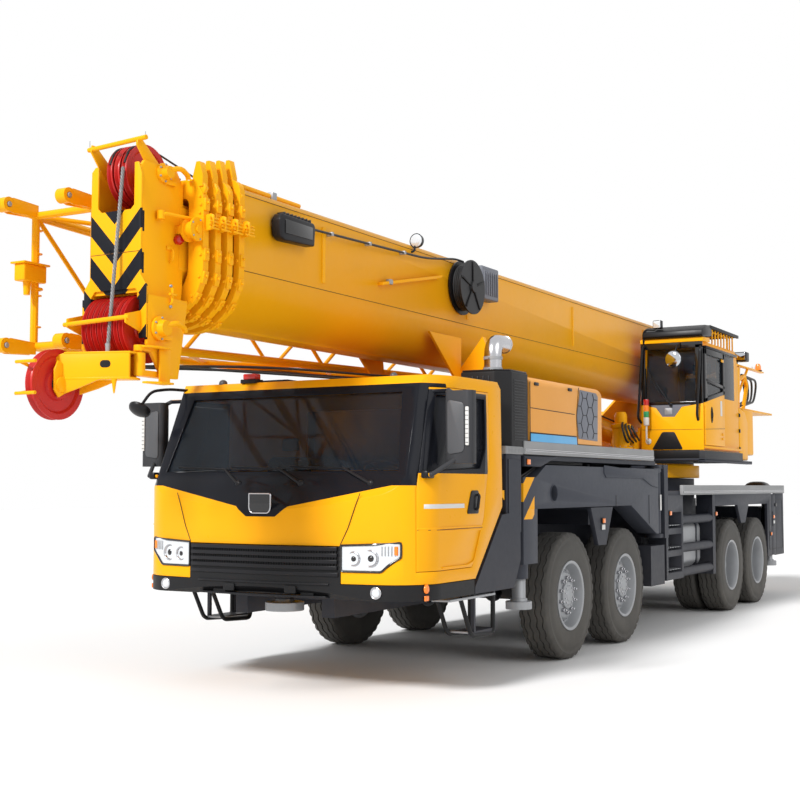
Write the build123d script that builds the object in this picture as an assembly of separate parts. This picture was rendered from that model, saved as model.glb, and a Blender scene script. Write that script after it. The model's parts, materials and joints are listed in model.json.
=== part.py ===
from build123d import *
import math
import os

# Four-axle mobile crane, in millimetres.
# +X points forward, +Y to the driver's left, +Z up from the ground.
# Every X below is measured from the first axle; place() moves the finished
# pieces so that the origin lies under the middle of the whole crane.

# ---------------------------------------------------------------- overall
FRONT_REACH = 5520.0        # first axle to the foremost point, the nose sheave
REAR_REACH = 8950.0         # first axle to the rear of the lamp bar
BODY_HALF = 1390.0          # half the width of the carrier's body
AXLE_1_X = (REAR_REACH - FRONT_REACH) / 2
MOVE_GAP = 8.0              # air between pieces that move past each other
SEAM = 5.0                  # air round a door or lid

# ---------------------------------------------------------------- wheels
AXLE_GAPS = (1520.0, 4100.0, 1350.0)
AXLES_X = (
    0.0,
    -AXLE_GAPS[0],
    -AXLE_GAPS[0] - AXLE_GAPS[1],
    -AXLE_GAPS[0] - AXLE_GAPS[1] - AXLE_GAPS[2],
)
TYRE_R = 605.0
TYRE_W = 310.0
TYRE_SHOULDER_R = 45.0
BEAD_R = 306.0
FLANGE_R = 332.0
FLANGE_W = 14.0
RIM_WALL = 16.0
RIM_FIT = 1.0               # between the rim's barrel and the tyre's bead
DISC_T = 16.0
FRONT_WHEEL_Y = 1190.0      # middle of a front tyre
TWIN_OUTER_Y = 1212.0       # middle of the outer rear tyre
TWIN_PITCH = 348.0          # outer to inner rear tyre
HUB_R = 150.0
SPINDLE_R = 45.0
SPINDLE_FIT = 0.05
KINGPIN_Y = 985.0
KINGPIN_R = 26.0
KINGPIN_FIT = 0.05
KINGPIN_EYE_R = 52.0
KNUCKLE_WEB_OUT = 87.0      # kingpin to the middle of the knuckle's web
HUB_REACH = 70.0            # how far a hub's cap stands out from the disc
FRONT_DISC_OUT = 55.0       # a front disc stands outside the tyre's middle
REAR_DISC_IN = 95.0         # an outer rear disc lies inside its tyre's middle
TWIN_DISC_OUT = 120.0       # an inner rear disc lies outside its tyre's middle

# ---------------------------------------------------------------- chassis
RAIL_Y = 430.0              # middle of a frame rail
RAIL_W = 120.0
RAIL_Z0 = 760.0
RAIL_Z1 = 1250.0
RAIL_T = 12.0
FRAME_FRONT_X = 2900.0
FRAME_DROP_X = 1600.0       # ahead of this the rails run lower, under the cab
FRAME_DROP_Z0 = 600.0
FRAME_DROP_Z1 = 880.0
FRAME_REAR_X = -8600.0
DECK_T = 50.0
FRONT_DECK_Z = 1890.0       # underside of the deck between cab and crane
FRONT_DECK_X0 = -2540.0
FRONT_DECK_X1 = 1560.0
REAR_DECK_Z = 1550.0        # underside of the rear deck
REAR_DECK_X0 = -8640.0
REAR_DECK_X1 = -2900.0
SIDE_T = 40.0               # folded side panels
BEAM_H = 90.0               # solid axle beams

# ---------------------------------------------------------------- slewing ring
SLEW_X = -5150.0
PEDESTAL_R = 960.0
PEDESTAL_Z1 = 1760.0
RING_R = 1030.0
RING_Z1 = 1930.0
PLATFORM_Z0 = 2000.0
PLATFORM_T = 100.0

# ---------------------------------------------------------------- cab
CAB_REAR_X = 1640.0
CAB_FRONT_X = 3246.0
CAB_HALF = 1385.0
CAB_CORNER_R = 400.0        # front corners in plan
CAB_SIDE_X = 2760.0         # where the flat sides end
CAB_CORNER_TURN = (50.0, 10.0)      # degrees: a corner's middle, and its end at the bowed front
CAB_WAIST_Z = 1650.0        # above it the front of the cab narrows
CAB_CROWN_Z = 2600.0        # where the narrowed outline below holds
CAB_CROWN = (
    # x, y: rear, end of side, middle and end of corner, front
    (1640.0, 1372.0),
    (2300.0, 1350.0),
    (2635.0, 1245.0),
    (2860.0, 1000.0),
    (2970.0, 0.0),
)
CAB_FLOOR_Z = 900.0
CAB_ROOF_Z = 2545.0
CAB_WALL = 50.0
SCREEN_TOP_X = 2770.0
SCREEN_TOP_Z = 2455.0
SCREEN_FOOT_X = 3040.0
SCREEN_FOOT_Z = 1735.0
BUMPER_Z0 = 775.0
BUMPER_TOP_Z = 1190.0
CAB_REAR_FOOT_X = 2160.0    # the cab's tail is cut off below
CAB_REAR_CUT_Z = 1480.0
DOOR_HINGE_X = 3008.0
DOOR_HINGE_Y = 1296.0
DOOR_OUTLINE = (
    # x, z
    (1880.0, 2440.0),
    (1880.0, 1930.0),
    (2010.0, 1380.0),
    (2225.0, 1000.0),
    (3003.0, 1000.0),
    (3003.0, 1640.0),
    (2700.0, 2440.0),
)
DOOR_WINDOW = (
    # x, z
    (1950.0, 2380.0),
    (1950.0, 1960.0),
    (2060.0, 1800.0),
    (2900.0, 1770.0),
    (2665.0, 2380.0),
)
DOOR_INNER_Y = 1000.0       # the doors' cutters reach in this far
MIRROR_X = (2660.0, 2780.0)
MIRROR_Y = (1420.0, 1660.0)
MIRROR_Z = (1830.0, 2400.0)
GLASS_T = 8.0
GLASS_FIT = 2.0

# ---------------------------------------------------------------- engine bay
HOOD_X0 = -760.0
HOOD_X1 = 1040.0
HOOD_Z1 = 2650.0
HOOD_WALL = 30.0
HOOD_EDGE_R = 90.0
HOOD_HALF = 1380.0
INTAKE_X1 = 1530.0
INTAKE_Y0 = 930.0
INTAKE_CHAMFER = 120.0
PIPE_R = 80.0
PIPE_WALL = 5.0
PIPE_X = 1280.0
PIPE_Y = 1130.0
PIPE_TOP_Z = 3030.0
PIPE_BEND_R = 190.0

# ---------------------------------------------------------------- outriggers
ARM_PIVOT_X = -2640.0
ARM_PIVOT_Y = 1275.0
ARM_PIN_R = 50.0
ARM_PIN_FIT = 0.1
ARM_BOSS_R = 90.0
ARM_FRONT_X = 1190.0
ARM_Y0 = 1150.0
ARM_Y1 = 1380.0
ARM_Z0 = 1450.0
ARM_Z1 = 1735.0
ARM_HUMP_Z = 1850.0
ARM_HEEL_Z = 1120.0
JACK_R = 85.0
JACK_WALL = 14.0
JACK_ROD_R = 62.0
FLOAT_R = 118.0
FLOAT_T = 70.0
FRONT_JACK_X = 1060.0
FRONT_JACK_Y = 1268.0
FRONT_JACK_Z0 = 960.0
FRONT_FLOAT_Z = 560.0
BEAM_X = {"left": -8020.0, "right": -8330.0}
BEAM_W = 240.0
BEAM_Z0 = 1010.0
BEAM_Z1 = 1330.0
BEAM_T = 14.0
REAR_JACK_Y = 1255.0
REAR_JACK_Z0 = 820.0
REAR_FLOAT_Z = 470.0
NOSE_JACK_X = 2890.0
NOSE_FLOAT_Z = 640.0
NOSE_FLOAT_R = 160.0

# ---------------------------------------------------------------- upper works
CHEEK_Y = 480.0             # middle of a main side plate
CHEEK_T = 40.0
FOOT_X = -7300.0
FOOT_Z = 3440.0
FOOT_PIN_R = 75.0
FOOT_FIT = 0.1
CRANE_CAB_Y0 = 540.0
CRANE_CAB_Y1 = 1380.0
CRANE_CAB_X0 = -6200.0
CRANE_CAB_X1 = -4400.0
CRANE_CAB_Z0 = 2115.0
CRANE_CAB_Z1 = 3520.0
CRANE_CAB_WALL = 45.0
TAIL_X0 = -7700.0
TAIL_X1 = -6700.0
TAIL_Z0 = 2110.0
TAIL_Z1 = 2760.0
TAIL_CORNER_R = 520.0
TAIL_HALF = 1260.0
WINCH_DECK_X0 = -8650.0
WINCH_DECK_Z = 2770.0
WINCH_R = 200.0
WINCH_FLANGE_R = 300.0
WINCH_HALF = 330.0
MAIN_WINCH_X = -7910.0
AUX_WINCH_X = -8540.0
WINCH_Z = 3150.0
WINCH_SHAFT_R = 60.0

# ---------------------------------------------------------------- boom
BOOM_TOP_Z = 3870.0
BOOM_BOTTOM_Z = 2830.0
BOOM_HALF = 420.0
BOOM_WALL = 12.0
BOOM_GAP = 35.0             # radial air between one section and the next
BOOM_BELLY_R = 400.0
BOOM_SHOULDER_R = 60.0
BOOM_FRONT_X = 4100.0
BOOM_REAR_X = -7000.0
BOOM_STROKE = 8750.0
BOOM_LAP = 2250.0           # what stays inside at full reach
COLLAR_PITCH = 115.0
COLLAR_T = 60.0
COLLAR_RIM = 42.0
COLLAR_RIM_STEP = 27.0      # each collar stands out this much more from its own tube
FIN_TOP_Z = 4060.0
FIN_STEP = 28.0
FIN_Y = (300.0, 390.0)
SECTION_COUNT = 4
HEAD_FRONT_X = 4965.0
HEAD_PLATE_T = 25.0
HEAD_HALF = 228.0
HEAD_FLARE_HALF = 300.0
HEAD_BOTTOM_Z = 2400.0
TOP_SHEAVE_X = 4745.0
TOP_SHEAVE_Z = 3850.0
TOP_SHEAVE_R = 220.0
LOW_SHEAVE_X = 4850.0
LOW_SHEAVE_Z = 2740.0
LOW_SHEAVE_R = 240.0
TOP_SHEAVES = (3, 66.0, 48.0)       # how many, their pitch, their width
LOW_SHEAVES = (8, 48.0, 36.0)
NOSE_SHEAVES = (1, 0.0, 60.0)
SHEAVE_HUB_R = 75.0
SHEAVE_BORE_R = 45.0
NOSE_SHEAVE_X = FRONT_REACH - 240.0
NOSE_SHEAVE_Z = 2340.0
NOSE_SHEAVE_Y = -235.0
NOSE_SHEAVE_R = 240.0
AXLE_FIT = 0.05

# ---------------------------------------------------------------- luffing ram
RAM_FOOT_X = -5430.0
RAM_FOOT_Z = 2290.0
RAM_HEAD_X = -1600.0
RAM_HEAD_Z = 2690.0
RAM_BORE_R = 104.0
RAM_WALL = 30.0
RAM_ROD_R = 100.0
RAM_BARREL_L = 3480.0
RAM_ROD_IN = 3400.0
RAM_EYE_R = 120.0
RAM_PIN_R = 60.0

# ---------------------------------------------------------------- fly jib
JIB_Y0 = -520.0
JIB_Y1 = -1120.0
JIB_TUBE_R = 36.0
JIB_POST_R = 30.0
JIB_BRACE_R = 18.0
JIB_ROOT_X = 4620.0
JIB_FORK_X = 4930.0
JIB_TIP_X = -3600.0

# ---------------------------------------------------------------- frame details
TUNNEL_HALF = 1150.0
CROSS_MEMBERS_X = (1450.0, -760.0, -2100.0, -3400.0, -6300.0, -7500.0)
NOSE_TUBE_Z0 = 740.0
NOSE_TUBE_Z1 = 1440.0
PEDESTAL_BOX_Y = 735.0
PEDESTAL_WALL = 240.0
BULKHEADS_X = (1330.0, -1150.0, -2450.0)
BULKHEAD_Y = 1080.0
PIVOT_BOX_Z0 = 1060.0
LUG_T = 46.0
POST_X = (1262.0, 1500.0)
ARCH_Z = 1400.0
GUARD_HALF_TOP = 310.0
GUARD_HALF_FOOT = 110.0
GUARD_FOOT_Z = 1150.0
PANEL_X = (-8650.0, -7650.0)
PANEL_Z0 = 620.0
RAIL_FRONT_X = (-2370.0, 1180.0)
RAIL_REAR_X = (-8540.0, -3430.0)
SILVER_H = 120.0
SILVER_W = 45.0
LADDER_X = (-3550.0, -2900.0)
LADDER_STEPS_Z = (640.0, 900.0, 1160.0)
LADDER_Z0 = 560.0
GUARD_TUBE_X = (-4800.0, -3550.0)
GUARD_TUBES_Z = (620.0, 910.0, 1250.0)
GUARD_TUBE_R = 55.0
TANK_X = (-4740.0, -3640.0)
TANK_Y = (745.0, 1225.0)
TANK_Z = (640.0, 1235.0)
TANK_EDGE_R = 170.0
SKIRT_X = (-2735.0, -2260.0)
SKIRT_Z = (540.0, 985.0)
TAIL_BAR_X = -REAR_REACH
TOW_X = -8665.0             # the drop pin of the tow jaw
TOW_R = 25.0
TOW_EAR_R = 60.0
TOW_Z = (880.0, 920.0, 990.0, 1030.0)       # lower ear, upper ear
CRADLE_X = 600.0
CRADLE_T = 60.0
CRADLE_WING = 630.0
CRADLE_Y = (435.0, 760.0)
CRADLE_Z = (2690.0, 3090.0)
CRADLE_UPRIGHT_W = 38.0     # the right horn is narrow, beside the stowed jib
ENGINE_X = (-560.0, 1150.0)
ENGINE_Y = 330.0
ENGINE_Z = (820.0, 1820.0)
ARM_SLANT_X = -1620.0
ARM_HUMP_X = 680.0
ARM_HOLE_X = 500.0
ARM_HOLE_Z = 1590.0
ARM_HOLE_R = 75.0

# ---------------------------------------------------------------- cab details
CAB_SHELF_X = 3100.0        # the grille stands in a recess ahead of this
GRILLE_HALF = 735.0
NOSE_TOP_Z = 1450.0
SCREEN_LOW_Z = 1775.0
SCREEN_HIGH_Z = 2405.0
SCREEN_LOW_HALF = 1150.0
SCREEN_HIGH_HALF = 1050.0
REAR_WINDOW_Y = 600.0
REAR_WINDOW_Z = (1800.0, 2350.0)
LAMP_X0 = 2900.0
LAMP_Y = (745.0, 1212.0)
LAMP_Z = (1000.0, 1195.0)
LAMP_TIP_Z = (1110.0, 1220.0)       # at the outer end
FOG_X = (3085.0, 3160.0)
FOG_Y = 1030.0
FOG_Z = 838.0
FOG_R = 42.0
STEP_X = (1780.0, 2150.0)
STEP_Z = 440.0
MIRROR_ARM_R = 18.0
MIRROR_FOOT = (2950.0, 1745.0)      # x and z of the lower arm's root
MIRROR_TOP = (2668.0, 2410.0)       # and of the upper one's
MIRROR_ROOT_Y = (1305.0, 1230.0)    # both start inside the door's wall
SEAT_X = 1960.0
SEAT_Y = 780.0
SEAT_Z = 1330.0
DASH_X = (2640.0, 2960.0)
DASH_Z = (1280.0, 1640.0)
DASH_HALF = 1180.0
WHEEL_CENTRE = (2540.0, 780.0, 1740.0)

# ---------------------------------------------------------------- upper works details
PLATFORM_X = (-7300.0, -3900.0)
PLATFORM_HALF = 540.0
CHEEK_OUTLINE = (
    # x, z
    (-4300.0, 2000.0),
    (-4500.0, 2420.0),
    (-5400.0, 2560.0),
    (-6300.0, 2960.0),
    (-6950.0, 3560.0),
    (-7550.0, 3560.0),
    (-7700.0, 3450.0),
    (-8780.0, 3300.0),
    (-8780.0, 2700.0),
    (-7900.0, 2700.0),
    (-7612.0, 2400.0),
    (-7560.0, 2000.0),
)
RAM_LUG_Y = (80.0, 140.0)
RAM_EYE_HALF = 70.0
ROD_EYE_HALF = 98.0
DECK_HALF = 1200.0
DECK_FRONT_X = -6760.0
DECK_SHEET = 28.0
CRANE_CAB_OUTLINE = (
    # x, z
    (CRANE_CAB_X1, CRANE_CAB_Z0),
    (CRANE_CAB_X1, 2700.0),
    (CRANE_CAB_X1 - 100, CRANE_CAB_Z1),
    (CRANE_CAB_X0 + 150, CRANE_CAB_Z1),
    (CRANE_CAB_X0, CRANE_CAB_Z1 - 220),
    (CRANE_CAB_X0, CRANE_CAB_Z0),
)
CRANE_CAB_SKIN_Y = 1330.0   # outer face of the wall behind the sliding door
CRANE_DOOR_T = 42.0
CRANE_DOOR_OUTLINE = (
    # x, z
    (-5330.0, 2180.0),
    (-5330.0, 3420.0),
    (-4500.0, 3420.0),
    (-4430.0, 2700.0),
    (-4430.0, 2180.0),
)
CRANE_DOOR_FRAME = 90.0     # the door's frame round its window
CRANE_DOOR_LAP = 45.0       # the door laps this much over its opening
CRANE_WINDOW_Y = (600.0, 1270.0)
CRANE_FRONT_Z = (2330.0, 3440.0)
CRANE_SIDE_X = (-5950.0, -4620.0)
CRANE_SIDE_Z = (2700.0, 3400.0)
CRANE_REAR_Z = (2700.0, 3250.0)
CRANE_ROOF_X = (-5450.0, -4620.0)
CRANE_GUARD_Z = 3720.0
CRANE_GUARD_X = (-5900.0, -4600.0)
CRANE_GUARD_R = 16.0
CRANE_SEAT_X = -5500.0
CRANE_SEAT_Z = 2560.0

# ---------------------------------------------------------------- boom details
FOOT_PLATE_Y = (400.0, 452.0)
FOOT_BOSS_R = 170.0
FOOT_PLATE_X1 = -6500.0
RAM_HEAD_LUG_Y = (108.0, 158.0)
HEAD_OUTLINE = (
    # x, z
    (4520.0, 3060.0),
    (4520.0, 3800.0),
    (4600.0, 3905.0),
    (4930.0, 3905.0),
    (4965.0, 3860.0),
    (4965.0, 2930.0),
    (4540.0, 2930.0),
)
HEAD_FLARE_OUTLINE = (
    # x, z
    (4545.0, 2960.0),
    (4965.0, 2960.0),
    (4965.0, 2620.0),
    (4800.0, 2395.0),
    (4640.0, 2400.0),
)
HEAD_CROSS_Z = (2980.0, 3500.0)
NOSE_HINGE_X = 5000.0
NOSE_HINGE_Y = 262.0
NOSE_HINGE_R = 40.0
NOSE_PIN_R = 20.0
NOSE_BARREL_Z = (2446.0, 2560.0)
NOSE_ARM_Z0 = 2270.0
JIB_BAYS = 8
JIB_EYE_R = 55.0
JIB_EYE_HALF = 45.0
JIB_PIN_R = 25.0
JIB_ROOT_Z = (2710.0, 3710.0)
JIB_TIP_Z = (2900.0, 3400.0)
JIB_FORK_Z = (2690.0, 3740.0)
JIB_BRACKETS_X = (3700.0, 300.0, -3300.0)


# ================================================================ helpers
def block(x0, x1, y0, y1, z0, z1):
    """A box between two corners."""
    size = (abs(x1 - x0), abs(y1 - y0), abs(z1 - z0))
    middle = Pos((x0 + x1) / 2, (y0 + y1) / 2, (z0 + z1) / 2)
    return middle * Box(*size)


def side_plate(points, y0, y1):
    """A polygon of (x, z) points, as thick as y0 to y1."""
    low, high = sorted((y0, y1))
    plane = Plane(origin=(0, high, 0), x_dir=(1, 0, 0), z_dir=(0, -1, 0))
    return extrude(plane * make_face(Polyline(*points, close=True)), amount=high - low)


def plan_plate(points, z0, z1):
    """A polygon of (x, y) points, as thick as z0 to z1."""
    return extrude(Pos(0, 0, z0) * make_face(Polyline(*points, close=True)), amount=z1 - z0)


def cross_plate(points, x0, x1):
    """A polygon of (y, z) points, as thick as x0 to x1."""
    plane = Plane(origin=(x0, 0, 0), x_dir=(0, 1, 0), z_dir=(1, 0, 0))
    return extrude(plane * make_face(Polyline(*points, close=True)), amount=x1 - x0)


def cyl_x(x0, x1, y, z, r):
    """A cylinder along X."""
    return Pos((x0 + x1) / 2, y, z) * Rot(0, 90, 0) * Cylinder(r, abs(x1 - x0))


def cyl_y(x, y0, y1, z, r):
    """A cylinder along Y."""
    return Pos(x, (y0 + y1) / 2, z) * Rot(90, 0, 0) * Cylinder(r, abs(y1 - y0))


def cyl_z(x, y, z0, z1, r):
    """A cylinder along Z."""
    return Pos(x, y, (z0 + z1) / 2) * Cylinder(r, abs(z1 - z0))


def strut(start, end, r):
    """A round bar from one point to another."""
    a = Vector(*start)
    b = Vector(*end)
    plane = Plane(origin=a, z_dir=(b - a).normalized())
    return extrude(plane * Circle(r), amount=(b - a).length)


def both_sides(shape):
    """A solid with its mirror image across the crane's middle plane."""
    return shape + mirror(shape, about=Plane.XZ)


def fuse(shapes):
    """One shape from a list of solids that meet."""
    first = shapes[0]
    return first + shapes[1:] if len(shapes) > 1 else first


def side_of(side):
    """+1 on the left, -1 on the right."""
    return 1.0 if side == "left" else -1.0


# ================================================================ wheels
def tyre(y_mid):
    """One tyre with rounded shoulders, on an axis along Y at x = 0."""
    profile = cyl_y(0, y_mid - TYRE_W / 2, y_mid + TYRE_W / 2, TYRE_R, TYRE_R)
    rim_edges = profile.edges().filter_by(GeomType.CIRCLE)
    profile = fillet(rim_edges, TYRE_SHOULDER_R)
    return profile - cyl_y(0, y_mid - TYRE_W, y_mid + TYRE_W, TYRE_R, BEAD_R)


def rim(y_mid, disc_y, out):
    """A rim's barrel, its two flanges and its disc; out is +1 or -1."""
    half = TYRE_W / 2 - FLANGE_W
    outer_r = BEAD_R - RIM_FIT
    barrel = cyl_y(0, y_mid - half, y_mid + half, TYRE_R, outer_r)
    barrel -= cyl_y(0, y_mid - TYRE_W, y_mid + TYRE_W, TYRE_R, outer_r - RIM_WALL)
    disc = cyl_y(0, disc_y - DISC_T / 2, disc_y + DISC_T / 2, TYRE_R, outer_r - RIM_WALL / 2)
    hub = cyl_y(0, disc_y, disc_y + out * HUB_REACH, TYRE_R, HUB_R)
    return barrel + disc + hub


def front_wheel(axle_x, side):
    """A single tyre, and a rim with its hub bored for the spindle."""
    s = side_of(side)
    y = s * FRONT_WHEEL_Y
    disc_y = y + s * FRONT_DISC_OUT
    wheel = rim(y, disc_y, s)
    back = cyl_y(0, y - s * (TYRE_W / 2 - 60), disc_y, TYRE_R, HUB_R)
    wheel += back
    bore_end = disc_y + s * HUB_REACH / 2
    wheel -= cyl_y(0, y - s * TYRE_W, bore_end, TYRE_R, SPINDLE_R + SPINDLE_FIT)
    return Pos(axle_x, 0, 0) * Compound([tyre(y).solid(), wheel.solid()])


def rear_wheel(axle_x, side):
    """Two tyres on two rims that share one hub, bored for the axle's end."""
    s = side_of(side)
    outer_y = s * TWIN_OUTER_Y
    inner_y = s * (TWIN_OUTER_Y - TWIN_PITCH)
    disc_y = outer_y - s * REAR_DISC_IN
    wheel = rim(outer_y, disc_y, s)
    wheel += rim(inner_y, inner_y + s * TWIN_DISC_OUT, s)
    wheel += cyl_y(0, inner_y - s * TYRE_W / 3, disc_y, TYRE_R, HUB_R)
    bore_end = disc_y + s * HUB_REACH / 2
    wheel -= cyl_y(0, inner_y - s * TYRE_W, bore_end, TYRE_R, SPINDLE_R + SPINDLE_FIT)
    return Pos(axle_x, 0, 0) * Compound([tyre(outer_y).solid(), tyre(inner_y).solid(), wheel.solid()])


def knuckle(axle_x, side):
    """A steering knuckle: its pin, its two ears and the wheel's spindle."""
    s = side_of(side)
    y = s * KINGPIN_Y
    wheel_y = s * FRONT_WHEEL_Y
    spindle_end = wheel_y + s * (FRONT_DISC_OUT + HUB_REACH / 2 - 6)
    web_y = y + s * KNUCKLE_WEB_OUT
    ear_z = (TYRE_R - 95, TYRE_R + 95)
    body = cyl_y(0, web_y, spindle_end, TYRE_R, SPINDLE_R)
    body += block(-60, 60, web_y - s * 12, web_y + s * 12, ear_z[0] - 20, ear_z[1] + 20)
    for z in ear_z:
        body += block(-45, 45, y - s * 45, web_y, z - 20, z + 20)
    body += cyl_z(0, y, ear_z[0], ear_z[1], KINGPIN_R)
    return Pos(axle_x, 0, 0) * body


def front_axle(axle_x):
    """A beam with an eye at each end, seats and leaf springs up to the rails."""
    z = TYRE_R
    beam = block(-45, 45, -KINGPIN_Y, KINGPIN_Y, z - 60, z + 60)
    for s in (-1, 1):
        beam += cyl_z(0, s * KINGPIN_Y, z - 60, z + 60, KINGPIN_EYE_R)
        beam -= cyl_z(0, s * KINGPIN_Y, z - 80, z + 80, KINGPIN_R + KINGPIN_FIT)
        beam += block(-60, 60, s * (RAIL_Y - 45), s * (RAIL_Y + 45), z + 50, RAIL_Z0 - 60)
        beam += block(-560, 560, s * (RAIL_Y - 40), s * (RAIL_Y + 40), RAIL_Z0 - 80, RAIL_Z0 - 45)
        for end in (-1, 1):
            beam += block(end * 540, end * 590, s * (RAIL_Y - 40), s * (RAIL_Y + 40), RAIL_Z0 - 90, RAIL_Z0)
    return Pos(axle_x, 0, 0) * beam


def rear_axle(axle_x):
    """A driven axle: tube, differential, ends for the hubs, springs."""
    inner_face = TWIN_OUTER_Y - TWIN_PITCH - TYRE_W / 2
    end = TWIN_OUTER_Y - REAR_DISC_IN + HUB_REACH / 2 - 6
    casing = cyl_y(0, -inner_face + 20, inner_face - 20, TYRE_R, 85)
    casing += cyl_y(0, -end, end, TYRE_R, SPINDLE_R)
    casing += Pos(0, 0, TYRE_R) * Sphere(220)
    casing += cyl_x(180, 330, 0, TYRE_R, 90)
    for s in (-1, 1):
        casing += block(-60, 60, s * (RAIL_Y - 45), s * (RAIL_Y + 45), TYRE_R + 60, RAIL_Z0 - 60)
        casing += block(-560, 560, s * (RAIL_Y - 40), s * (RAIL_Y + 40), RAIL_Z0 - 80, RAIL_Z0 - 45)
        for way in (-1, 1):
            casing += block(way * 540, way * 590, s * (RAIL_Y - 40), s * (RAIL_Y + 40), RAIL_Z0 - 90, RAIL_Z0)
    return Pos(axle_x, 0, 0) * casing


def axles():
    """The two steered axles and the two driven ones."""
    return [front_axle(x) for x in AXLES_X[:2]] + [rear_axle(x) for x in AXLES_X[2:]]


# ================================================================ chassis
def sleeve(side, grow, half_y):
    """A box round a rear outrigger beam; grow is added on its four faces."""
    x = BEAM_X[side]
    half = BEAM_W / 2 + grow
    return block(x - half, x + half, -half_y, half_y, BEAM_Z0 - grow, BEAM_Z1 + grow)


def pivot_lug(s, z0, z1):
    """A lug that holds one end of a swing arm's pin."""
    box_x = ARM_PIVOT_X - ARM_BOSS_R - 20
    lug = cyl_z(ARM_PIVOT_X, s * ARM_PIVOT_Y, z0, z1, ARM_BOSS_R)
    return lug + block(
        box_x, ARM_PIVOT_X, s * (ARM_PIVOT_Y - ARM_BOSS_R), s * (ARM_PIVOT_Y + ARM_BOSS_R), z0, z1
    )


def chassis_frame():
    """Rails, cross members, outrigger sleeves, pivot lugs, slewing pedestal and tail bar."""
    inner = RAIL_Y - RAIL_W / 2
    outer = RAIL_Y + RAIL_W / 2
    parts = []
    for s in (-1, 1):
        parts.append(block(FRAME_REAR_X, FRAME_DROP_X, s * inner, s * outer, RAIL_Z0, RAIL_Z1))
        drop_x = FRAME_DROP_X - 300
        parts.append(block(drop_x, FRAME_FRONT_X, s * inner, s * outer, FRAME_DROP_Z0, FRAME_DROP_Z1))
    for x in CROSS_MEMBERS_X:
        parts.append(block(x - 60, x + 60, -inner, inner, RAIL_Z0 + 40, RAIL_Z1 - 40))
    nose_x = FRAME_FRONT_X - 80
    parts.append(block(nose_x, FRAME_FRONT_X, -outer, outer, NOSE_TUBE_Z0, FRAME_DROP_Z1))
    parts.append(cyl_z(NOSE_JACK_X, 0, NOSE_TUBE_Z0, NOSE_TUBE_Z1, JACK_R))
    parts.append(block(NOSE_JACK_X, FRAME_FRONT_X, -60, 60, NOSE_TUBE_Z0, FRAME_DROP_Z1))
    box_y = PEDESTAL_BOX_Y
    parts.append(block(SLEW_X - 950, SLEW_X + 950, -box_y, box_y, RAIL_Z1, REAR_DECK_Z - 60))
    parts.append(cyl_z(SLEW_X, 0, RAIL_Z1, PEDESTAL_Z1, PEDESTAL_R))
    for x in BULKHEADS_X:
        parts.append(block(x - 30, x + 30, -BULKHEAD_Y, BULKHEAD_Y, RAIL_Z1, FRONT_DECK_Z))
    pivot_x = ARM_PIVOT_X - ARM_BOSS_R
    parts.append(block(pivot_x - 150, pivot_x - 15, -ARM_Y1, ARM_Y1, PIVOT_BOX_Z0, ARM_HUMP_Z + 54))
    for s in (-1, 1):
        parts.append(pivot_lug(s, ARM_HEEL_Z - MOVE_GAP - LUG_T, ARM_HEEL_Z - MOVE_GAP))
        parts.append(pivot_lug(s, ARM_HUMP_Z + MOVE_GAP, ARM_HUMP_Z + MOVE_GAP + LUG_T))
    for side in BEAM_X:
        parts.append(sleeve(side, MOVE_GAP + BEAM_T, TUNNEL_HALF))
    parts.append(tail_bar())
    frame = fuse(parts)
    for side in BEAM_X:
        frame -= sleeve(side, MOVE_GAP, 2 * TUNNEL_HALF)
    for s in (-1, 1):
        frame -= cyl_z(ARM_PIVOT_X, s * ARM_PIVOT_Y, PIVOT_BOX_Z0 - 20, 2000, ARM_PIN_R + ARM_PIN_FIT)
    frame -= cyl_z(NOSE_JACK_X, 0, NOSE_TUBE_Z0 - 10, NOSE_TUBE_Z1 - JACK_WALL, JACK_ROD_R + 4)
    frame -= cyl_z(SLEW_X, 0, RAIL_Z0 - 10, PEDESTAL_Z1 + 10, PEDESTAL_R - PEDESTAL_WALL)
    return [frame, tow_jaw()]


def deck_plates():
    """The front and rear decks, the wheel arches' fascias and the tail's side panels."""
    y = BODY_HALF - SILVER_W
    front = block(FRONT_DECK_X0, FRONT_DECK_X1, -y, y, FRONT_DECK_Z, FRONT_DECK_Z + DECK_T)
    rear = block(REAR_DECK_X0, REAR_DECK_X1, -y, y, REAR_DECK_Z, REAR_DECK_Z + DECK_T)
    rear -= cyl_z(SLEW_X, 0, REAR_DECK_Z - 10, REAR_DECK_Z + DECK_T + 10, PEDESTAL_R)
    middle = (AXLES_X[2] + AXLES_X[3]) / 2
    arch_front = AXLES_X[2] + TYRE_R + 90
    for side in ("left", "right"):
        s = side_of(side)
        skin = (s * (y - SIDE_T), s * y)
        rear += block(PANEL_X[1], arch_front, skin[0], skin[1], ARCH_Z, REAR_DECK_Z)
        guard = [
            (middle - GUARD_HALF_TOP, ARCH_Z + 20),
            (middle - GUARD_HALF_FOOT, GUARD_FOOT_Z),
            (middle + GUARD_HALF_FOOT, GUARD_FOOT_Z),
            (middle + GUARD_HALF_TOP, ARCH_Z + 20),
        ]
        rear += side_plate(guard, *skin)
        rear += block(PANEL_X[0], PANEL_X[1], skin[0], skin[1], PANEL_Z0, REAR_DECK_Z)
        opening = BEAM_W / 2 + SEAM
        x = BEAM_X[side]
        rear -= block(x - opening, x + opening, s * (y - 2 * SIDE_T), s * (y + 10), PANEL_Z0 - 10, REAR_DECK_Z)
    return [front, rear]


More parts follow.
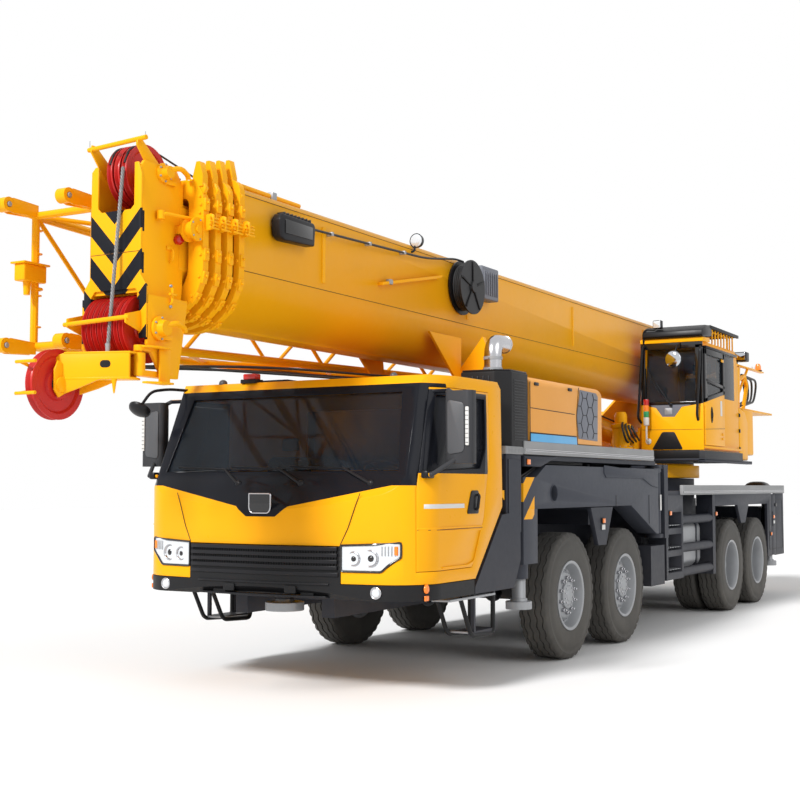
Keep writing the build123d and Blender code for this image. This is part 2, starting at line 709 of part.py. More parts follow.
def mudguards():
    """Fixed guards by the front wheels, the posts under the intake, step boxes, skirts and lockers."""
    y = BODY_HALF - SILVER_W
    solids = []
    middle = (AXLES_X[0] + AXLES_X[1]) / 2
    for s in (-1, 1):
        guard = [
            (middle - GUARD_HALF_TOP, ARM_Z0 - MOVE_GAP),
            (middle - GUARD_HALF_FOOT, GUARD_FOOT_Z - 90),
            (middle + GUARD_HALF_FOOT, GUARD_FOOT_Z - 90),
            (middle + GUARD_HALF_TOP, ARM_Z0 - MOVE_GAP),
        ]
        between = side_plate(guard, s * (BODY_HALF - 60), s * (BODY_HALF - 15))
        top_z = ARM_Z0 - MOVE_GAP
        between += block(middle - 300, middle + 300, s * 490, s * (BODY_HALF - 15), top_z - 20, top_z)
        between += block(middle - 90, middle + 90, s * 490, s * 540, RAIL_Z0 + 300, top_z)
        solids.append(between)
        step = [
            (POST_X[0], 1010),
            (POST_X[0], 1440),
            (CAB_REAR_X, CAB_REAR_CUT_Z - 70),
            (CAB_REAR_FOOT_X, CAB_FLOOR_Z - 70),
            (CAB_REAR_FOOT_X, BUMPER_Z0),
            (1400, BUMPER_Z0),
        ]
        post = side_plate(step, s * 1130, s * (BODY_HALF - 8))
        post += block(POST_X[0], POST_X[1], s * 1180, s * (BODY_HALF - 8), 1400, FRONT_DECK_Z)
        post += block(POST_X[0], POST_X[0] + 90, s * 490, s * 1200, 1150, 1230)
        post += block(STEP_X[0], STEP_X[1], s * 1190, s * (BODY_HALF - 18), STEP_Z, STEP_Z + 30)
        for x in STEP_X:
            post += block(x - 15, x + 15, s * (BODY_HALF - 48), s * (BODY_HALF - 18), STEP_Z, BUMPER_Z0 + 20)
        solids.append(post)
        skirt = block(SKIRT_X[0], SKIRT_X[1], s * 500, s * (BODY_HALF - 15), SKIRT_Z[0], SKIRT_Z[1])
        solids.append(skirt)
    return solids


def side_guards():
    """Ladders, posts and the three guard tubes on each side."""
    y = BODY_HALF - SILVER_W
    solids = []
    for s in (-1, 1):
        ladder = block(LADDER_X[0], LADDER_X[1], s * 1130, s * y, LADDER_Z0, REAR_DECK_Z)
        for z in LADDER_STEPS_Z:
            ladder -= block(LADDER_X[0] + 70, LADDER_X[1] - 70, s * 1200, s * (y + 10), z, z + 190)
        post_x = GUARD_TUBE_X[0]
        parts = [ladder, block(post_x - 120, post_x, s * 1130, s * y, GUARD_TUBES_Z[0] - 90, REAR_DECK_Z)]
        for z in GUARD_TUBES_Z:
            parts.append(cyl_x(post_x - 20, LADDER_X[0] + 20, s * (y - GUARD_TUBE_R), z, GUARD_TUBE_R))
        solids.append(fuse(parts))
    return solids


def fuel_tanks():
    """A rounded tank each side behind the guard tubes, hung from the deck."""
    solids = []
    for s in (-1, 1):
        tank = block(TANK_X[0], TANK_X[1], s * TANK_Y[0], s * TANK_Y[1], TANK_Z[0], TANK_Z[1])
        tank = fillet(tank.edges().filter_by(Axis.X), TANK_EDGE_R)
        middle_y = s * (TANK_Y[0] + TANK_Y[1]) / 2
        for x in (TANK_X[0] + 250, TANK_X[1] - 250):
            tank += block(x - 30, x + 30, middle_y - 60, middle_y + 60, TANK_Z[1] - 10, REAR_DECK_Z)
        tank += cyl_z(TANK_X[1] - 520, s * (TANK_Y[1] - 120), TANK_Z[1] - 30, TANK_Z[1] + 50, 55)
        solids.append(tank)
    return solids


def deck_rails():
    """The bright rails along the edges of both decks."""
    solids = []
    for s in (-1, 1):
        for (x0, x1), z in ((RAIL_FRONT_X, FRONT_DECK_Z + DECK_T), (RAIL_REAR_X, REAR_DECK_Z)):
            solids.append(block(x0, x1, s * (BODY_HALF - SILVER_W), s * BODY_HALF, z, z + SILVER_H))
    return solids


def tail_bar():
    """The bar across the tail that carries the lamps, on two brackets."""
    bar = block(TAIL_BAR_X, TAIL_BAR_X + 90, -1250, 1250, 700, 860)
    for s in (-1, 1):
        bar += block(TAIL_BAR_X + 60, FRAME_REAR_X + 20, s * 370, s * 490, 765, 845)
    return bar


def tow_jaw():
    """A cross member at the tail with two ears for a drop pin."""
    inner = RAIL_Y - RAIL_W / 2
    jaw = block(FRAME_REAR_X, FRAME_REAR_X + 100, -inner, inner, TOW_Z[0] - 40, TOW_Z[3] + 40)
    for z0, z1 in (TOW_Z[:2], TOW_Z[2:]):
        jaw += block(TOW_X, FRAME_REAR_X, -TOW_EAR_R, TOW_EAR_R, z0, z1)
        jaw += cyl_z(TOW_X, 0, z0, z1, TOW_EAR_R)
    return jaw - cyl_z(TOW_X, 0, TOW_Z[0] - 10, TOW_Z[3] + 10, TOW_R)


def engine_block():
    """The engine as one plain block between the rails."""
    return block(ENGINE_X[0], ENGINE_X[1], -ENGINE_Y, ENGINE_Y, ENGINE_Z[0], ENGINE_Z[1])


def engine_hood():
    """The hood over the engine: a shell open underneath, standing on the deck."""
    z0 = FRONT_DECK_Z + DECK_T
    outer = block(HOOD_X0, HOOD_X1, -HOOD_HALF, HOOD_HALF, z0, HOOD_Z1)
    tops = outer.edges().filter_by(Axis.X).sort_by(Axis.Z)[-2:]
    outer = fillet(tops, HOOD_EDGE_R)
    wall = HOOD_WALL
    outer -= block(
        HOOD_X0 + wall, HOOD_X1 - wall, -HOOD_HALF + wall, HOOD_HALF - wall, z0 - 10, HOOD_Z1 - wall
    )
    return outer - rail_room()


def rail_room():
    """The space that the front deck's bright rails take at the foot of the hood."""
    z0 = FRONT_DECK_Z + DECK_T
    room = block(HOOD_X0 - 50, INTAKE_X1 + 50, BODY_HALF - SILVER_W - SEAM, BODY_HALF, z0 - 20, z0 + SILVER_H + SEAM)
    return both_sides(room)


def intake_column():
    """The ribbed air column behind the cab, with its mirror twin as a cooler column."""
    solids = []
    for s in (-1, 1):
        plan = [
            (HOOD_X1 + SEAM, s * INTAKE_Y0),
            (INTAKE_X1, s * INTAKE_Y0),
            (INTAKE_X1, s * (HOOD_HALF - INTAKE_CHAMFER)),
            (INTAKE_X1 - INTAKE_CHAMFER, s * HOOD_HALF),
            (HOOD_X1 + SEAM, s * HOOD_HALF),
        ]
        column = plan_plate(plan, FRONT_DECK_Z + DECK_T, HOOD_Z1 + 20)
        if s > 0:
            column -= cyl_z(PIPE_X, PIPE_Y, HOOD_Z1 - 250, HOOD_Z1 + 60, PIPE_R + 2)
        solids.append(column - rail_room())
    return solids


def exhaust_pipe():
    """A pipe that rises from the column and bends to the rear."""
    bend_z = PIPE_TOP_Z - PIPE_R - PIPE_BEND_R
    start = Vector(PIPE_X, PIPE_Y, HOOD_Z1 - 240)
    rise = Vector(PIPE_X, PIPE_Y, bend_z)
    over = Vector(PIPE_X - PIPE_BEND_R, PIPE_Y, bend_z + PIPE_BEND_R)
    middle = Vector(
        PIPE_X - PIPE_BEND_R * (1 - math.cos(math.pi / 4)),
        PIPE_Y,
        bend_z + PIPE_BEND_R * math.sin(math.pi / 4),
    )
    path = Line(start, rise) + ThreePointArc(rise, middle, over) + Line(over, over + Vector(-90, 0, 0))
    ring = Plane(origin=start, z_dir=(0, 0, 1)) * (Circle(PIPE_R) - Circle(PIPE_R - PIPE_WALL))
    return sweep(ring, path=path)


def boom_rest():
    """The cradle on the hood: a leaning horn on the left, an upright on the right, a wing ahead of each."""
    base_z = HOOD_Z1
    rest = block(CRADLE_X - 250, CRADLE_X + 250, -CRADLE_Y[0] - CRADLE_UPRIGHT_W, CRADLE_Y[1] - 60, base_z, base_z + 40)
    for s, lean in ((1, CRADLE_Y[1] - CRADLE_Y[0]), (-1, CRADLE_UPRIGHT_W)):
        tip_y = s * (CRADLE_Y[0] + lean)
        horn = [
            (s * CRADLE_Y[0], base_z + 30),
            (s * CRADLE_Y[0], CRADLE_Z[0] + 80),
            (s * (CRADLE_Y[0] + lean * 0.8), CRADLE_Z[1]),
            (tip_y, CRADLE_Z[1] - 160),
            (s * (CRADLE_Y[0] + lean * 0.66), base_z + 30),
        ]
        rest += cross_plate(horn, CRADLE_X - CRADLE_T, CRADLE_X)
        wing = [
            (CRADLE_X - 10, base_z + 30),
            (CRADLE_X - 10, CRADLE_Z[1]),
            (CRADLE_X + CRADLE_WING, CRADLE_Z[1]),
            (CRADLE_X + 100, base_z + 30),
        ]
        rest += side_plate(wing, s * CRADLE_Y[0], s * (CRADLE_Y[0] + 25))
    return rest


# ================================================================ outriggers
def swing_arm(side):
    """A front outrigger arm on its upright pin, with the jack's tube at its front end."""
    s = side_of(side)
    outline = [
        (ARM_PIVOT_X + 110, ARM_HEEL_Z),
        (ARM_PIVOT_X + 190, ARM_HEEL_Z),
        (ARM_SLANT_X, ARM_Z0),
        (ARM_FRONT_X, ARM_Z0),
        (ARM_FRONT_X, ARM_Z1),
        (ARM_HUMP_X + 230, ARM_Z1),
        (ARM_HUMP_X, ARM_HUMP_Z),
        (ARM_PIVOT_X + 110, ARM_HUMP_Z),
    ]
    arm = side_plate(outline, s * ARM_Y0, s * ARM_Y1)
    neck = ARM_BOSS_R - 10
    arm += block(
        ARM_PIVOT_X, ARM_PIVOT_X + 130, s * (ARM_PIVOT_Y - neck), s * (ARM_PIVOT_Y + neck), ARM_HEEL_Z, ARM_HUMP_Z
    )
    arm += cyl_z(ARM_PIVOT_X, s * ARM_PIVOT_Y, ARM_HEEL_Z, ARM_HUMP_Z, ARM_BOSS_R)
    pin_z = (ARM_HEEL_Z - MOVE_GAP - LUG_T, ARM_HUMP_Z + MOVE_GAP + LUG_T)
    arm += cyl_z(ARM_PIVOT_X, s * ARM_PIVOT_Y, pin_z[0], pin_z[1], ARM_PIN_R)
    jack_box = block(FRONT_JACK_X - 180, ARM_FRONT_X, s * (ARM_Y0 + 5), s * (ARM_Y1 - 2), FRONT_JACK_Z0, ARM_Z0 + 20)
    arm += jack_box
    arm += cyl_z(FRONT_JACK_X, s * FRONT_JACK_Y, FRONT_JACK_Z0 - 130, ARM_Z0, JACK_R)
    arm -= cyl_z(FRONT_JACK_X, s * FRONT_JACK_Y, FRONT_JACK_Z0 - 140, ARM_Z1 - 15, JACK_ROD_R + 4)
    arm -= cyl_y(ARM_HOLE_X, s * ARM_Y0 / 2, s * 2 * ARM_Y1, ARM_HOLE_Z, ARM_HOLE_R)
    return arm


def jack_leg(x, y, float_z, top_z, float_r):
    """A jack's rod with its round foot."""
    leg = cyl_z(x, y, float_z, float_z + FLOAT_T, float_r)
    leg = leg + cyl_z(x, y, float_z + FLOAT_T - 5, float_z + FLOAT_T + 25, JACK_ROD_R + 15)
    return leg + cyl_z(x, y, float_z + FLOAT_T, top_z, JACK_ROD_R)


def front_jack(side):
    """The leg in a swing arm's tube."""
    y = side_of(side) * FRONT_JACK_Y
    return jack_leg(FRONT_JACK_X, y, FRONT_FLOAT_Z, ARM_Z1 - 40, FLOAT_R)


def rear_beam(side):
    """A rear outrigger beam with the jack's tube and the cover that closes the side panel."""
    s = side_of(side)
    x = BEAM_X[side]
    half = BEAM_W / 2
    inner_end = -s * (TUNNEL_HALF - 20)
    beam = block(x - half, x + half, inner_end, s * (REAR_JACK_Y - JACK_R + 20), BEAM_Z0, BEAM_Z1)
    hollow = half - BEAM_T
    beam -= block(
        x - hollow, x + hollow, inner_end - s * 10, s * (REAR_JACK_Y - JACK_R - 40), BEAM_Z0 + BEAM_T, BEAM_Z1 - BEAM_T
    )
    cover_y = s * (BODY_HALF - SILVER_W)
    top = REAR_DECK_Z - 10
    beam += cyl_z(x, s * REAR_JACK_Y, REAR_JACK_Z0, top, JACK_R)
    beam += block(x - half, x + half, cover_y - s * SIDE_T, cover_y, PANEL_Z0 + 10, top)
    for z in (REAR_JACK_Z0 + 40, top - 60):
        beam += block(x - half, x + half, s * REAR_JACK_Y, cover_y - s * 10, z - 20, z + 20)
    beam -= cyl_z(x, s * REAR_JACK_Y, PANEL_Z0, top - 15, JACK_ROD_R + 4)
    return beam


def rear_jack(side):
    """The leg in a rear beam's tube."""
    y = side_of(side) * REAR_JACK_Y
    return jack_leg(BEAM_X[side], y, REAR_FLOAT_Z, REAR_DECK_Z - 45, FLOAT_R)


def nose_jack():
    """The fifth leg, under the front of the cab."""
    return jack_leg(NOSE_JACK_X, 0, NOSE_FLOAT_Z, NOSE_TUBE_Z1 - 50, NOSE_FLOAT_R)


# ================================================================ driver's cab
def cab_outline(rear, side, middle, corner, front):
    """A face from one side's points in plan: straight sides, round corners, a bowed front."""
    def mirrored(point):
        return (point[0], -point[1])

    edges = [
        Line(mirrored(rear), mirrored(side)),
        ThreePointArc(mirrored(side), mirrored(middle), mirrored(corner)),
        ThreePointArc(mirrored(corner), front, corner),
        ThreePointArc(corner, middle, side),
        Line(side, rear),
        Line(rear, mirrored(rear)),
    ]
    return make_face(edges)


def cab_plan(inset):
    """The cab seen from above, up to its waist."""
    r = CAB_CORNER_R - inset
    middle_y = CAB_HALF - CAB_CORNER_R
    middle, corner = [
        (CAB_SIDE_X + r * math.cos(math.radians(turn)), middle_y + r * math.sin(math.radians(turn)))
        for turn in CAB_CORNER_TURN
    ]
    return cab_outline(
        (CAB_REAR_X + inset, CAB_HALF - inset), (CAB_SIDE_X, CAB_HALF - inset), middle, corner, (CAB_FRONT_X - inset, 0)
    )


def cab_crown(inset):
    """The cab seen from above, at its roof."""
    rear, side, middle, corner, front = CAB_CROWN
    return cab_outline(
        (rear[0] + inset, rear[1] - inset),
        (side[0], side[1] - inset),
        (middle[0] - 0.45 * inset, middle[1] - 0.9 * inset),
        (corner[0] - 0.9 * inset, corner[1] - 0.45 * inset),
        (front[0] - inset, front[1]),
    )


def cab_side(inset):
    """The cab seen from the side, drawn in by the wall's thickness."""
    lean = (SCREEN_FOOT_X - SCREEN_TOP_X) / (SCREEN_TOP_Z - SCREEN_FOOT_Z)
    screen_in = inset * math.hypot(1, lean)
    return [
        (CAB_REAR_FOOT_X + inset * 0.4, CAB_FLOOR_Z + inset),
        (CAB_REAR_X + inset, CAB_REAR_CUT_Z + inset * 0.4),
        (CAB_REAR_X + inset, CAB_ROOF_Z - 60 - inset * 0.4),
        (CAB_REAR_X + 60 + inset * 0.4, CAB_ROOF_Z - inset),
        (SCREEN_TOP_X - 80 - screen_in * 0.6, CAB_ROOF_Z - inset),
        (SCREEN_TOP_X - screen_in, SCREEN_TOP_Z),
        (SCREEN_FOOT_X - screen_in, SCREEN_FOOT_Z),
        (CAB_FRONT_X + 10 - inset, NOSE_TOP_Z - inset),
        (CAB_FRONT_X + 10 - inset, CAB_FLOOR_Z + inset),
    ]


def cab_body(inset):
    """The cab as one block with the grille's recess, drawn in by inset."""
    low_z = CAB_FLOOR_Z - 50
    body = extrude(Pos(0, 0, low_z) * cab_plan(inset), amount=CAB_WAIST_Z - low_z)
    body += loft([Pos(0, 0, CAB_WAIST_Z) * cab_plan(inset), Pos(0, 0, CAB_CROWN_Z) * cab_crown(inset)], ruled=True)
    half = GRILLE_HALF + SEAM + inset
    body -= block(CAB_SHELF_X - inset, CAB_FRONT_X + 100, -half, half, low_z - 10, BUMPER_TOP_Z + inset)
    return body & side_plate(cab_side(inset), -CAB_HALF - 10, CAB_HALF + 10)


def grown_plate(points, grow, y0, y1):
    """side_plate with its outline drawn out, or in when grow is below zero."""
    low, high = sorted((y0, y1))
    plane = Plane(origin=(0, high, 0), x_dir=(1, 0, 0), z_dir=(0, -1, 0))
    face = make_face(Polyline(*points, close=True))
    return extrude(plane * offset(face, amount=grow, kind=Kind.INTERSECTION), amount=high - low)


def screen_slab(depth, thickness, trim):
    """A slab in the windscreen's slope, narrower at the top; trim draws its outline in."""
    lean = (SCREEN_FOOT_X - SCREEN_TOP_X) / (SCREEN_TOP_Z - SCREEN_FOOT_Z)
    across = math.hypot(1, lean)
    low = SCREEN_LOW_Z + trim
    high = SCREEN_HIGH_Z - trim
    x_low = SCREEN_FOOT_X - (low - SCREEN_FOOT_Z) * lean - depth * across
    x_high = SCREEN_FOOT_X - (high - SCREEN_FOOT_Z) * lean - depth * across
    run = thickness * across
    half_low = SCREEN_LOW_HALF - trim
    half_high = SCREEN_HIGH_HALF - trim
    slope = side_plate([(x_low, low), (x_high, high), (x_high - run, high), (x_low - run, low)], -half_low, half_low)
    front = [(-half_low, low), (half_low, low), (half_high, high), (-half_high, high)]
    return slope & cross_plate(front, SCREEN_TOP_X - 400, SCREEN_FOOT_X + 200)


def cab_shell():
    """Floor, walls and roof, with the door openings and the windows cut."""
    shell = cab_body(0) - cab_body(CAB_WALL)
    for s in (-1, 1):
        shell -= grown_plate(DOOR_OUTLINE, SEAM, s * DOOR_INNER_Y, s * (CAB_HALF + 20))
    shell -= screen_slab(-60, CAB_WALL + 140, 0)
    shell -= block(
        CAB_REAR_X - 20, CAB_REAR_X + CAB_WALL + 20, -REAR_WINDOW_Y, REAR_WINDOW_Y, REAR_WINDOW_Z[0], REAR_WINDOW_Z[1]
    )
    shell -= cyl_z(NOSE_JACK_X, 0, CAB_FLOOR_Z - 20, CAB_FLOOR_Z + CAB_WALL + 20, JACK_R + MOVE_GAP)
    for s in (-1, 1):
        shell -= headlamp(s, SEAM)
    return shell


def cab_glass():
    """Windscreen and rear window."""
    inset = CAB_WALL / 2 - GLASS_T / 2
    trim = GLASS_FIT
    screen = screen_slab(inset, GLASS_T, trim)
    half = REAR_WINDOW_Y - trim
    low, high = REAR_WINDOW_Z
    rear = block(CAB_REAR_X + inset, CAB_REAR_X + inset + GLASS_T, -half, half, low + trim, high - trim)
    return [screen, rear]


def headlamp(s, grow):
    """A lamp that wraps round a front corner; grow is the air round it."""
    outline = [
        (s * (LAMP_Y[0] - grow), LAMP_Z[0] - grow),
        (s * (LAMP_Y[0] - grow), LAMP_Z[1] + grow),
        (s * (LAMP_Y[1] + grow), LAMP_TIP_Z[1] + grow),
        (s * (LAMP_Y[1] + grow), LAMP_TIP_Z[0] - grow),
        (s * (LAMP_Y[0] + 330), LAMP_Z[0] - grow),
    ]
    return cross_plate(outline, LAMP_X0 - grow, CAB_FRONT_X + 20) - prism(CAB_WALL, LAMP_Z[0] - 50, LAMP_TIP_Z[1] + 50)


def prism(inset, z0, z1):
    """The cab's plan as an upright prism."""
    return extrude(Pos(0, 0, z0) * cab_plan(inset), amount=z1 - z0)


def cab_bumper():
    """The bumper's band round the nose with side skirts, the grille over it and two brackets."""
    top = CAB_FLOOR_Z - SEAM
    band = side_plate(
        [
            (CAB_REAR_FOOT_X + 20, BUMPER_Z0),
            (CAB_FRONT_X - 90, BUMPER_Z0),
            (CAB_FRONT_X + 10, BUMPER_Z0 + 90),
            (CAB_FRONT_X + 10, top),
            (CAB_REAR_FOOT_X + 20, top),
        ],
        -CAB_HALF - 10,
        CAB_HALF + 10,
    )
    band += block(CAB_SHELF_X + SEAM, CAB_FRONT_X + 10, -GRILLE_HALF, GRILLE_HALF, top - 20, BUMPER_TOP_Z - SEAM)
    band = (band & prism(0, BUMPER_Z0 - 10, BUMPER_TOP_Z)) - prism(CAB_WALL, BUMPER_Z0 - 20, BUMPER_TOP_Z + 10)
    for s in (-1, 1):
        band += block(FRAME_FRONT_X, CAB_FRONT_X - 40, s * 370, s * 490, FRAME_DROP_Z1 - 90, FRAME_DROP_Z1)
        band -= cyl_x(FOG_X[0] - 50, FOG_X[1] + 80, s * FOG_Y, FOG_Z, FOG_R + 3)
    return band


def cab_lamps():
    """The two headlamps and the two fog lamps."""
    solids = []
    for s in (-1, 1):
        solids.append(headlamp(s, 0) & prism(0, LAMP_Z[0] - 20, LAMP_TIP_Z[1] + 20))
        solids.append(cyl_x(*FOG_X, s * FOG_Y, FOG_Z, FOG_R))
    return solids


def door_reach(s):
    """How far in and out a cutter for the door on one side goes."""
    return (s * DOOR_INNER_Y, s * (CAB_HALF + 20))


def cab_door(side):
    """A door cut from the cab's own wall, with its mirror, and the pane in the middle of its thickness."""
    s = side_of(side)
    wall = cab_body(0) - cab_body(CAB_WALL)
    panel = (wall & side_plate(DOOR_OUTLINE, *door_reach(s))) - side_plate(DOOR_WINDOW, *door_reach(s))
    inset = (CAB_WALL - GLASS_T) / 2
    skin = cab_body(inset) - cab_body(inset + GLASS_T)
    pane = skin & grown_plate(DOOR_WINDOW, -GLASS_FIT, *door_reach(s))
    return [panel + cab_mirror(side), pane]


def cab_mirror(side):
    """The mirror's housing on two arms from the door's frame."""
    s = side_of(side)
    y0, y1 = MIRROR_Y
    case = block(MIRROR_X[0], MIRROR_X[1], s * y0, s * y1, MIRROR_Z[0], MIRROR_Z[1])
    case = fillet(case.edges().filter_by(Axis.Z), 45)
    knee_y = s * (CAB_HALF + MIRROR_ARM_R + 4)
    middle_x = sum(MIRROR_X) / 2
    middle_y = s * (y0 + y1) / 2
    for (x, root_z), root_y, end_z in (
        (MIRROR_FOOT, MIRROR_ROOT_Y[0], MIRROR_Z[0] + 60),
        (MIRROR_TOP, MIRROR_ROOT_Y[1], MIRROR_Z[1] - 60),
    ):
        case += cyl_y(x, s * root_y, knee_y, root_z, MIRROR_ARM_R)
        case += Pos(x, knee_y, root_z) * Sphere(MIRROR_ARM_R)
        case += strut((x, knee_y, root_z), (middle_x, middle_y, end_z), MIRROR_ARM_R)
    return case


def cab_interior():
    """Two seats, and the dashboard with the steering wheel on its column."""
    floor = CAB_FLOOR_Z + CAB_WALL
    solids = []
    for s in (-1, 1):
        y = s * SEAT_Y
        seat = block(SEAT_X + 250, SEAT_X + 430, y - 150, y + 150, floor, SEAT_Z)
        seat += block(SEAT_X, SEAT_X + 500, y - 250, y + 250, SEAT_Z, SEAT_Z + 130)
        back = [
            (SEAT_X - 90, SEAT_Z + 720),
            (SEAT_X + 10, SEAT_Z + 720),
            (SEAT_X + 120, SEAT_Z + 60),
            (SEAT_X, SEAT_Z + 60),
        ]
        seat += side_plate(back, y - 240, y + 240)
        solids.append(seat)
    dash = block(DASH_X[0], DASH_X[1], -DASH_HALF, DASH_HALF, DASH_Z[0], DASH_Z[1])
    dash += block(DASH_X[1] - 60, DASH_X[1], -DASH_HALF, -DASH_HALF + 80, floor, DASH_Z[0])
    dash += block(DASH_X[1] - 60, DASH_X[1], DASH_HALF - 80, DASH_HALF, floor, DASH_Z[0])
    dash += strut((DASH_X[0] + 60, SEAT_Y, DASH_Z[1] - 80), WHEEL_CENTRE, 25)
    plane = Plane(origin=WHEEL_CENTRE, z_dir=(-0.5, 0, 0.87))
    dash += plane * Torus(215, 16)
    dash += plane * Cylinder(40, 30)
    dash += plane * Box(430, 36, 12)
    solids.append(dash - cyl_z(NOSE_JACK_X, 0, floor - 10, DASH_Z[1] + 10, JACK_R + MOVE_GAP))
    return solids


# ================================================================ upper works
def upper_frame():
    """Turntable, side plates that hold the boom's foot and the winches, rear deck, cab carrier."""
    plate_y = (CHEEK_Y - CHEEK_T / 2, CHEEK_Y + CHEEK_T / 2)
    deck_z = TAIL_Z1
    parts = [
        cyl_z(SLEW_X, 0, PEDESTAL_Z1 + MOVE_GAP, RING_Z1, RING_R),
        cyl_z(SLEW_X, 0, RING_Z1 - 5, PLATFORM_Z0 + 5, PEDESTAL_R),
        block(*PLATFORM_X, -PLATFORM_HALF, PLATFORM_HALF, PLATFORM_Z0, PLATFORM_Z0 + PLATFORM_T),
        block(CRANE_CAB_X0, CRANE_CAB_X1, PLATFORM_HALF - 5, CRANE_CAB_Y1, PLATFORM_Z0, CRANE_CAB_Z0),
        block(WINCH_DECK_X0, DECK_FRONT_X, -DECK_HALF, -plate_y[0], deck_z, deck_z + DECK_SHEET),
        block(WINCH_DECK_X0, DECK_FRONT_X, plate_y[0], DECK_HALF, deck_z, deck_z + DECK_SHEET),
        block(WINCH_DECK_X0, TAIL_X0 + 200, -CHEEK_Y, CHEEK_Y, deck_z - 60, deck_z),
    ]
    for s in (-1, 1):
        parts.append(side_plate(CHEEK_OUTLINE, s * plate_y[0], s * plate_y[1]))
        lug_x = (RAM_FOOT_X - RAM_EYE_R, RAM_FOOT_X + RAM_EYE_R)
        lug_y = (s * RAM_LUG_Y[0], s * RAM_LUG_Y[1])
        parts.append(block(*lug_x, *lug_y, PLATFORM_Z0 + PLATFORM_T - 5, RAM_FOOT_Z))
        parts.append(cyl_y(RAM_FOOT_X, *lug_y, RAM_FOOT_Z, RAM_EYE_R))
    parts.append(cyl_y(RAM_FOOT_X, -RAM_LUG_Y[1], RAM_LUG_Y[1], RAM_FOOT_Z, RAM_PIN_R))
    frame = fuse(parts)
    frame -= cyl_y(FOOT_X, -CHEEK_Y - CHEEK_T, CHEEK_Y + CHEEK_T, FOOT_Z, FOOT_PIN_R + FOOT_FIT)
    for x in (MAIN_WINCH_X, AUX_WINCH_X):
        frame -= cyl_y(x, -CHEEK_Y - CHEEK_T, CHEEK_Y + CHEEK_T, WINCH_Z, WINCH_SHAFT_R + FOOT_FIT)
    return frame


def counterweight():
    """Two heavy slabs beside the side plates, with round corners, joined at the rear."""
    slab = block(TAIL_X0, TAIL_X1, -TAIL_HALF, TAIL_HALF, TAIL_Z0, TAIL_Z1)
    corners = slab.edges().filter_by(Axis.Z).sort_by(Axis.X)[:2]
    slab = fillet(corners, TAIL_CORNER_R)
    inner = CHEEK_Y + CHEEK_T / 2
    slab -= block(TAIL_X0 + 70, TAIL_X1 + 10, -inner, inner, TAIL_Z0 - 10, TAIL_Z1 + 10)
    return slab - block(TAIL_X0 - 10, TAIL_X0 + 80, -inner, inner, TAIL_Z0 + 280, TAIL_Z1 + 10)


def winch_drum(x):
    """A drum with two flanges on its shaft."""
    drum = cyl_y(x, -WINCH_HALF, WINCH_HALF, WINCH_Z, WINCH_R)
    for s in (-1, 1):
        drum += cyl_y(x, s * WINCH_HALF, s * (WINCH_HALF + 25), WINCH_Z, WINCH_FLANGE_R)
    reach = CHEEK_Y + CHEEK_T / 2 - 5
    return drum + cyl_y(x, -reach, reach, WINCH_Z, WINCH_SHAFT_R)


# ================================================================ crane cab
def crane_cab_hull(inset):
    """The crane cab as one block, drawn in by inset."""
    return grown_plate(CRANE_CAB_OUTLINE, -inset, CRANE_CAB_Y0 + inset, CRANE_CAB_SKIN_Y - inset)


def crane_cab_windows(trim):
    """The blocks that cut the front, side, rear and roof windows; trim draws them in."""
    wall = CRANE_CAB_WALL
    y0 = CRANE_WINDOW_Y[0] + trim
    y1 = CRANE_WINDOW_Y[1] - trim
    side_x = (CRANE_SIDE_X[0] + trim, CRANE_SIDE_X[1] - trim)
    side_z = (CRANE_SIDE_Z[0] + trim, CRANE_SIDE_Z[1] - trim)
    roof_x = (CRANE_ROOF_X[0] + trim, CRANE_ROOF_X[1] - trim)
    front = block(
        CRANE_CAB_X1 - 165, CRANE_CAB_X1 + 20, y0, y1, CRANE_FRONT_Z[0] + trim, CRANE_FRONT_Z[1] - trim
    )
    side = block(*side_x, CRANE_CAB_Y0 - 10, CRANE_CAB_Y0 + wall + 10, *side_z)
    rear = block(
        CRANE_CAB_X0 - 10, CRANE_CAB_X0 + wall + 10, y0, y1, CRANE_REAR_Z[0] + trim, CRANE_REAR_Z[1] - trim
    )
    roof = block(*roof_x, y0 + 30, y1 - 30, CRANE_CAB_Z1 - wall - 10, CRANE_CAB_Z1 + 10)
    return [front, side, rear, roof]


def crane_cab_shell():
    """The crane cab's walls, its door rails and the guard over its roof."""
    wall = CRANE_CAB_WALL
    shell = crane_cab_hull(0) - crane_cab_hull(wall)
    for cutter in crane_cab_windows(0):
        shell -= cutter
    door = CRANE_DOOR_OUTLINE
    shell -= grown_plate(door, -CRANE_DOOR_LAP, CRANE_CAB_SKIN_Y - wall - 10, CRANE_CAB_SKIN_Y + 10)
    rail_y = (CRANE_CAB_SKIN_Y - 5, CRANE_CAB_Y1 - 4)
    door_z = (door[0][1], door[1][1])
    shell += block(CRANE_CAB_X0 + 10, CRANE_CAB_X1 - 10, *rail_y, door_z[0] - 40, door_z[0] - MOVE_GAP)
    shell += block(CRANE_CAB_X0 + 170, CRANE_CAB_X1 - 120, *rail_y, door_z[1] + MOVE_GAP, door_z[1] + 40)
    r = CRANE_GUARD_R
    guard = []
    x0, x1 = CRANE_GUARD_X
    for y in CRANE_WINDOW_Y:
        guard.append(cyl_x(x0 - 2 * r, x1 + 2 * r, y, CRANE_GUARD_Z - r, r))
        for x in CRANE_GUARD_X:
            guard.append(cyl_z(x, y, CRANE_CAB_Z1 - 10, CRANE_GUARD_Z - r, r - 3))
    steps = 4
    for i in range(steps):
        x = x0 + (x1 - x0) * (i + 0.5) / steps
        guard.append(cyl_y(x, *CRANE_WINDOW_Y, CRANE_GUARD_Z - r, r - 3))
    return fuse([shell] + guard)


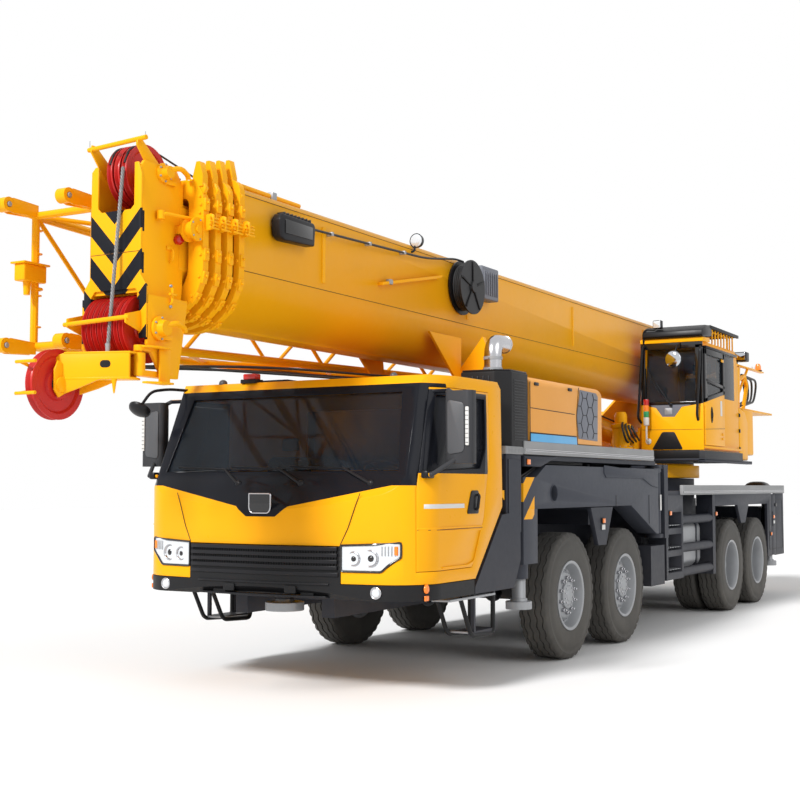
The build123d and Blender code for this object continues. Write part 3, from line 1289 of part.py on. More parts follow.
def crane_cab_glass():
    """The crane cab's panes."""
    inset = CRANE_CAB_WALL / 2 - GLASS_T / 2
    skin = crane_cab_hull(inset) - crane_cab_hull(inset + GLASS_T)
    return [(skin & cutter) for cutter in crane_cab_windows(GLASS_FIT)]


def crane_cab_door():
    """The sliding door outside the cab's wall, with its window and pane."""
    y0 = CRANE_CAB_SKIN_Y + MOVE_GAP
    y1 = y0 + CRANE_DOOR_T
    panel = grown_plate(CRANE_DOOR_OUTLINE, 0.0, y0, y1)
    panel -= grown_plate(CRANE_DOOR_OUTLINE, -CRANE_DOOR_FRAME, y0 - 10, y1 + 10)
    middle = (y0 + y1) / 2
    trim = -CRANE_DOOR_FRAME - GLASS_FIT
    pane = grown_plate(CRANE_DOOR_OUTLINE, trim, middle - GLASS_T / 2, middle + GLASS_T / 2)
    return [panel, pane]


def crane_cab_interior():
    """The operator's seat with its two control stands."""
    y = (CRANE_CAB_Y0 + CRANE_CAB_SKIN_Y) / 2
    x = CRANE_SEAT_X
    z = CRANE_SEAT_Z
    seat = block(x + 60, x + 400, y - 130, y + 130, CRANE_CAB_Z0 + CRANE_CAB_WALL, z)
    seat += block(x, x + 480, y - 230, y + 230, z, z + 110)
    back = [(x - 110, z + 720), (x - 10, z + 720), (x + 110, z + 60), (x, z + 60)]
    seat += side_plate(back, y - 220, y + 220)
    for s in (-1, 1):
        seat += block(x + 120, x + 520, y + s * 225, y + s * 310, z - 40, z + 250)
    return seat


# ================================================================ luffing ram
RAM_RUN_X = RAM_HEAD_X - RAM_FOOT_X
RAM_RUN_Z = RAM_HEAD_Z - RAM_FOOT_Z
RAM_CLOSED = math.hypot(RAM_RUN_X, RAM_RUN_Z)
RAM_ANGLE = math.degrees(math.atan2(RAM_RUN_Z, RAM_RUN_X))


def along_ram(shape):
    """Tilts a shape drawn along X from the origin onto the ram's line."""
    return Pos(RAM_FOOT_X, 0, RAM_FOOT_Z) * Rot(0, -RAM_ANGLE, 0) * shape


def ram_barrel():
    """The ram's barrel with the eye at its foot."""
    barrel = cyl_x(RAM_EYE_R + 15, RAM_BARREL_L, 0, 0, RAM_BORE_R + RAM_WALL)
    barrel += block(0, RAM_EYE_R + 20, -RAM_EYE_HALF, RAM_EYE_HALF, -RAM_EYE_R + 20, RAM_EYE_R - 20)
    barrel += cyl_x(RAM_BARREL_L - 120, RAM_BARREL_L, 0, 0, RAM_BORE_R + RAM_WALL + 16)
    barrel -= cyl_x(RAM_EYE_R + 80, RAM_BARREL_L + 10, 0, 0, RAM_BORE_R)
    eye = cyl_y(0, -RAM_EYE_HALF, RAM_EYE_HALF, 0, RAM_EYE_R - 2)
    barrel = barrel + eye
    barrel -= cyl_y(0, -RAM_EYE_R * 2, RAM_EYE_R * 2, 0, RAM_PIN_R + FOOT_FIT)
    return along_ram(barrel)


def ram_rod():
    """The ram's rod with the eye at the boom."""
    rod = cyl_x(RAM_CLOSED - RAM_ROD_IN, RAM_CLOSED, 0, 0, RAM_ROD_R)
    rod += cyl_y(RAM_CLOSED, -ROD_EYE_HALF, ROD_EYE_HALF, 0, RAM_EYE_R - 2)
    return along_ram(rod)


# ================================================================ boom
def boom_profile(index, grow):
    """A section's outline: a box with a deep round belly; grow draws it out."""
    step = BOOM_WALL + BOOM_GAP
    half = BOOM_HALF - index * step + grow
    top = BOOM_TOP_Z - index * step + grow
    bottom = BOOM_BOTTOM_Z + index * step - grow
    belly = BOOM_BELLY_R - index * step + grow
    shoulder = max(BOOM_SHOULDER_R + grow, 20)
    middle = (top + bottom) / 2
    sketch = Pos(0, middle) * Rectangle(2 * half, top - bottom)
    low = sketch.vertices().sort_by(Axis.Y)[:2]
    sketch = fillet(low, belly)
    high = sketch.vertices().sort_by(Axis.Y)[-2:]
    return fillet(high, shoulder)


def boom_slab(index, grow, x0, x1):
    """A section's outline as a block along X."""
    plane = Plane(origin=(x0, 0, 0), x_dir=(0, 1, 0), z_dir=(1, 0, 0))
    return extrude(plane * boom_profile(index, grow), amount=x1 - x0)


def section_front(index):
    """Where a section's tube ends when the boom is in."""
    return BOOM_FRONT_X + index * COLLAR_PITCH


def boom_tube(index):
    """A section's tube with the collar at its front."""
    front = section_front(index)
    length = BOOM_STROKE + BOOM_LAP
    rear = BOOM_REAR_X if index == 0 else front - length
    tube = boom_slab(index, 0, rear, front)
    if index < SECTION_COUNT:
        rim = COLLAR_RIM + index * COLLAR_RIM_STEP
        tube += boom_slab(index, rim, front - 5, front + COLLAR_T)
        foot_z = BOOM_TOP_Z - index * (BOOM_WALL + BOOM_GAP) + rim - 60
        tip_z = FIN_TOP_Z - index * FIN_STEP
        for s in (-1, 1):
            fin = [(s * FIN_Y[0], foot_z), (s * FIN_Y[1], foot_z), (s * FIN_Y[1], foot_z + 80)]
            fin += [(s * (FIN_Y[1] - 30), tip_z), (s * (FIN_Y[0] + 30), tip_z), (s * FIN_Y[0], foot_z + 80)]
            tube += cross_plate(fin, front - 5, front + COLLAR_T)
    return tube - boom_slab(index, -BOOM_WALL, rear - 10, front + COLLAR_T + 10)


def boom_base():
    """The base section with its foot pin and the lugs for the ram."""
    parts = [boom_tube(0)]
    for s in (-1, 1):
        plate_y = (s * FOOT_PLATE_Y[0], s * FOOT_PLATE_Y[1])
        foot = [
            (FOOT_X, FOOT_Z - FOOT_BOSS_R),
            (BOOM_REAR_X, BOOM_BOTTOM_Z + BOOM_BELLY_R),
            (FOOT_PLATE_X1, BOOM_BOTTOM_Z + BOOM_BELLY_R + 60),
            (FOOT_PLATE_X1, BOOM_TOP_Z - 160),
            (BOOM_REAR_X, BOOM_TOP_Z - 80),
            (FOOT_X, FOOT_Z + FOOT_BOSS_R),
        ]
        parts.append(side_plate(foot, *plate_y))
        parts.append(cyl_y(FOOT_X, *plate_y, FOOT_Z, FOOT_BOSS_R))
        lug_y = (s * RAM_HEAD_LUG_Y[0], s * RAM_HEAD_LUG_Y[1])
        lug = [
            (RAM_HEAD_X - 330, BOOM_BOTTOM_Z + 40),
            (RAM_HEAD_X - 90, RAM_HEAD_Z - 60),
            (RAM_HEAD_X + 90, RAM_HEAD_Z - 60),
            (RAM_HEAD_X + 330, BOOM_BOTTOM_Z + 40),
        ]
        parts.append(side_plate(lug, *lug_y) - boom_slab(0, -BOOM_WALL / 2, RAM_HEAD_X - 400, RAM_HEAD_X + 400))
        parts.append(cyl_y(RAM_HEAD_X, *lug_y, RAM_HEAD_Z, RAM_EYE_R - 10))
        parts.append(cyl_y(RAM_HEAD_X, lug_y[1], lug_y[1] + s * 40, RAM_HEAD_Z, RAM_PIN_R))
    reach = CHEEK_Y + CHEEK_T / 2 + 20
    parts.append(cyl_y(FOOT_X, -reach, reach, FOOT_Z, FOOT_PIN_R))
    return fuse(parts)


def boom_section(index):
    """A telescopic section; the last one ends in the boom's head."""
    if index < SECTION_COUNT:
        return boom_tube(index)
    parts = [boom_tube(index)]
    for s in (-1, 1):
        parts.append(side_plate(HEAD_OUTLINE, s * (HEAD_HALF - HEAD_PLATE_T), s * HEAD_HALF))
        flare_y = s * HEAD_FLARE_HALF
        parts.append(side_plate(HEAD_FLARE_OUTLINE, flare_y - s * HEAD_PLATE_T, flare_y))
        shelf_x = (HEAD_OUTLINE[6][0] + 10, HEAD_FRONT_X)
        parts.append(block(*shelf_x, s * (HEAD_HALF - HEAD_PLATE_T + 5), flare_y, 2930, 2960))
    parts.append(block(HEAD_FRONT_X - HEAD_PLATE_T, HEAD_FRONT_X, -HEAD_HALF, HEAD_HALF, *HEAD_CROSS_Z))
    parts.append(cyl_y(TOP_SHEAVE_X, -HEAD_HALF - 15, HEAD_HALF + 15, TOP_SHEAVE_Z, SHEAVE_BORE_R))
    parts.append(cyl_y(LOW_SHEAVE_X, -HEAD_FLARE_HALF - 15, HEAD_FLARE_HALF + 15, LOW_SHEAVE_Z, SHEAVE_BORE_R))
    for z0, z1, x0 in (
        (NOSE_BARREL_Z[1] + MOVE_GAP, NOSE_BARREL_Z[1] + MOVE_GAP + 40, 4860),
        (NOSE_BARREL_Z[0] - MOVE_GAP - 40, NOSE_BARREL_Z[0] - MOVE_GAP, 4700),
    ):
        y = (NOSE_HINGE_Y - NOSE_HINGE_R, NOSE_HINGE_Y + NOSE_HINGE_R)
        parts.append(block(x0, NOSE_HINGE_X, *y, z0, z1))
        parts.append(cyl_z(NOSE_HINGE_X, NOSE_HINGE_Y, z0, z1, NOSE_HINGE_R))
    pin_z = (NOSE_BARREL_Z[0] - MOVE_GAP - 40, NOSE_BARREL_Z[1] + MOVE_GAP + 40)
    parts.append(cyl_z(NOSE_HINGE_X, NOSE_HINGE_Y, *pin_z, NOSE_PIN_R))
    return fuse(parts)


def sheave_set(x, y, z, r, layout):
    """Grooved rope wheels on one hub, bored for their axle."""
    count, pitch, width = layout
    first = y - pitch * (count - 1) / 2
    hub_half = pitch * (count - 1) / 2 + width / 2 + 4
    parts = [cyl_y(x, y - hub_half, y + hub_half, z, SHEAVE_HUB_R)]
    groove = width * 0.34
    for i in range(count):
        middle = first + i * pitch
        wheel = cyl_y(x, middle - width / 2, middle + width / 2, z, r)
        ring = Pos(x, middle, z) * Rot(90, 0, 0) * Torus(r + groove * 0.25, groove)
        parts.append(wheel - ring)
    return fuse(parts) - cyl_y(x, y - hub_half - 10, y + hub_half + 10, z, SHEAVE_BORE_R + AXLE_FIT)


def nose_arm():
    """The folding arm ahead of the head, that carries the runner sheave."""
    arm = cyl_z(NOSE_HINGE_X, NOSE_HINGE_Y, *NOSE_BARREL_Z, NOSE_HINGE_R)
    boss_y = -60.0
    run = Vector(NOSE_SHEAVE_X - NOSE_HINGE_X, boss_y - NOSE_HINGE_Y, 0).normalized()
    side = Vector(-run.Y, run.X, 0) * 30
    start = Vector(NOSE_HINGE_X, NOSE_HINGE_Y, 0)
    end = Vector(NOSE_SHEAVE_X, boss_y, 0)
    web = start + run * 90
    for point, z0 in ((start, NOSE_BARREL_Z[0]), (web, NOSE_ARM_Z0)):
        corners = [point + side, end + side, end - side, point - side]
        arm += plan_plate([(c.X, c.Y) for c in corners], z0, NOSE_BARREL_Z[1])
    arm += cyl_y(NOSE_SHEAVE_X, NOSE_SHEAVE_Y + 45, boss_y + 40, NOSE_SHEAVE_Z, SHEAVE_HUB_R)
    arm += cyl_y(NOSE_SHEAVE_X, NOSE_SHEAVE_Y - 50, boss_y, NOSE_SHEAVE_Z, SHEAVE_BORE_R)
    return arm - cyl_z(NOSE_HINGE_X, NOSE_HINGE_Y, NOSE_BARREL_Z[0] - 90, NOSE_BARREL_Z[1] + 90, NOSE_PIN_R + FOOT_FIT)


def fly_jib():
    """A lattice jib stowed along the boom's right side, with its fork ahead and its brackets."""
    def chord_z(level, x):
        share = (JIB_ROOT_X - x) / (JIB_ROOT_X - JIB_TIP_X)
        return JIB_ROOT_Z[level] + (JIB_TIP_Z[level] - JIB_ROOT_Z[level]) * share

    stations = [JIB_ROOT_X + (JIB_TIP_X - JIB_ROOT_X) * i / JIB_BAYS for i in range(JIB_BAYS + 1)]
    parts = []
    for y in (JIB_Y0, JIB_Y1):
        for level in (0, 1):
            start = (JIB_ROOT_X, y, JIB_ROOT_Z[level])
            end = (JIB_TIP_X, y, JIB_TIP_Z[level])
            parts.append(strut(start, end, JIB_TUBE_R))
            fork = (JIB_FORK_X - 0.6 * JIB_EYE_R, y, JIB_FORK_Z[level])
            parts.append(strut(start, fork, (JIB_TUBE_R + JIB_POST_R) / 2))
        for x in (JIB_ROOT_X, JIB_TIP_X):
            parts.append(cyl_z(x, y, chord_z(0, x), chord_z(1, x), JIB_POST_R))
        for i in range(JIB_BAYS):
            a = stations[i]
            b = stations[i + 1]
            low, high = (0, 1) if i % 2 else (1, 0)
            parts.append(strut((a, y, chord_z(low, a)), (b, y, chord_z(high, b)), JIB_BRACE_R))
    for level in (0, 1):
        for x in (JIB_ROOT_X, JIB_TIP_X):
            parts.append(cyl_y(x, JIB_Y0, JIB_Y1, chord_z(level, x), JIB_POST_R))
        for i in range(JIB_BAYS):
            a = stations[i]
            b = stations[i + 1]
            ya, yb = (JIB_Y0, JIB_Y1) if i % 2 else (JIB_Y1, JIB_Y0)
            parts.append(strut((a, ya, chord_z(level, a)), (b, yb, chord_z(level, b)), JIB_BRACE_R))
    for x in JIB_BRACKETS_X:
        z = chord_z(1, x)
        parts.append(block(x - 70, x + 70, JIB_Y0, -BOOM_HALF, z - 25, z + 25))
    eyes = []
    for y in (JIB_Y0, JIB_Y1):
        for z in JIB_FORK_Z:
            eyes.append(cyl_y(JIB_FORK_X, y - JIB_EYE_HALF, y + JIB_EYE_HALF, z, JIB_EYE_R))
    pins = []
    for z in JIB_FORK_Z:
        pins.append(cyl_y(JIB_FORK_X, JIB_Y1 - 2 * JIB_EYE_HALF, JIB_Y0 + 2 * JIB_EYE_HALF, z, JIB_PIN_R))
    return [fuse(parts) - eyes] + [eye - pins for eye in eyes]


# ================================================================ the pieces
def pieces():
    """Every node of the crane with the call that builds it."""
    table = [
        ("chassis_frame", chassis_frame),
        ("axles", axles),
        ("deck_plates", deck_plates),
        ("mudguards", mudguards),
        ("side_guards", side_guards),
        ("fuel_tanks", fuel_tanks),
        ("deck_rails", deck_rails),
        ("engine_block", engine_block),
        ("engine_hood", engine_hood),
        ("intake_columns", intake_column),
        ("exhaust_pipe", exhaust_pipe),
        ("boom_rest", boom_rest),
        ("cab_shell", cab_shell),
        ("cab_glass", cab_glass),
        ("cab_bumper", cab_bumper),
        ("cab_lamps", cab_lamps),
        ("cab_interior", cab_interior),
        ("nose_jack", nose_jack),
        ("upper_frame", upper_frame),
        ("counterweight", counterweight),
        ("main_winch_drum", lambda: winch_drum(MAIN_WINCH_X)),
        ("aux_winch_drum", lambda: winch_drum(AUX_WINCH_X)),
        ("crane_cab_shell", crane_cab_shell),
        ("crane_cab_glass", crane_cab_glass),
        ("crane_cab_door", crane_cab_door),
        ("crane_cab_interior", crane_cab_interior),
        ("ram_barrel", ram_barrel),
        ("ram_rod", ram_rod),
        ("boom_base", boom_base),
        ("nose_arm", nose_arm),
        ("fly_jib", fly_jib),
        ("upper_sheaves", lambda: sheave_set(TOP_SHEAVE_X, 0, TOP_SHEAVE_Z, TOP_SHEAVE_R, TOP_SHEAVES)),
        ("lower_sheaves", lambda: sheave_set(LOW_SHEAVE_X, 0, LOW_SHEAVE_Z, LOW_SHEAVE_R, LOW_SHEAVES)),
        ("nose_sheave", lambda: sheave_set(NOSE_SHEAVE_X, NOSE_SHEAVE_Y, NOSE_SHEAVE_Z, NOSE_SHEAVE_R, NOSE_SHEAVES)),
    ]
    for index in range(1, SECTION_COUNT + 1):
        table.append((f"boom_section_{index}", lambda i=index: boom_section(i)))
    for side in ("left", "right"):
        table.append((f"cab_door_{side}", lambda d=side: cab_door(d)))
        table.append((f"swing_arm_{side}", lambda d=side: swing_arm(d)))
        table.append((f"front_jack_{side}", lambda d=side: front_jack(d)))
        table.append((f"rear_beam_{side}", lambda d=side: rear_beam(d)))
        table.append((f"rear_jack_{side}", lambda d=side: rear_jack(d)))
        for number, x in enumerate(AXLES_X, start=1):
            if number <= 2:
                table.append((f"knuckle_{number}_{side}", lambda a=x, d=side: knuckle(a, d)))
                table.append((f"wheel_{number}_{side}", lambda a=x, d=side: front_wheel(a, d)))
            else:
                table.append((f"wheel_{number}_{side}", lambda a=x, d=side: rear_wheel(a, d)))
    return table


def place(made):
    """Moves a finished piece from the first axle's origin to the crane's own."""
    if not isinstance(made, (list, tuple)):
        made = [made]
    solids = []
    for item in made:
        solids.extend(item.solids())
    moved = [Pos(AXLE_1_X, 0, 0) * solid for solid in solids]
    return moved[0] if len(moved) == 1 else Compound(moved)


def main():
    """Writes one STEP file for each node."""
    os.makedirs("parts", exist_ok=True)
    for name, make in pieces():
        export_step(place(make()), f"parts/{name}.step")


if __name__ == "__main__":
    main()
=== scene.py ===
"""Looks of a four-axle mobile crane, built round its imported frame."""

import json
import logging
import math
from dataclasses import dataclass, field
from enum import Enum
from typing import Sequence

import bmesh
import bpy
from mathutils import Matrix, Vector

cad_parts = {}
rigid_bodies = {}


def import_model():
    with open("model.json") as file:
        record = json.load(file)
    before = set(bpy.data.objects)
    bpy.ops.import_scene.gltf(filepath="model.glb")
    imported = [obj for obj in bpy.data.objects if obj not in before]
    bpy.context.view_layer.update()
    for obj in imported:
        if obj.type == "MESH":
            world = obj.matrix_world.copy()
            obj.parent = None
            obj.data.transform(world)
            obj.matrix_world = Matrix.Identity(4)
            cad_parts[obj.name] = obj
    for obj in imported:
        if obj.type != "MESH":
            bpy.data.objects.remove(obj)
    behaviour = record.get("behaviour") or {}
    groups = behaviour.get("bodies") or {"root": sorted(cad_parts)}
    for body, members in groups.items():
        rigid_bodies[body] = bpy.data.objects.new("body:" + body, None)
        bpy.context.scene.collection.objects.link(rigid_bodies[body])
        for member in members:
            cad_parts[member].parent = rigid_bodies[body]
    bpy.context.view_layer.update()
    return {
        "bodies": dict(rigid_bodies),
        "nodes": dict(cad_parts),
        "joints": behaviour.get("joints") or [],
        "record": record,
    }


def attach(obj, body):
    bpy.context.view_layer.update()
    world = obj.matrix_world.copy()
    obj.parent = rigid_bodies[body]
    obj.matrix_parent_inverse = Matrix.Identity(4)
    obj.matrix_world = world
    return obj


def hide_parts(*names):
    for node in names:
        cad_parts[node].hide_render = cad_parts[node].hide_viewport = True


LOG = logging.getLogger("mobile_crane")
Colour = tuple[float, float, float]
Point = tuple[float, float, float]
Spot = Sequence[float]
SMOOTH_ANGLE = math.radians(34)
MM_PER_M = 1000
COAT_ROUGHNESS = 0.12
GRAIN_DEPTH = 0.002
DUST: Colour = (0.34, 0.3, 0.25)
AXLE_1_X = 1.715  # the first axle in the frame: every x in this file is measured from it


class Side(Enum):
    """The two sides of the crane, with the sign of their Y."""

    LEFT = 1
    RIGHT = -1

    @property
    def word(self) -> str:
        """The side's name as the frame's bodies spell it."""
        return self.name.lower()


class Pattern(Enum):
    """How a zone of another colour is broken up."""

    PLAIN = "plain"
    CHEVRON = "chevron"
    SLANT = "slant"
    VEE = "vee"


@dataclass(frozen=True)
class Zone:
    """A box, measured from the first axle, inside which a finish shows another colour."""

    low: Point
    high: Point
    colour: Colour
    roughness: float = 0.4
    pattern: Pattern = Pattern.PLAIN
    pitch: float = 0.2
    base: float = 0.0
    slope: float = 0.0
    middle: float = 0.0
    both_sides: bool = False


@dataclass(frozen=True)
class Finish:
    """A surface finish that becomes one procedural material."""

    name: str
    colour: Colour
    roughness: float = 0.4
    metallic: float = 0.0
    coat: float = 0.0
    specular: float = 0.5
    cloud: float = 0.08
    cloud_scale: float = 2.5
    grain: float = 0.05
    grain_scale: float = 90.0
    dust: float = 0.0
    dust_top: float = 1.2
    alpha: float = 1.0
    transmission: float = 0.0
    glow: float = 0.0
    zones: tuple[Zone, ...] = ()
    slot: str = "black_trim"

    def material(self) -> bpy.types.Material:
        """Returns the finish's material, made the first time it is asked for."""
        made = bpy.data.materials.get(f"{self.name}_finish")
        return made if made else NodeWork(self).build()


class NodeWork:
    """Builds the node tree of one finish."""

    def __init__(self, finish: Finish) -> None:
        """Starts an empty tree.

        Args:
            finish: The finish that the tree is for.
        """
        self.finish = finish
        self.material = bpy.data.materials.new(f"{finish.name}_finish")
        self.material.use_nodes = True
        self.tree = self.material.node_tree
        self.tree.nodes.clear()
        self.coords = self.tree.nodes.new("ShaderNodeTexCoord").outputs["Object"]
        self.split = None

    def join(self, source: object, target: bpy.types.NodeSocket) -> None:
        """Links a socket or writes a plain value to an input.

        Args:
            source: An output socket, a number or a colour.
            target: The input that takes it.
        """
        if isinstance(source, bpy.types.NodeSocket):
            self.tree.links.new(source, target)
        else:
            target.default_value = source

    def node(self, kind: str, output: object = 0, **inputs: object) -> bpy.types.NodeSocket:
        """Adds a node.

        Args:
            kind: Its type, without the word that all shader nodes start with.
            output: The output that is wanted, by number or name.
            inputs: What goes into it, by input name, with _ for a space.

        Returns:
            The wanted output.
        """
        made = self.tree.nodes.new(f"ShaderNode{kind}")
        for name, value in inputs.items():
            self.join(value, made.inputs[name.replace("_", " ")])
        return made.outputs[output]

    def math(self, operation: str, *values: object) -> bpy.types.NodeSocket:
        """Adds a Math node and returns its output."""
        node = self.tree.nodes.new("ShaderNodeMath")
        node.operation = operation
        for value, target in zip(values, node.inputs):
            self.join(value, target)
        return node.outputs[0]

    def noise(self, scale: float, detail: float = 3.0) -> bpy.types.NodeSocket:
        """Adds a Noise texture on object coordinates and returns its value."""
        return self.node("TexNoise", "Fac", Vector=self.coords, Scale=scale, Detail=detail)

    def mix(self, factor: object, first: object, second: object) -> bpy.types.NodeSocket:
        """Mixes two colours.

        Args:
            factor: How much of the second colour shows.
            first: The first colour.
            second: The second colour.

        Returns:
            The mixed colour.
        """
        node = self.tree.nodes.new("ShaderNodeMix")
        node.data_type = "RGBA"
        self.join(factor, node.inputs["Factor"])
        self.join(first, node.inputs["A"])
        self.join(second, node.inputs["B"])
        return node.outputs["Result"]

    def axis(self, index: int) -> bpy.types.NodeSocket:
        """Returns one object coordinate, 0, 1 or 2 for x, y or z."""
        if self.split is None:
            self.split = self.tree.nodes.new("ShaderNodeSeparateXYZ")
            self.join(self.coords, self.split.inputs[0])
        return self.split.outputs[index]

    def inside(self, zone: Zone) -> bpy.types.NodeSocket:
        """Builds the mask of a zone.

        Args:
            zone: The zone.

        Returns:
            1 inside the zone's painted part and 0 outside.
        """
        mask = None
        for index in range(3):
            low, high = zone.low[index], zone.high[index]
            value = self.axis(index)
            if index == 0:
                low, high = low + AXLE_1_X, high + AXLE_1_X
            if index == 1 and zone.both_sides:
                value = self.math("ABSOLUTE", value)
            above = self.math("GREATER_THAN", value, low)
            below = self.math("LESS_THAN", value, high)
            here = self.math("MULTIPLY", above, below)
            mask = here if mask is None else self.math("MULTIPLY", mask, here)
        if zone.pattern is Pattern.PLAIN:
            return mask
        if zone.pattern is Pattern.SLANT:
            across = self.math("SUBTRACT", self.axis(0), zone.middle + AXLE_1_X)
        else:
            across = self.math("ABSOLUTE", self.math("SUBTRACT", self.axis(1), zone.middle))
        if zone.pattern is Pattern.VEE:
            edge = self.math("MULTIPLY_ADD", across, zone.slope, zone.base)
            return self.math("MULTIPLY", mask, self.math("GREATER_THAN", self.axis(2), edge))
        run = self.math("SUBTRACT", self.axis(2), self.math("MULTIPLY_ADD", across, zone.slope, zone.base))
        band = self.math("FRACT", self.math("DIVIDE", run, zone.pitch))
        return self.math("MULTIPLY", mask, self.math("LESS_THAN", band, 0.5))

    def build(self) -> bpy.types.Material:
        """Builds the whole tree.

        Returns:
            The finished material.
        """
        finish = self.finish
        shader = self.tree.nodes.new("ShaderNodeBsdfPrincipled")
        output = self.tree.nodes.new("ShaderNodeOutputMaterial")
        self.join(shader.outputs[0], output.inputs["Surface"])
        dark = tuple(channel * (1 - finish.cloud) for channel in finish.colour) + (1.0,)
        light = tuple(min(1.0, channel * (1 + finish.cloud)) for channel in finish.colour) + (1.0,)
        colour = self.mix(self.noise(finish.cloud_scale), dark, light)
        rough = self.math("MULTIPLY_ADD", self.noise(finish.grain_scale * 0.2, 2.0), 0.12, finish.roughness - 0.06)
        for zone in finish.zones:
            mask = self.inside(zone)
            colour = self.mix(mask, colour, zone.colour + (1.0,))
            step = self.math("MULTIPLY", mask, zone.roughness - finish.roughness)
            rough = self.math("ADD", rough, step)
        if finish.dust:
            fall = self.math("SUBTRACT", 1.0, self.math("DIVIDE", self.axis(2), finish.dust_top))
            speck = self.math("MULTIPLY", self.math("MAXIMUM", fall, 0.0), self.noise(6.0, 5.0))
            colour = self.mix(self.math("MULTIPLY", speck, finish.dust), colour, DUST + (1.0,))
        settings = {"Base Color": colour, "Roughness": rough, "Metallic": finish.metallic,
            "Specular IOR Level": finish.specular, "Coat Weight": finish.coat, "Coat Roughness": COAT_ROUGHNESS,
            "Alpha": finish.alpha, "Transmission Weight": finish.transmission}
        if finish.glow:
            settings |= {"Emission Color": finish.colour + (1.0,), "Emission Strength": finish.glow}
        if finish.grain:
            settings["Normal"] = self.node("Bump", Strength=finish.grain, Distance=GRAIN_DEPTH,
                Height=self.noise(finish.grain_scale))
        for name, value in settings.items():
            self.join(value, shader.inputs[name])
        return self.material


def paint(name: str, colour: Colour, roughness: float, **more: object) -> Finish:
    """Returns one of the crane's yellow paints, which differ from a plain finish as given in more."""
    return Finish(name, colour, roughness, coat=0.02, slot="crane_yellow", **more)


YELLOW: Colour = (0.9, 0.4, 0.006)
BLACK: Colour = (0.01, 0.011, 0.015)
DARK_GREY: Colour = (0.045, 0.046, 0.05)
HEAD_CHEVRONS = Zone((4.93, -0.3, 2.65), (5.1, 0.3, 3.56), BLACK, pattern=Pattern.CHEVRON, pitch=0.29, base=3.175,
    slope=1.04, middle=0.007)
SCREEN_SURROUND = Zone((2.55, -1.41, 1.66), (3.4, 1.41, 2.475), BLACK, 0.14)
PANEL_UNDER_SCREEN = Zone((2.9, -1.33, 1.4), (3.4, 1.33, 1.7), BLACK, 0.14, Pattern.VEE, slope=0.19, base=1.445)
BADGE_RECESS = Zone((2.9, -0.26, 1.412), (3.4, 0.26, 1.6), BLACK, 0.14, Pattern.VEE, slope=0.73, base=1.308)
WINDOW_SURROUND = Zone((1.915, 1.0, 1.755), (3.1, 1.4, 2.425), BLACK, 0.2, both_sides=True)
MIRROR_CASES = Zone((2.5, 1.392, 1.6), (3.1, 1.8, 2.6), DARK_GREY, 0.45, both_sides=True)
ARM_HAZARD = Zone((0.95, 1.3, 1.36), (1.3, 1.42, 1.745), YELLOW, 0.32, Pattern.SLANT, pitch=0.33, base=1.235,
    slope=-0.9, middle=1.135, both_sides=True)
TAIL_HAZARD = Zone((-9.1, -1.4, 0.55), (-8.9, 1.4, 0.95), (0.7, 0.02, 0.012), 0.3, Pattern.CHEVRON, pitch=0.2,
    slope=0.9)
CAB_PILLARS = Zone((-4.46, 0.5, 2.7), (-4.3, 1.42, 3.515), BLACK, 0.15)
CAB_SIDE_SURROUND = Zone((-5.99, 1.28, 2.83), (-4.4, 1.42, 3.46), BLACK, 0.2)
CAB_FOOT = Zone((-6.3, 0.5, 2.0), (-4.3, 1.42, 2.128), BLACK, 0.4)
BOOM_YELLOW: Colour = (0.94, 0.43, 0.006)
WALKWAY = Zone((-6.75, 0.5, 1.95), (-4.36, 1.4, 2.112), DARK_GREY, 0.5)
CRANE_CAB_YELLOW = paint("crane_cab_yellow", YELLOW, 0.33, specular=0.08, cloud=0.02, grain=0.006,
    zones=(CAB_PILLARS, CAB_SIDE_SURROUND, CAB_FOOT))
CRANE_YELLOW = paint("crane_yellow", BOOM_YELLOW, 0.33, specular=0.1, cloud=0.04, grain=0.012)
CAB_YELLOW = paint("cab_yellow", YELLOW, 0.3, specular=0.1, cloud=0.02, grain=0.006,
    zones=(SCREEN_SURROUND, PANEL_UNDER_SCREEN, BADGE_RECESS))
DOOR_YELLOW = paint("door_yellow", YELLOW, 0.3, specular=0.1, cloud=0.02, grain=0.006,
    zones=(WINDOW_SURROUND, MIRROR_CASES))
HEAD_YELLOW = paint("head_yellow", BOOM_YELLOW, 0.33, specular=0.1, cloud=0.04, grain=0.012, zones=(HEAD_CHEVRONS,))
FRAME_YELLOW = paint("frame_yellow", BOOM_YELLOW, 0.36, specular=0.1, cloud=0.05, grain=0.02, zones=(WALKWAY,))
# The crane's yellow darkened towards orange for the engine hood: painted shade, because the hood's left side faces
# away from the key light.
HOOD_SHADED_YELLOW = Finish("hood_tan", (0.76, 0.335, 0.055), 0.42, specular=0.3, cloud=0.05, grain=0.02, slot="crane_yellow")
CARRIER_GREY = Finish("carrier_grey", (0.03, 0.033, 0.044), 0.5, specular=0.16, dust=0.16, dust_top=1.4,
    slot="carrier_grey")
ARM_GREY = Finish("arm_grey", (0.048, 0.053, 0.068), 0.5, specular=0.16, cloud=0.12, dust=0.1, dust_top=1.6,
    slot="carrier_grey", zones=(ARM_HAZARD,))
PANEL_GREY = Finish("panel_grey", (0.17, 0.18, 0.21), 0.5, specular=0.3, grain=0.2, grain_scale=500,
    slot="carrier_grey")
TAIL_STRIPES = Finish("tail_stripes", (0.66, 0.66, 0.64), 0.35, specular=0.3, grain=0.1, slot="carrier_grey",
    zones=(TAIL_HAZARD,))
BRIGHT_METAL = Finish("bright_metal", (0.34, 0.35, 0.365), 0.42, metallic=0.35, specular=0.3, cloud=0.12,
    grain=0.08, slot="bright_metal")
RAIL_METAL = Finish("rail_metal", (0.3, 0.305, 0.31), 0.55, metallic=0.1, specular=0.1, cloud=0.14, grain=0.1,
    slot="bright_metal")
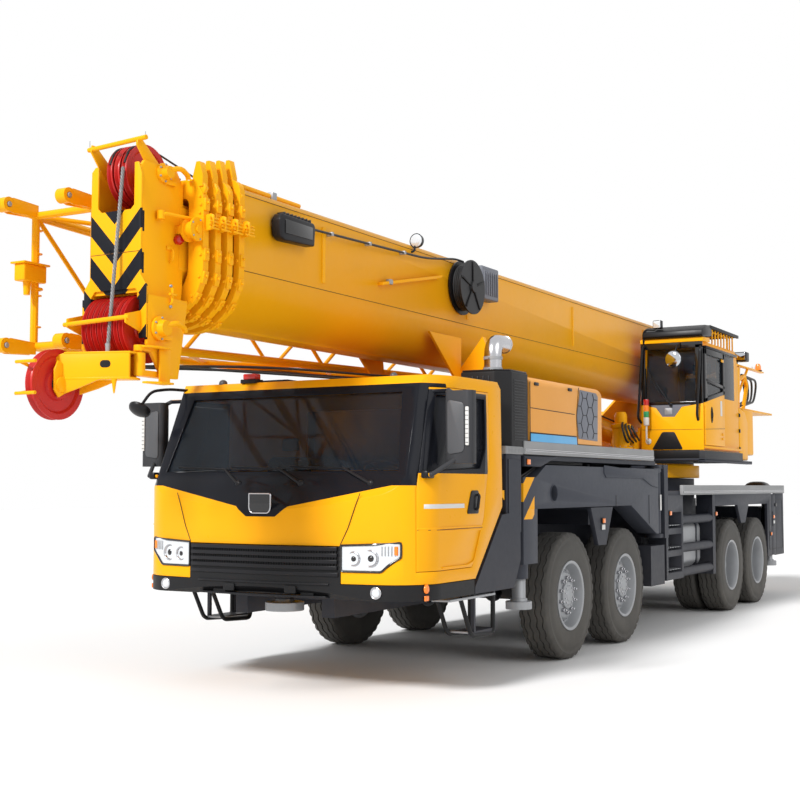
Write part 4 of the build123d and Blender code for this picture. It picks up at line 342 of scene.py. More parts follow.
CHROME = Finish("chrome", (0.5, 0.5, 0.52), 0.2, metallic=1.0, cloud=0.03, grain=0.0, slot="chrome")
CAST_IRON = Finish("cast_iron", (0.05, 0.05, 0.055), 0.62, metallic=0.4, dust=0.5, grain=0.3, slot="cast_iron")
SHEAVE_RED = Finish("sheave_red", (0.52, 0.016, 0.012), 0.38, coat=0.08, specular=0.35, cloud=0.14,
    slot="sheave_red")
BLACK_TRIM = Finish("black_trim", (0.01, 0.01, 0.011), 0.5, specular=0.2, cloud=0.2, grain=0.1)
BLACK_SATIN = Finish("black_satin", (0.011, 0.011, 0.013), 0.36, specular=0.22, cloud=0.1, grain=0.05)
BLACK_GLOSS = Finish("black_gloss", (0.008, 0.008, 0.009), 0.12, coat=0.3, grain=0.0)
DASH_GREY = Finish("dash_grey", (0.06, 0.065, 0.07), 0.6, grain=0.4, grain_scale=600)
MIRROR_GREY = Finish("mirror_grey", (0.07, 0.072, 0.078), 0.4, grain=0.1, grain_scale=500)
MIRROR_GLASS = Finish("mirror_glass", (0.55, 0.57, 0.6), 0.04, metallic=1.0, grain=0.0, slot="chrome")
# A dark, shaded yellow for thin lines in creases, seams and along welds: painted shade.
SHADE_LINE = Finish("seam_dark", (0.16, 0.06, 0.004), 0.6, grain=0.0, slot="crane_yellow")
RUBBER = Finish("rubber", (0.066, 0.064, 0.06), 0.75, specular=0.3, cloud=0.2, grain=0.3, dust=0.25, dust_top=1.4,
    slot="tyre")
HOSE_BLACK = Finish("hose_black", (0.012, 0.012, 0.013), 0.5, grain=0.15, grain_scale=300)
LAMP_CLEAR = Finish("lamp_clear", (0.72, 0.75, 0.78), 0.12, metallic=0.4, coat=0.8, grain=0.0, slot="lamp")
LAMP_AMBER = Finish("lamp_amber", (0.85, 0.2, 0.01), 0.2, coat=0.3, grain=0.0, glow=0.15, slot="lamp")
LAMP_RED = Finish("lamp_red", (0.5, 0.01, 0.008), 0.2, coat=0.3, grain=0.0, glow=0.05, slot="lamp")
LAMP_GREEN = Finish("lamp_green", (0.01, 0.3, 0.1), 0.2, coat=0.3, grain=0.0, glow=0.05, slot="lamp")
REFLECTOR_WHITE = Finish("reflector_white", (0.66, 0.66, 0.64), 0.35, grain=0.2, grain_scale=400, slot="lamp")
LIGHT_BLUE = Finish("light_blue", (0.1, 0.4, 0.72), 0.4, coat=0.05, specular=0.3, slot="crane_yellow")
SEAT_FABRIC = Finish("seat_fabric", (0.03, 0.03, 0.034), 0.85, cloud=0.2, grain=0.5, grain_scale=500,
    slot="seat_fabric")
TINTED_GLASS = Finish("tinted_glass", (0.016, 0.022, 0.03), 0.03, specular=0.25, alpha=0.52, grain=0.0, cloud=0.0,
    slot="glass")
ROPE_STEEL = Finish("rope_steel", (0.24, 0.24, 0.24), 0.5, metallic=0.2, specular=0.3, grain=0.3, grain_scale=300,
    slot="bright_metal")


class Axis(Enum):
    """The three axes, by index."""

    X = 0
    Y = 1
    Z = 2

    def at(self, first: float, second: float, along: float) -> Vector:
        """Returns the point with two numbers across this axis and one along it."""
        numbers = [first, second]
        numbers.insert(self.value, along)
        return Vector(numbers)


X, Y, Z = Axis
Shape = bmesh.types.BMesh
Flat = Sequence[tuple[float, float]]
Key = tuple[str, Finish, str]


def mm(text: str, *origin: float) -> list[tuple[float, ...]]:
    """Reads points that are written in millimetres.

    Args:
        text: The points, each point's numbers joined by commas.
        origin: What is added to each point's numbers, in metres.

    Returns:
        The points in metres.
    """
    starts = origin or (0.0, 0.0, 0.0)
    rows = [map(float, point.split(",")) for point in text.split()]
    return [tuple(start + number / MM_PER_M for start, number in zip(starts, row)) for row in rows]


def oblong(left: float, low: float, right: float, high: float) -> list[tuple[float, float]]:
    """Returns the four corners of an oblong outline."""
    return [(left, low), (right, low), (right, high), (left, high)]


def soften(shape: Shape, width: float, segments: int = 2, least: float = 0.5) -> Shape:
    """Rounds the edges of a shape.

    Args:
        shape: The shape, which is changed.
        width: The rounding's width.
        segments: Its segments.
        least: The smallest angle between two faces that is rounded.

    Returns:
        The same shape.
    """
    if width > 0:
        sharp = [edge for edge in shape.edges if len(edge.link_faces) == 2 and edge.calc_face_angle(0.0) > least]
        bmesh.ops.bevel(shape, geom=sharp, offset=width, offset_type="OFFSET", segments=segments, profile=0.5,
            affect="EDGES", clamp_overlap=True, material=-1)
    return shape


def box(low: Spot, high: Spot, bevel: float = 0.004, segments: int = 2) -> Shape:
    """Makes a block with rounded edges between two corners."""
    shape = bmesh.new()
    bmesh.ops.create_cube(shape, size=1.0)
    low, high = Vector(map(min, low, high)), Vector(map(max, low, high))
    bmesh.ops.scale(shape, vec=high - low, verts=shape.verts)
    bmesh.ops.translate(shape, vec=(high + low) / 2, verts=shape.verts)
    return soften(shape, bevel, segments)


def plate(outline: Flat, axis: Axis, near: float, far: float, bevel: float = 0.003, corner: float = 0.0,
        segments: int = 2) -> Shape:
    """Makes a flat plate from its outline.

    Args:
        outline: The outline's points, in the two numbers across the axis.
        axis: The axis along the plate's thickness.
        near: Where the plate starts on that axis.
        far: Where it ends.
        bevel: The rounding of its edges.
        corner: The rounding of the outline's corners.
        segments: The segments of the edges' rounding.

    Returns:
        The plate.
    """
    shape = bmesh.new()
    shape.faces.new([shape.verts.new(axis.at(first, second, near)) for first, second in outline])
    if corner:
        bmesh.ops.bevel(shape, geom=list(shape.verts), offset=corner, offset_type="OFFSET", segments=4, profile=0.5,
            affect="VERTICES", clamp_overlap=True, material=-1)
    grown = bmesh.ops.extrude_face_region(shape, geom=list(shape.faces))["geom"]
    moved = [item for item in grown if isinstance(item, bmesh.types.BMVert)]
    bmesh.ops.translate(shape, vec=axis.at(0, 0, far - near), verts=moved)
    bmesh.ops.recalc_face_normals(shape, faces=shape.faces)
    return soften(shape, bevel, segments)


def rod(start: Spot, end: Spot, r: float, r_end: float | None = None, sides: int = 16) -> Shape:
    """Makes a round bar, or a cone, between two points."""
    start, end = Vector(start), Vector(end)
    turn = (end - start).to_track_quat("Z", "Y").to_matrix().to_4x4()
    shape = bmesh.new()
    bmesh.ops.create_cone(shape, cap_ends=True, cap_tris=False, segments=sides, radius1=r,
        radius2=r if r_end is None else r_end, depth=(end - start).length,
        matrix=Matrix.Translation((start + end) / 2) @ turn)
    return shape


def lathe(profile: Flat, at: Spot, axis: Axis, steps: int = 32, closed: bool = False) -> Shape:
    """Turns a profile round an axis.

    Args:
        profile: The profile's points, as radius and place along the axis.
        at: The centre.
        axis: The axis that it is turned about.
        steps: How many steps the full turn has.
        closed: Whether the profile is a closed loop.

    Returns:
        The turned shape.
    """
    shape = bmesh.new()
    centre = Vector(at)
    verts = [shape.verts.new(centre + axis.at(r, 0.0, along)) for r, along in profile]
    pairs = list(zip(verts, verts[1:]))
    if closed:
        pairs.append((verts[-1], verts[0]))
    edges = [shape.edges.new(pair) for pair in pairs]
    bmesh.ops.spin(shape, geom=verts + edges, cent=centre, axis=axis.at(0, 0, 1), angle=math.tau, steps=steps,
        use_merge=True, use_duplicate=False, dvec=(0, 0, 0))
    bmesh.ops.remove_doubles(shape, verts=shape.verts, dist=1e-05)
    bmesh.ops.recalc_face_normals(shape, faces=shape.faces)
    return shape


def hoop(at: Spot, axis: Axis, r: float, bar_r: float, steps: int = 32, sides: int = 10) -> Shape:
    """Makes a ring of round bar."""
    turns = [math.tau * index / sides for index in range(sides)]
    profile = [(r + bar_r * math.cos(turn), bar_r * math.sin(turn)) for turn in turns]
    return lathe(profile, at, axis, steps, closed=True)


def dome(at: Spot, axis: Axis, r: float, rise: float, base: float = 0.0, steps: int = 24) -> Shape:
    """Makes a round cap that rises from a flat base."""
    bend = [(r * math.cos(turn), base + rise * math.sin(turn)) for turn in (0.0, 0.4, 0.8, 1.2)]
    return lathe([(0.0, 0.0), (r, 0.0)] + bend + [(0.0, base + rise)], at, axis, steps)


def rounded(points: Sequence[Spot], bend: float) -> list[Vector]:
    """Rounds the corners of a bar's middle line."""
    line = [Vector(point) for point in points]
    path = [line[0]]
    for before, corner, after in zip(line, line[1:], line[2:]):
        reach = min(bend, (before - corner).length / 2, (after - corner).length / 2)
        start = corner + (before - corner).normalized() * reach
        end = corner + (after - corner).normalized() * reach
        for share in (0.0, 0.25, 0.5, 0.75, 1.0):
            path.append(start.lerp(corner, share).lerp(corner.lerp(end, share), share))
    return path + [line[-1]]


def pipe(points: Sequence[Spot], r: float, bend: float = 0.05, sides: int = 2) -> Shape:
    """Makes a bent tube with closed ends.

    Args:
        points: The corners of its middle line.
        r: Its radius.
        bend: How far its corners are rounded.
        sides: How finely it is rounded.

    Returns:
        The tube.
    """
    path = rounded(points, bend)
    curve = bpy.data.curves.new("line", "CURVE")
    curve.dimensions = "3D"
    curve.bevel_depth = r
    curve.bevel_resolution = sides
    curve.use_fill_caps = True
    spline = curve.splines.new("POLY")
    spline.points.add(len(path) - 1)
    for target, point in zip(spline.points, path):
        target.co = (*point, 1.0)
    holder = bpy.data.objects.new("line", curve)
    mesh = bpy.data.meshes.new_from_object(holder)
    shape = bmesh.new()
    shape.from_mesh(mesh)
    bpy.data.objects.remove(holder)
    bpy.data.curves.remove(curve)
    bpy.data.meshes.remove(mesh)
    bmesh.ops.remove_doubles(shape, verts=shape.verts, dist=1e-05)
    bmesh.ops.recalc_face_normals(shape, faces=shape.faces)
    return shape


def moved(shape: Shape, vec: Spot) -> Shape:
    """Moves a shape and returns it."""
    bmesh.ops.translate(shape, vec=Vector(vec), verts=shape.verts)
    return shape


def turned(shape: Shape, at: Spot, axis: Axis, degrees: float) -> Shape:
    """Turns a shape about an axis through a point and returns it."""
    spin = Matrix.Rotation(math.radians(degrees), 3, axis.at(0, 0, 1))
    bmesh.ops.rotate(shape, cent=Vector(at), matrix=spin, verts=shape.verts)
    return shape


def flipped(shape: Shape) -> Shape:
    """Returns a shape's mirror image on the crane's other side."""
    copy = shape.copy()
    bmesh.ops.scale(copy, vec=(1, -1, 1), verts=copy.verts)
    bmesh.ops.reverse_faces(copy, faces=copy.faces)
    return copy


def from_node(name: str, width: float, segments: int = 2, flat: float = 0.03) -> Shape:
    """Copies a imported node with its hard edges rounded.

    Args:
        name: The node.
        width: The rounding's width.
        segments: The rounding's segments.
        flat: Faces within this angle of each other become one.

    Returns:
        The copy, measured from the first axle.
    """
    shape = bmesh.new()
    shape.from_mesh(bpy.data.objects[name].data)
    bmesh.ops.remove_doubles(shape, verts=shape.verts, dist=2e-05)
    bmesh.ops.dissolve_limit(shape, angle_limit=flat, use_dissolve_boundaries=False, verts=shape.verts,
        edges=shape.edges, delimit={"NORMAL"})
    bmesh.ops.translate(shape, vec=(-AXLE_1_X, 0, 0), verts=shape.verts)
    return soften(shape, width, segments, least=0.45)


def nuts(at: Spot, axis: Axis, ring_r: float, count: int, r: float, reach: float, sides: int = 6) -> Shape:
    """Makes a ring of nuts round a centre.

    Args:
        at: The ring's centre, at the nuts' feet.
        axis: The axis that the nuts stand along.
        ring_r: The ring's radius.
        count: How many nuts it has.
        r: A nut's radius.
        reach: A nut's height, negative to point the other way.
        sides: A nut's sides.

    Returns:
        The nuts.
    """
    whole = bmesh.new()
    for index in range(count):
        turn = math.tau * (index + 0.5) / count
        foot = Vector(at) + axis.at(ring_r * math.cos(turn), ring_r * math.sin(turn), 0.0)
        merge(whole, soften(rod(foot, foot + axis.at(0, 0, reach), r, r * 0.94, sides), r * 0.12, 1))
    return whole


def merge(target: Shape, *shapes: Shape) -> Shape:
    """Adds shapes to another and frees them.

    Args:
        target: The shape that takes them.
        shapes: The shapes.

    Returns:
        The target.
    """
    for shape in shapes:
        mesh = bpy.data.meshes.new("part")
        shape.to_mesh(mesh)
        shape.free()
        target.from_mesh(mesh)
        bpy.data.meshes.remove(mesh)
    return target


def linked(name: str, data: bpy.types.ID) -> bpy.types.Object:
    """Makes an object in the scene from its data."""
    made = bpy.data.objects.new(name, data)
    bpy.context.scene.collection.objects.link(made)
    return made


def make_piece(name: str, shape: Shape, finish: Finish, body: str) -> bpy.types.Object:
    """Turns a shape into a finished piece.

    Args:
        name: The piece's name.
        shape: Its shape, measured from the first axle, which is freed.
        finish: Its finish.
        body: The body that it rides on.

    Returns:
        The piece.
    """
    mesh = bpy.data.meshes.new(name)
    moved(shape, (AXLE_1_X, 0, 0)).to_mesh(mesh)
    shape.free()
    mesh.shade_smooth()
    mesh.materials.append(finish.material())
    piece = linked(name, mesh)
    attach(piece, body)
    LOG.info("%s: %d faces on %s", name, len(mesh.polygons), body)
    return piece


@dataclass
class Assembly:
    """A sub-assembly, whose shapes are gathered by body, finish and part into pieces."""

    shapes: dict[Key, Shape] = field(default_factory=dict, init=False)
    stands_for: dict[Key, list[str]] = field(default_factory=dict, init=False)
    title = "assembly"
    home = "carrier"

    def put(self, finish: Finish, part: str, *shapes: Shape, on: str = "", instead: Sequence[str] = ()) -> None:
        """Adds shapes to a piece.

        Args:
            finish: Its finish.
            part: Its own word, or nothing where the finish names it.
            shapes: The shapes, measured from the first axle.
            on: The body that it rides on, where that isn't the sub-assembly's home.
            instead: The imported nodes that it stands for.
        """
        key = (on or self.home, finish, part)
        merge(self.shapes.setdefault(key, bmesh.new()), *shapes)
        self.stands_for.setdefault(key, []).extend(instead)

    def pair(self, finish: Finish, part: str, *shapes: Shape, on: str = "") -> None:
        """Adds left shapes and their mirror images.

        Args:
            finish: Their finish.
            part: Their piece's word.
            shapes: The left shapes.
            on: The body, in which {} stands for left or right.
        """
        for shape in shapes:
            for side, half in zip(Side, (shape, flipped(shape))):
                self.put(finish, part, half, on=(on or self.home).format(side.word))

    def mirrored(self, finish: Finish, part: str, *shapes: Shape, on: str = "") -> None:
        """Adds shapes and their mirror images to one body."""
        for shape in shapes:
            self.put(finish, part, shape, flipped(shape), on=on)

    def rework(self, finish: Finish, part: str, node: str, width: float, segments: int = 2, flat: float = 0.03,
            on: str = "") -> None:
        """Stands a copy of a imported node, with its hard edges rounded as from_node does it, for the node."""
        self.put(finish, part, from_node(node, width, segments, flat), on=on, instead=[node])

    def shape(self) -> None:
        """Makes the shapes; each sub-assembly has its own."""
        raise NotImplementedError

    def build(self) -> None:
        """Makes the shapes and turns them into finished pieces."""
        self.shape()
        for key, shape in self.shapes.items():
            body, finish, part = key
            piece = make_piece(f"{self.title}_{body}_{part or finish.name}", shape, finish, body)
            piece.data.set_sharp_from_angle(angle=SMOOTH_ANGLE)
            if self.stands_for[key]:
                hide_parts(*self.stands_for[key])


@dataclass
class Wheels(Assembly):
    """Tyres, rims, hubs and nuts of all four axles."""

    axles_x: tuple[float, ...] = (0.0, -1.52, -5.62, -6.97)
    tyre_r: float = 0.605
    half_width: float = 0.155
    front_y: float = 1.19
    twin_y: float = 1.212
    twin_pitch: float = 0.348
    steps: int = 108
    groove: float = 0.016
    zigzag: float = 0.007
    title = "wheels"

    def _tyre(self, y: float) -> Shape:
        """Makes a tyre with zigzag grooves and notched shoulders, with its middle at y."""
        half, top = self.half_width, self.tyre_r
        side = [(0.31, 0.118), (0.318, 0.134), (0.345, 0.146), (0.395, 0.153), (0.45, half), (0.505, 0.153),
            (0.512, 0.149), (0.545, 0.147), (0.552, 0.151), (0.578, 0.147), (0.592, 0.139)]
        tread = [(top - 0.004, 0.132)]
        for middle, width in ((0.094, 0.006), (0.034, 0.007), (-0.034, 0.007), (-0.094, 0.006)):
            deep = top - self.groove
            tread += [(top, middle + width), (deep, middle + width * 0.6), (deep, middle - width * 0.6)]
            tread += [(top, middle - width)]
        tread += [(top - 0.004, -0.132)]
        shape = lathe(side + tread + [(r, -along) for r, along in reversed(side)] + mm("300,-110 300,110"),
            (0, y, top), Y, self.steps, closed=True)
        for vert in shape.verts:
            away = Vector((vert.co.x, 0, vert.co.z - top))
            r = away.length
            index = round(math.atan2(away.z, away.x) / math.tau * self.steps)
            along = vert.co.y - y
            if r > 0.586 and abs(along) < 0.11:
                vert.co.y += self.zigzag * (1 if index // 2 % 2 else -1)
            if r > 0.56 and abs(along) > 0.13 and index % 3 == 0:
                vert.co -= away.normalized() * 0.013 + Vector((0, math.copysign(0.005, along), 0))
        return shape

    def _rim(self, y: float, disc: Flat) -> Shape:
        """Makes a rim with its disc; disc is the outer profile from the rim to the hub, as radius and place."""
        lip = mm("300,-140 330,-150 334,-142 312,-128 312,128")
        lip += mm("334,142 333,151 322,153 306,146 298,128")
        return lathe(lip + list(disc) + [(r, along - 0.014) for r, along in reversed(disc)], (0, y, self.tyre_r), Y,
            64, closed=True)

    def _front(self) -> dict[Finish, Shape]:
        """Makes a left front wheel at the first axle."""
        y, z = self.front_y, self.tyre_r
        disc = mm(
            "288,80 278,52 262,46 246,56 222,84 206,92 138,92 132,96 128,118 116,126 60,126 "
            "54,131 30,133 0,133"
        )
        bolts = nuts((0, y + 0.124, z), Y, 0.094, 12, 0.0075, 0.012)
        merge(bolts, nuts((0, y + 0.052, z), Y, 0.252, 24, 0.006, 0.012, 8))
        big = nuts((0, y + 0.09, z), Y, 0.168, 10, 0.02, 0.034)
        merge(big, nuts((0, y + 0.12, z), Y, 0.168, 10, 0.011, 0.022, 10))
        return {RUBBER: self._tyre(y), BRIGHT_METAL: self._rim(y, disc), CHROME: merge(big, bolts)}

    def _rear(self) -> dict[Finish, Shape]:
        """Makes a left pair of rear wheels at the first axle."""
        y, z = self.twin_y, self.tyre_r
        disc = mm(
            "290,100 282,40 276,-40 262,-78 236,-94 190,-100 142,-100 140,-92 134,10 122,24 98,30 "
            "92,44 40,50 0,50"
        )
        inner = [(r, 0.134 - (0.02 if r > 0.15 else 0.014)) for r in (0.286, 0.24, 0.16, 0.0)]
        bolts = nuts((0, y - 0.101, z), Y, 0.168, 10, 0.019, 0.034)
        merge(bolts, nuts((0, y + 0.022, z), Y, 0.11, 10, 0.007, 0.014))
        return {RUBBER: merge(self._tyre(y), self._tyre(y - self.twin_pitch)),
            BRIGHT_METAL: merge(self._rim(y, disc), self._rim(y - self.twin_pitch, inner)), CHROME: bolts}

    def shape(self) -> None:
        """Makes every wheel."""
        wheels = (self._front(), self._front(), self._rear(), self._rear())
        for number, (x, parts) in enumerate(zip(self.axles_x, wheels), start=1):
            for side in Side:
                body = f"wheel_{number}_{side.word}"
                for finish, shape in parts.items():
                    placed = moved(shape.copy(), (x, 0, 0))
                    if side is Side.RIGHT:
                        placed = flipped(placed)
                    self.put(finish, "", placed, on=body, instead=[body] if finish is RUBBER else [])
            for shape in parts.values():
                shape.free()


def cushion(low: Spot, high: Spot, crown: float, axis: Axis = Z) -> Shape:
    """Makes a crowned pad between two corners.

    Args:
        low: The lowest corner.
        high: The highest corner.
        crown: How far its faces across the axis bulge.
        axis: The axis across its broad faces.

    Returns:
        The pad.
    """
    shape = box(low, high, 0.0)
    bmesh.ops.subdivide_edges(shape, edges=shape.edges, cuts=7, use_grid_fill=True)
    middle = (Vector(low) + Vector(high)) / 2
    half = (Vector(high) - Vector(low)) / 2
    across = [index for index in range(3) if index != axis.value]
    for vert in shape.verts:
        share = [(vert.co[index] - middle[index]) / half[index] for index in range(3)]
        fall = (1 - share[across[0]] ** 4) * (1 - share[across[1]] ** 4)
        thick = share[axis.value]
        vert.co[axis.value] += thick * (crown * fall - crown * 1.4 * (1 - fall))
        for index in across:
            vert.co[index] -= share[index] * 0.012 * (1 - thick * thick)
            vert.co[index] -= math.copysign(0.018, share[index]) * (abs(thick) > 0.99) * (abs(share[index]) > 0.99)
    bmesh.ops.smooth_vert(shape, verts=shape.verts, factor=0.5, use_axis_x=True, use_axis_y=True, use_axis_z=True)
    return shape


@dataclass
class DrivingCab(Assembly):
    """The driving cab's skin, nose, lamps, mirrors, wipers, steps and inside."""

    half: float = 1.385
    corner_r: float = 0.4
    corner_x: float = 2.76
    corner_y: float = 0.985
    bow_x: float = 3.246
    bow_r: float = 6.09
    bow_end: float = 1.0545
    screen_foot: tuple[float, float] = (3.04, 1.735)
    screen_lean: float = 0.375
    title = "cab"

    def front_x(self, y: float) -> float:
        """Returns the x of the nose at a y."""
        y = abs(y)
        if y <= self.bow_end:
            return self.bow_x - y * y / (2 * self.bow_r)
        return self.corner_x + math.sqrt(max(0.0, self.corner_r ** 2 - (y - self.corner_y) ** 2))

    def side_y(self, x: float) -> float:
        """Returns the y of the left side at an x."""
        if x <= self.corner_x:
            return self.half
        return self.corner_y + math.sqrt(max(0.0, self.corner_r ** 2 - (x - self.corner_x) ** 2))

    def nose_band(self, y0: float, y1: float, low: float, high: float, proud: float, depth: float) -> Shape:
        """Makes a band that follows the nose between two y."""
        steps = [y0 + (y1 - y0) * index / 14 for index in range(15)]
        outline = [(self.front_x(y) + proud, y) for y in steps]
        outline += [(self.front_x(y) + proud - depth, y) for y in reversed(steps)]
        return plate(outline, Z, low, high, 0.004)

    def side_band(self, x0: float, x1: float, low: float, high: float, proud: float) -> Shape:
        """Makes a thin band that follows the left side between two x."""
        steps = [x0 + (x1 - x0) * index / 10 for index in range(11)]
        outline = [(x, self.side_y(x) + proud) for x in steps]
        outline += [(x, self.side_y(x) - 0.004) for x in reversed(steps)]
        return plate(outline, Z, low, high, 0.001, segments=1)

    def screen_x(self, z: float, proud: float = 0.0) -> float:
        """Returns the x of the windscreen's outer face at a height."""
        return self.screen_foot[0] - (z - self.screen_foot[1]) * self.screen_lean + proud

    def shape(self) -> None:
        """Makes everything on and in the cab."""
        for make in (self._skin, self._nose, self._lamps, self._wipers, self._doors, self._roof, self._steps,
                self._inside):
            make()

    def _skin(self) -> None:
        """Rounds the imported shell's edges and adds the nose's seams and the blank badge."""
        self.rework(CAB_YELLOW, "shell", "cab_shell", 0.01, flat=0.05)
        self.pair(BLACK_TRIM, "", pipe([(self.front_x(y) + 0.0005, y, z)
                    for y, z in ((0.735, 1.2), (0.8, 1.33), (0.86, 1.5), (0.9, 1.6))], 0.0032, 0.02, 1))
        frame = [(self.front_x(y) + 0.004, y, z) for y, z in ((-0.105, 1.595), (0.105, 1.595), (0.105, 1.475))]
        frame += [(self.front_x(y) + 0.004, y, z) for y, z in ((0.085, 1.44), (-0.085, 1.44), (-0.105, 1.475))]
        self.put(CHROME, "blank_badge_rim", pipe(frame + frame[:1], 0.006, 0.02, 2))
        self.put(BLACK_GLOSS, "blank_badge", self.nose_band(-0.1, 0.1, 1.448, 1.59, 0.004, 0.01))

    def _nose(self) -> None:
        """Makes the grille's slats and mesh, the bumper's lips and its two covers."""
        for z in (1.152, 1.103, 1.054, 1.006):
            self.put(BLACK_SATIN, "grille", self.nose_band(-0.715, 0.715, z, z + 0.03, 0.02, 0.05))
        for z in (1.14, 1.091, 1.042):
            for index in range(58):
                y = -0.7 + index * 1.4 / 57
                self.put(BLACK_TRIM, "grille_mesh", box(*mm("-10,-3.5,-10 8,3.5,14", self.front_x(y), y, z), 0.0))
        self.put(BLACK_SATIN, "grille", self.nose_band(-0.72, 0.72, 0.955, 0.985, 0.012, 0.05))
        self.put(BLACK_SATIN, "bumper_lip", self.nose_band(-0.62, 0.62, 0.785, 0.8, 0.014, 0.1),
            self.nose_band(-0.64, 0.64, 0.885, 0.9, 0.012, 0.05))
        for y in (-0.3, 0.3):
            self.put(BLACK_TRIM, "bumper_cover", plate(oblong(y - 0.055, 0.815, y + 0.055, 0.872), X,
                    self.front_x(y), self.front_x(y) + 0.018, 0.004, 0.012))

    def _lamps(self) -> None:
        """Makes the headlamps' rims and reflectors, the fog lamps and the side markers."""
        outline = ((0.742, 1.196), (1.02, 1.207), (1.215, 1.222), (1.215, 1.11), (1.13, 1.052), (1.075, 0.998))
        outline += ((0.742, 0.998), (0.742, 1.196))
        rim = [(self.front_x(y) + 0.004, y, z) for y, z in outline]
        self.pair(BLACK_GLOSS, "headlamp_rims", pipe(rim, 0.009, 0.02, 2))
        for y, z, r in ((0.845, 1.095, 0.052), (0.985, 1.1, 0.062)):
            x = self.front_x(y)
            self.pair(CHROME, "headlamp_rings", hoop((x - 0.004, y, z), X, r, 0.008, 32, 8))
            self.pair(CHROME, "headlamp_bowls", lathe([(r * 0.92, 0.004), (r * 0.72, -0.012), (r * 0.52, -0.016)],
                    (x, y, z), X, 32))
            self.pair(BLACK_GLOSS, "headlamp_lenses", dome((x - 0.012, y, z), X, r * 0.5, 0.02))
        for index in range(5):
            y = 1.08 + index * 0.024
            x = self.front_x(y)
            self.pair(BRIGHT_METAL, "headlamp_fins", box(*mm("-10,-4,1120 5,4,1195", x, y, 0), 0.002))
        self.pair(LAMP_AMBER, "turn", box(*mm("-20,1165,1125 2,1195,1195", self.front_x(1.17), 0, 0), 0.006))
        self.pair(CHROME, "fog_rings", hoop((3.16, 1.03, 0.838), X, 0.042, 0.007, 32, 8))
        self.pair(LAMP_CLEAR, "fog_lenses", dome((3.158, 1.03, 0.838), X, 0.038, 0.016))
        x = 2.93
        y = self.side_y(x)
        self.pair(LAMP_AMBER, "side_lamps", dome((x, y - 0.004, 0.866), Y, 0.036, 0.016, 0.006),
            box(*mm("-32,-4,775 32,10,815", x, y, 0), 0.005))

    def _wipers(self) -> None:
        """Makes three wipers that lie along the windscreen's foot."""
        for pivot, elbow, tip in ((-0.336, -0.52, -1.01), (0.285, 0.03, -0.44), (0.939, 0.65, 0.151)):
            foot = (self.screen_x(1.675, 0.03), pivot, 1.675)
            joint = (self.screen_x(1.805, 0.032), elbow, 1.805)
            far = (self.screen_x(1.812, 0.02), tip, 1.812)
            near = (self.screen_x(1.79, 0.02), elbow + 0.07, 1.79)
            self.put(BLACK_SATIN, "wipers", rod(foot, joint, 0.014, 0.008), pipe([near, far], 0.008, 0, 2),
                moved(pipe([near, far], 0.004, 0, 1), (0.014, 0, 0.006)),
                moved(dome((0, 0, 0), X, 0.028, 0.018, 0.01), (foot[0] - 0.016, foot[1], foot[2])))

    def _doors(self) -> None:
        """Makes the doors' skins, handles, trim lines and mirrors."""
        for side in Side:
            node = f"cab_door_{side.word}"
            self.rework(DOOR_YELLOW, "panel", node, 0.006, flat=0.05, on=f"door_{side.word}")
        self.pair(BLACK_SATIN, "handle", plate(mm("2105,1620 2235,1620 2315,1430 2105,1430"), Y, 1.383, 1.392,
                0.004, 0.022), on="door_{}")
        self.pair(BLACK_TRIM, "handle", pipe(mm("2135,1398,1590 2140,1412,1575 2165,1412,1475 2170,1396,1460"),
                0.012, 0.02, 2), on="door_{}")
        self.pair(REFLECTOR_WHITE, "stripe", self.side_band(2.36, 2.95, 1.48, 1.515, 0.002), on="door_{}")
        # The dark line in the door's crease is painted shade.
        self.pair(SHADE_LINE, "crease", self.side_band(2.03, 3.0, 1.312, 1.317, 0.0015), on="door_{}")
        for z, proud in ((1.327, 0.006), (1.302, 0.002)):
            self.pair(CRANE_YELLOW, "crease_lip", self.side_band(2.035, 3.0, z - 0.006, z + 0.006, proud),
                on="door_{}")
        self.pair(CRANE_YELLOW, "lower_bead",
            pipe(mm("2070,1388,1290 2200,1388,1045 2320,1388,1020 2740,1388,1020"), 0.006, 0.03, 2), on="door_{}")
        self.pair(MIRROR_GREY, "mirror_cover", plate(mm("1455,1900 1600,1920 1600,2300 1455,2330"), X, 2.778, 2.788,
                0.004, 0.03), on="door_{}")
        self.pair(REFLECTOR_WHITE, "mirror_strip", plate(oblong(1.612, 1.97, 1.64, 2.27), X, 2.776, 2.79, 0.003,
                0.008), on="door_{}")
        for index in range(8):
            z = 1.99 + index * 0.035
            self.pair(MIRROR_GREY, "mirror_cover", box(*mm("2785,1613,0 2792,1639,4", 0, 0, z), 0.0), on="door_{}")
        self.pair(MIRROR_GLASS, "mirror_glass", plate(oblong(1.445, 1.86, 1.635, 2.37), X, 2.652, 2.661, 0.003,
                0.03), on="door_{}")
        self.pair(BLACK_SATIN, "mirror_root", box(*mm("2860,1325,1715 2985,1385,1775"), 0.014), on="door_{}")

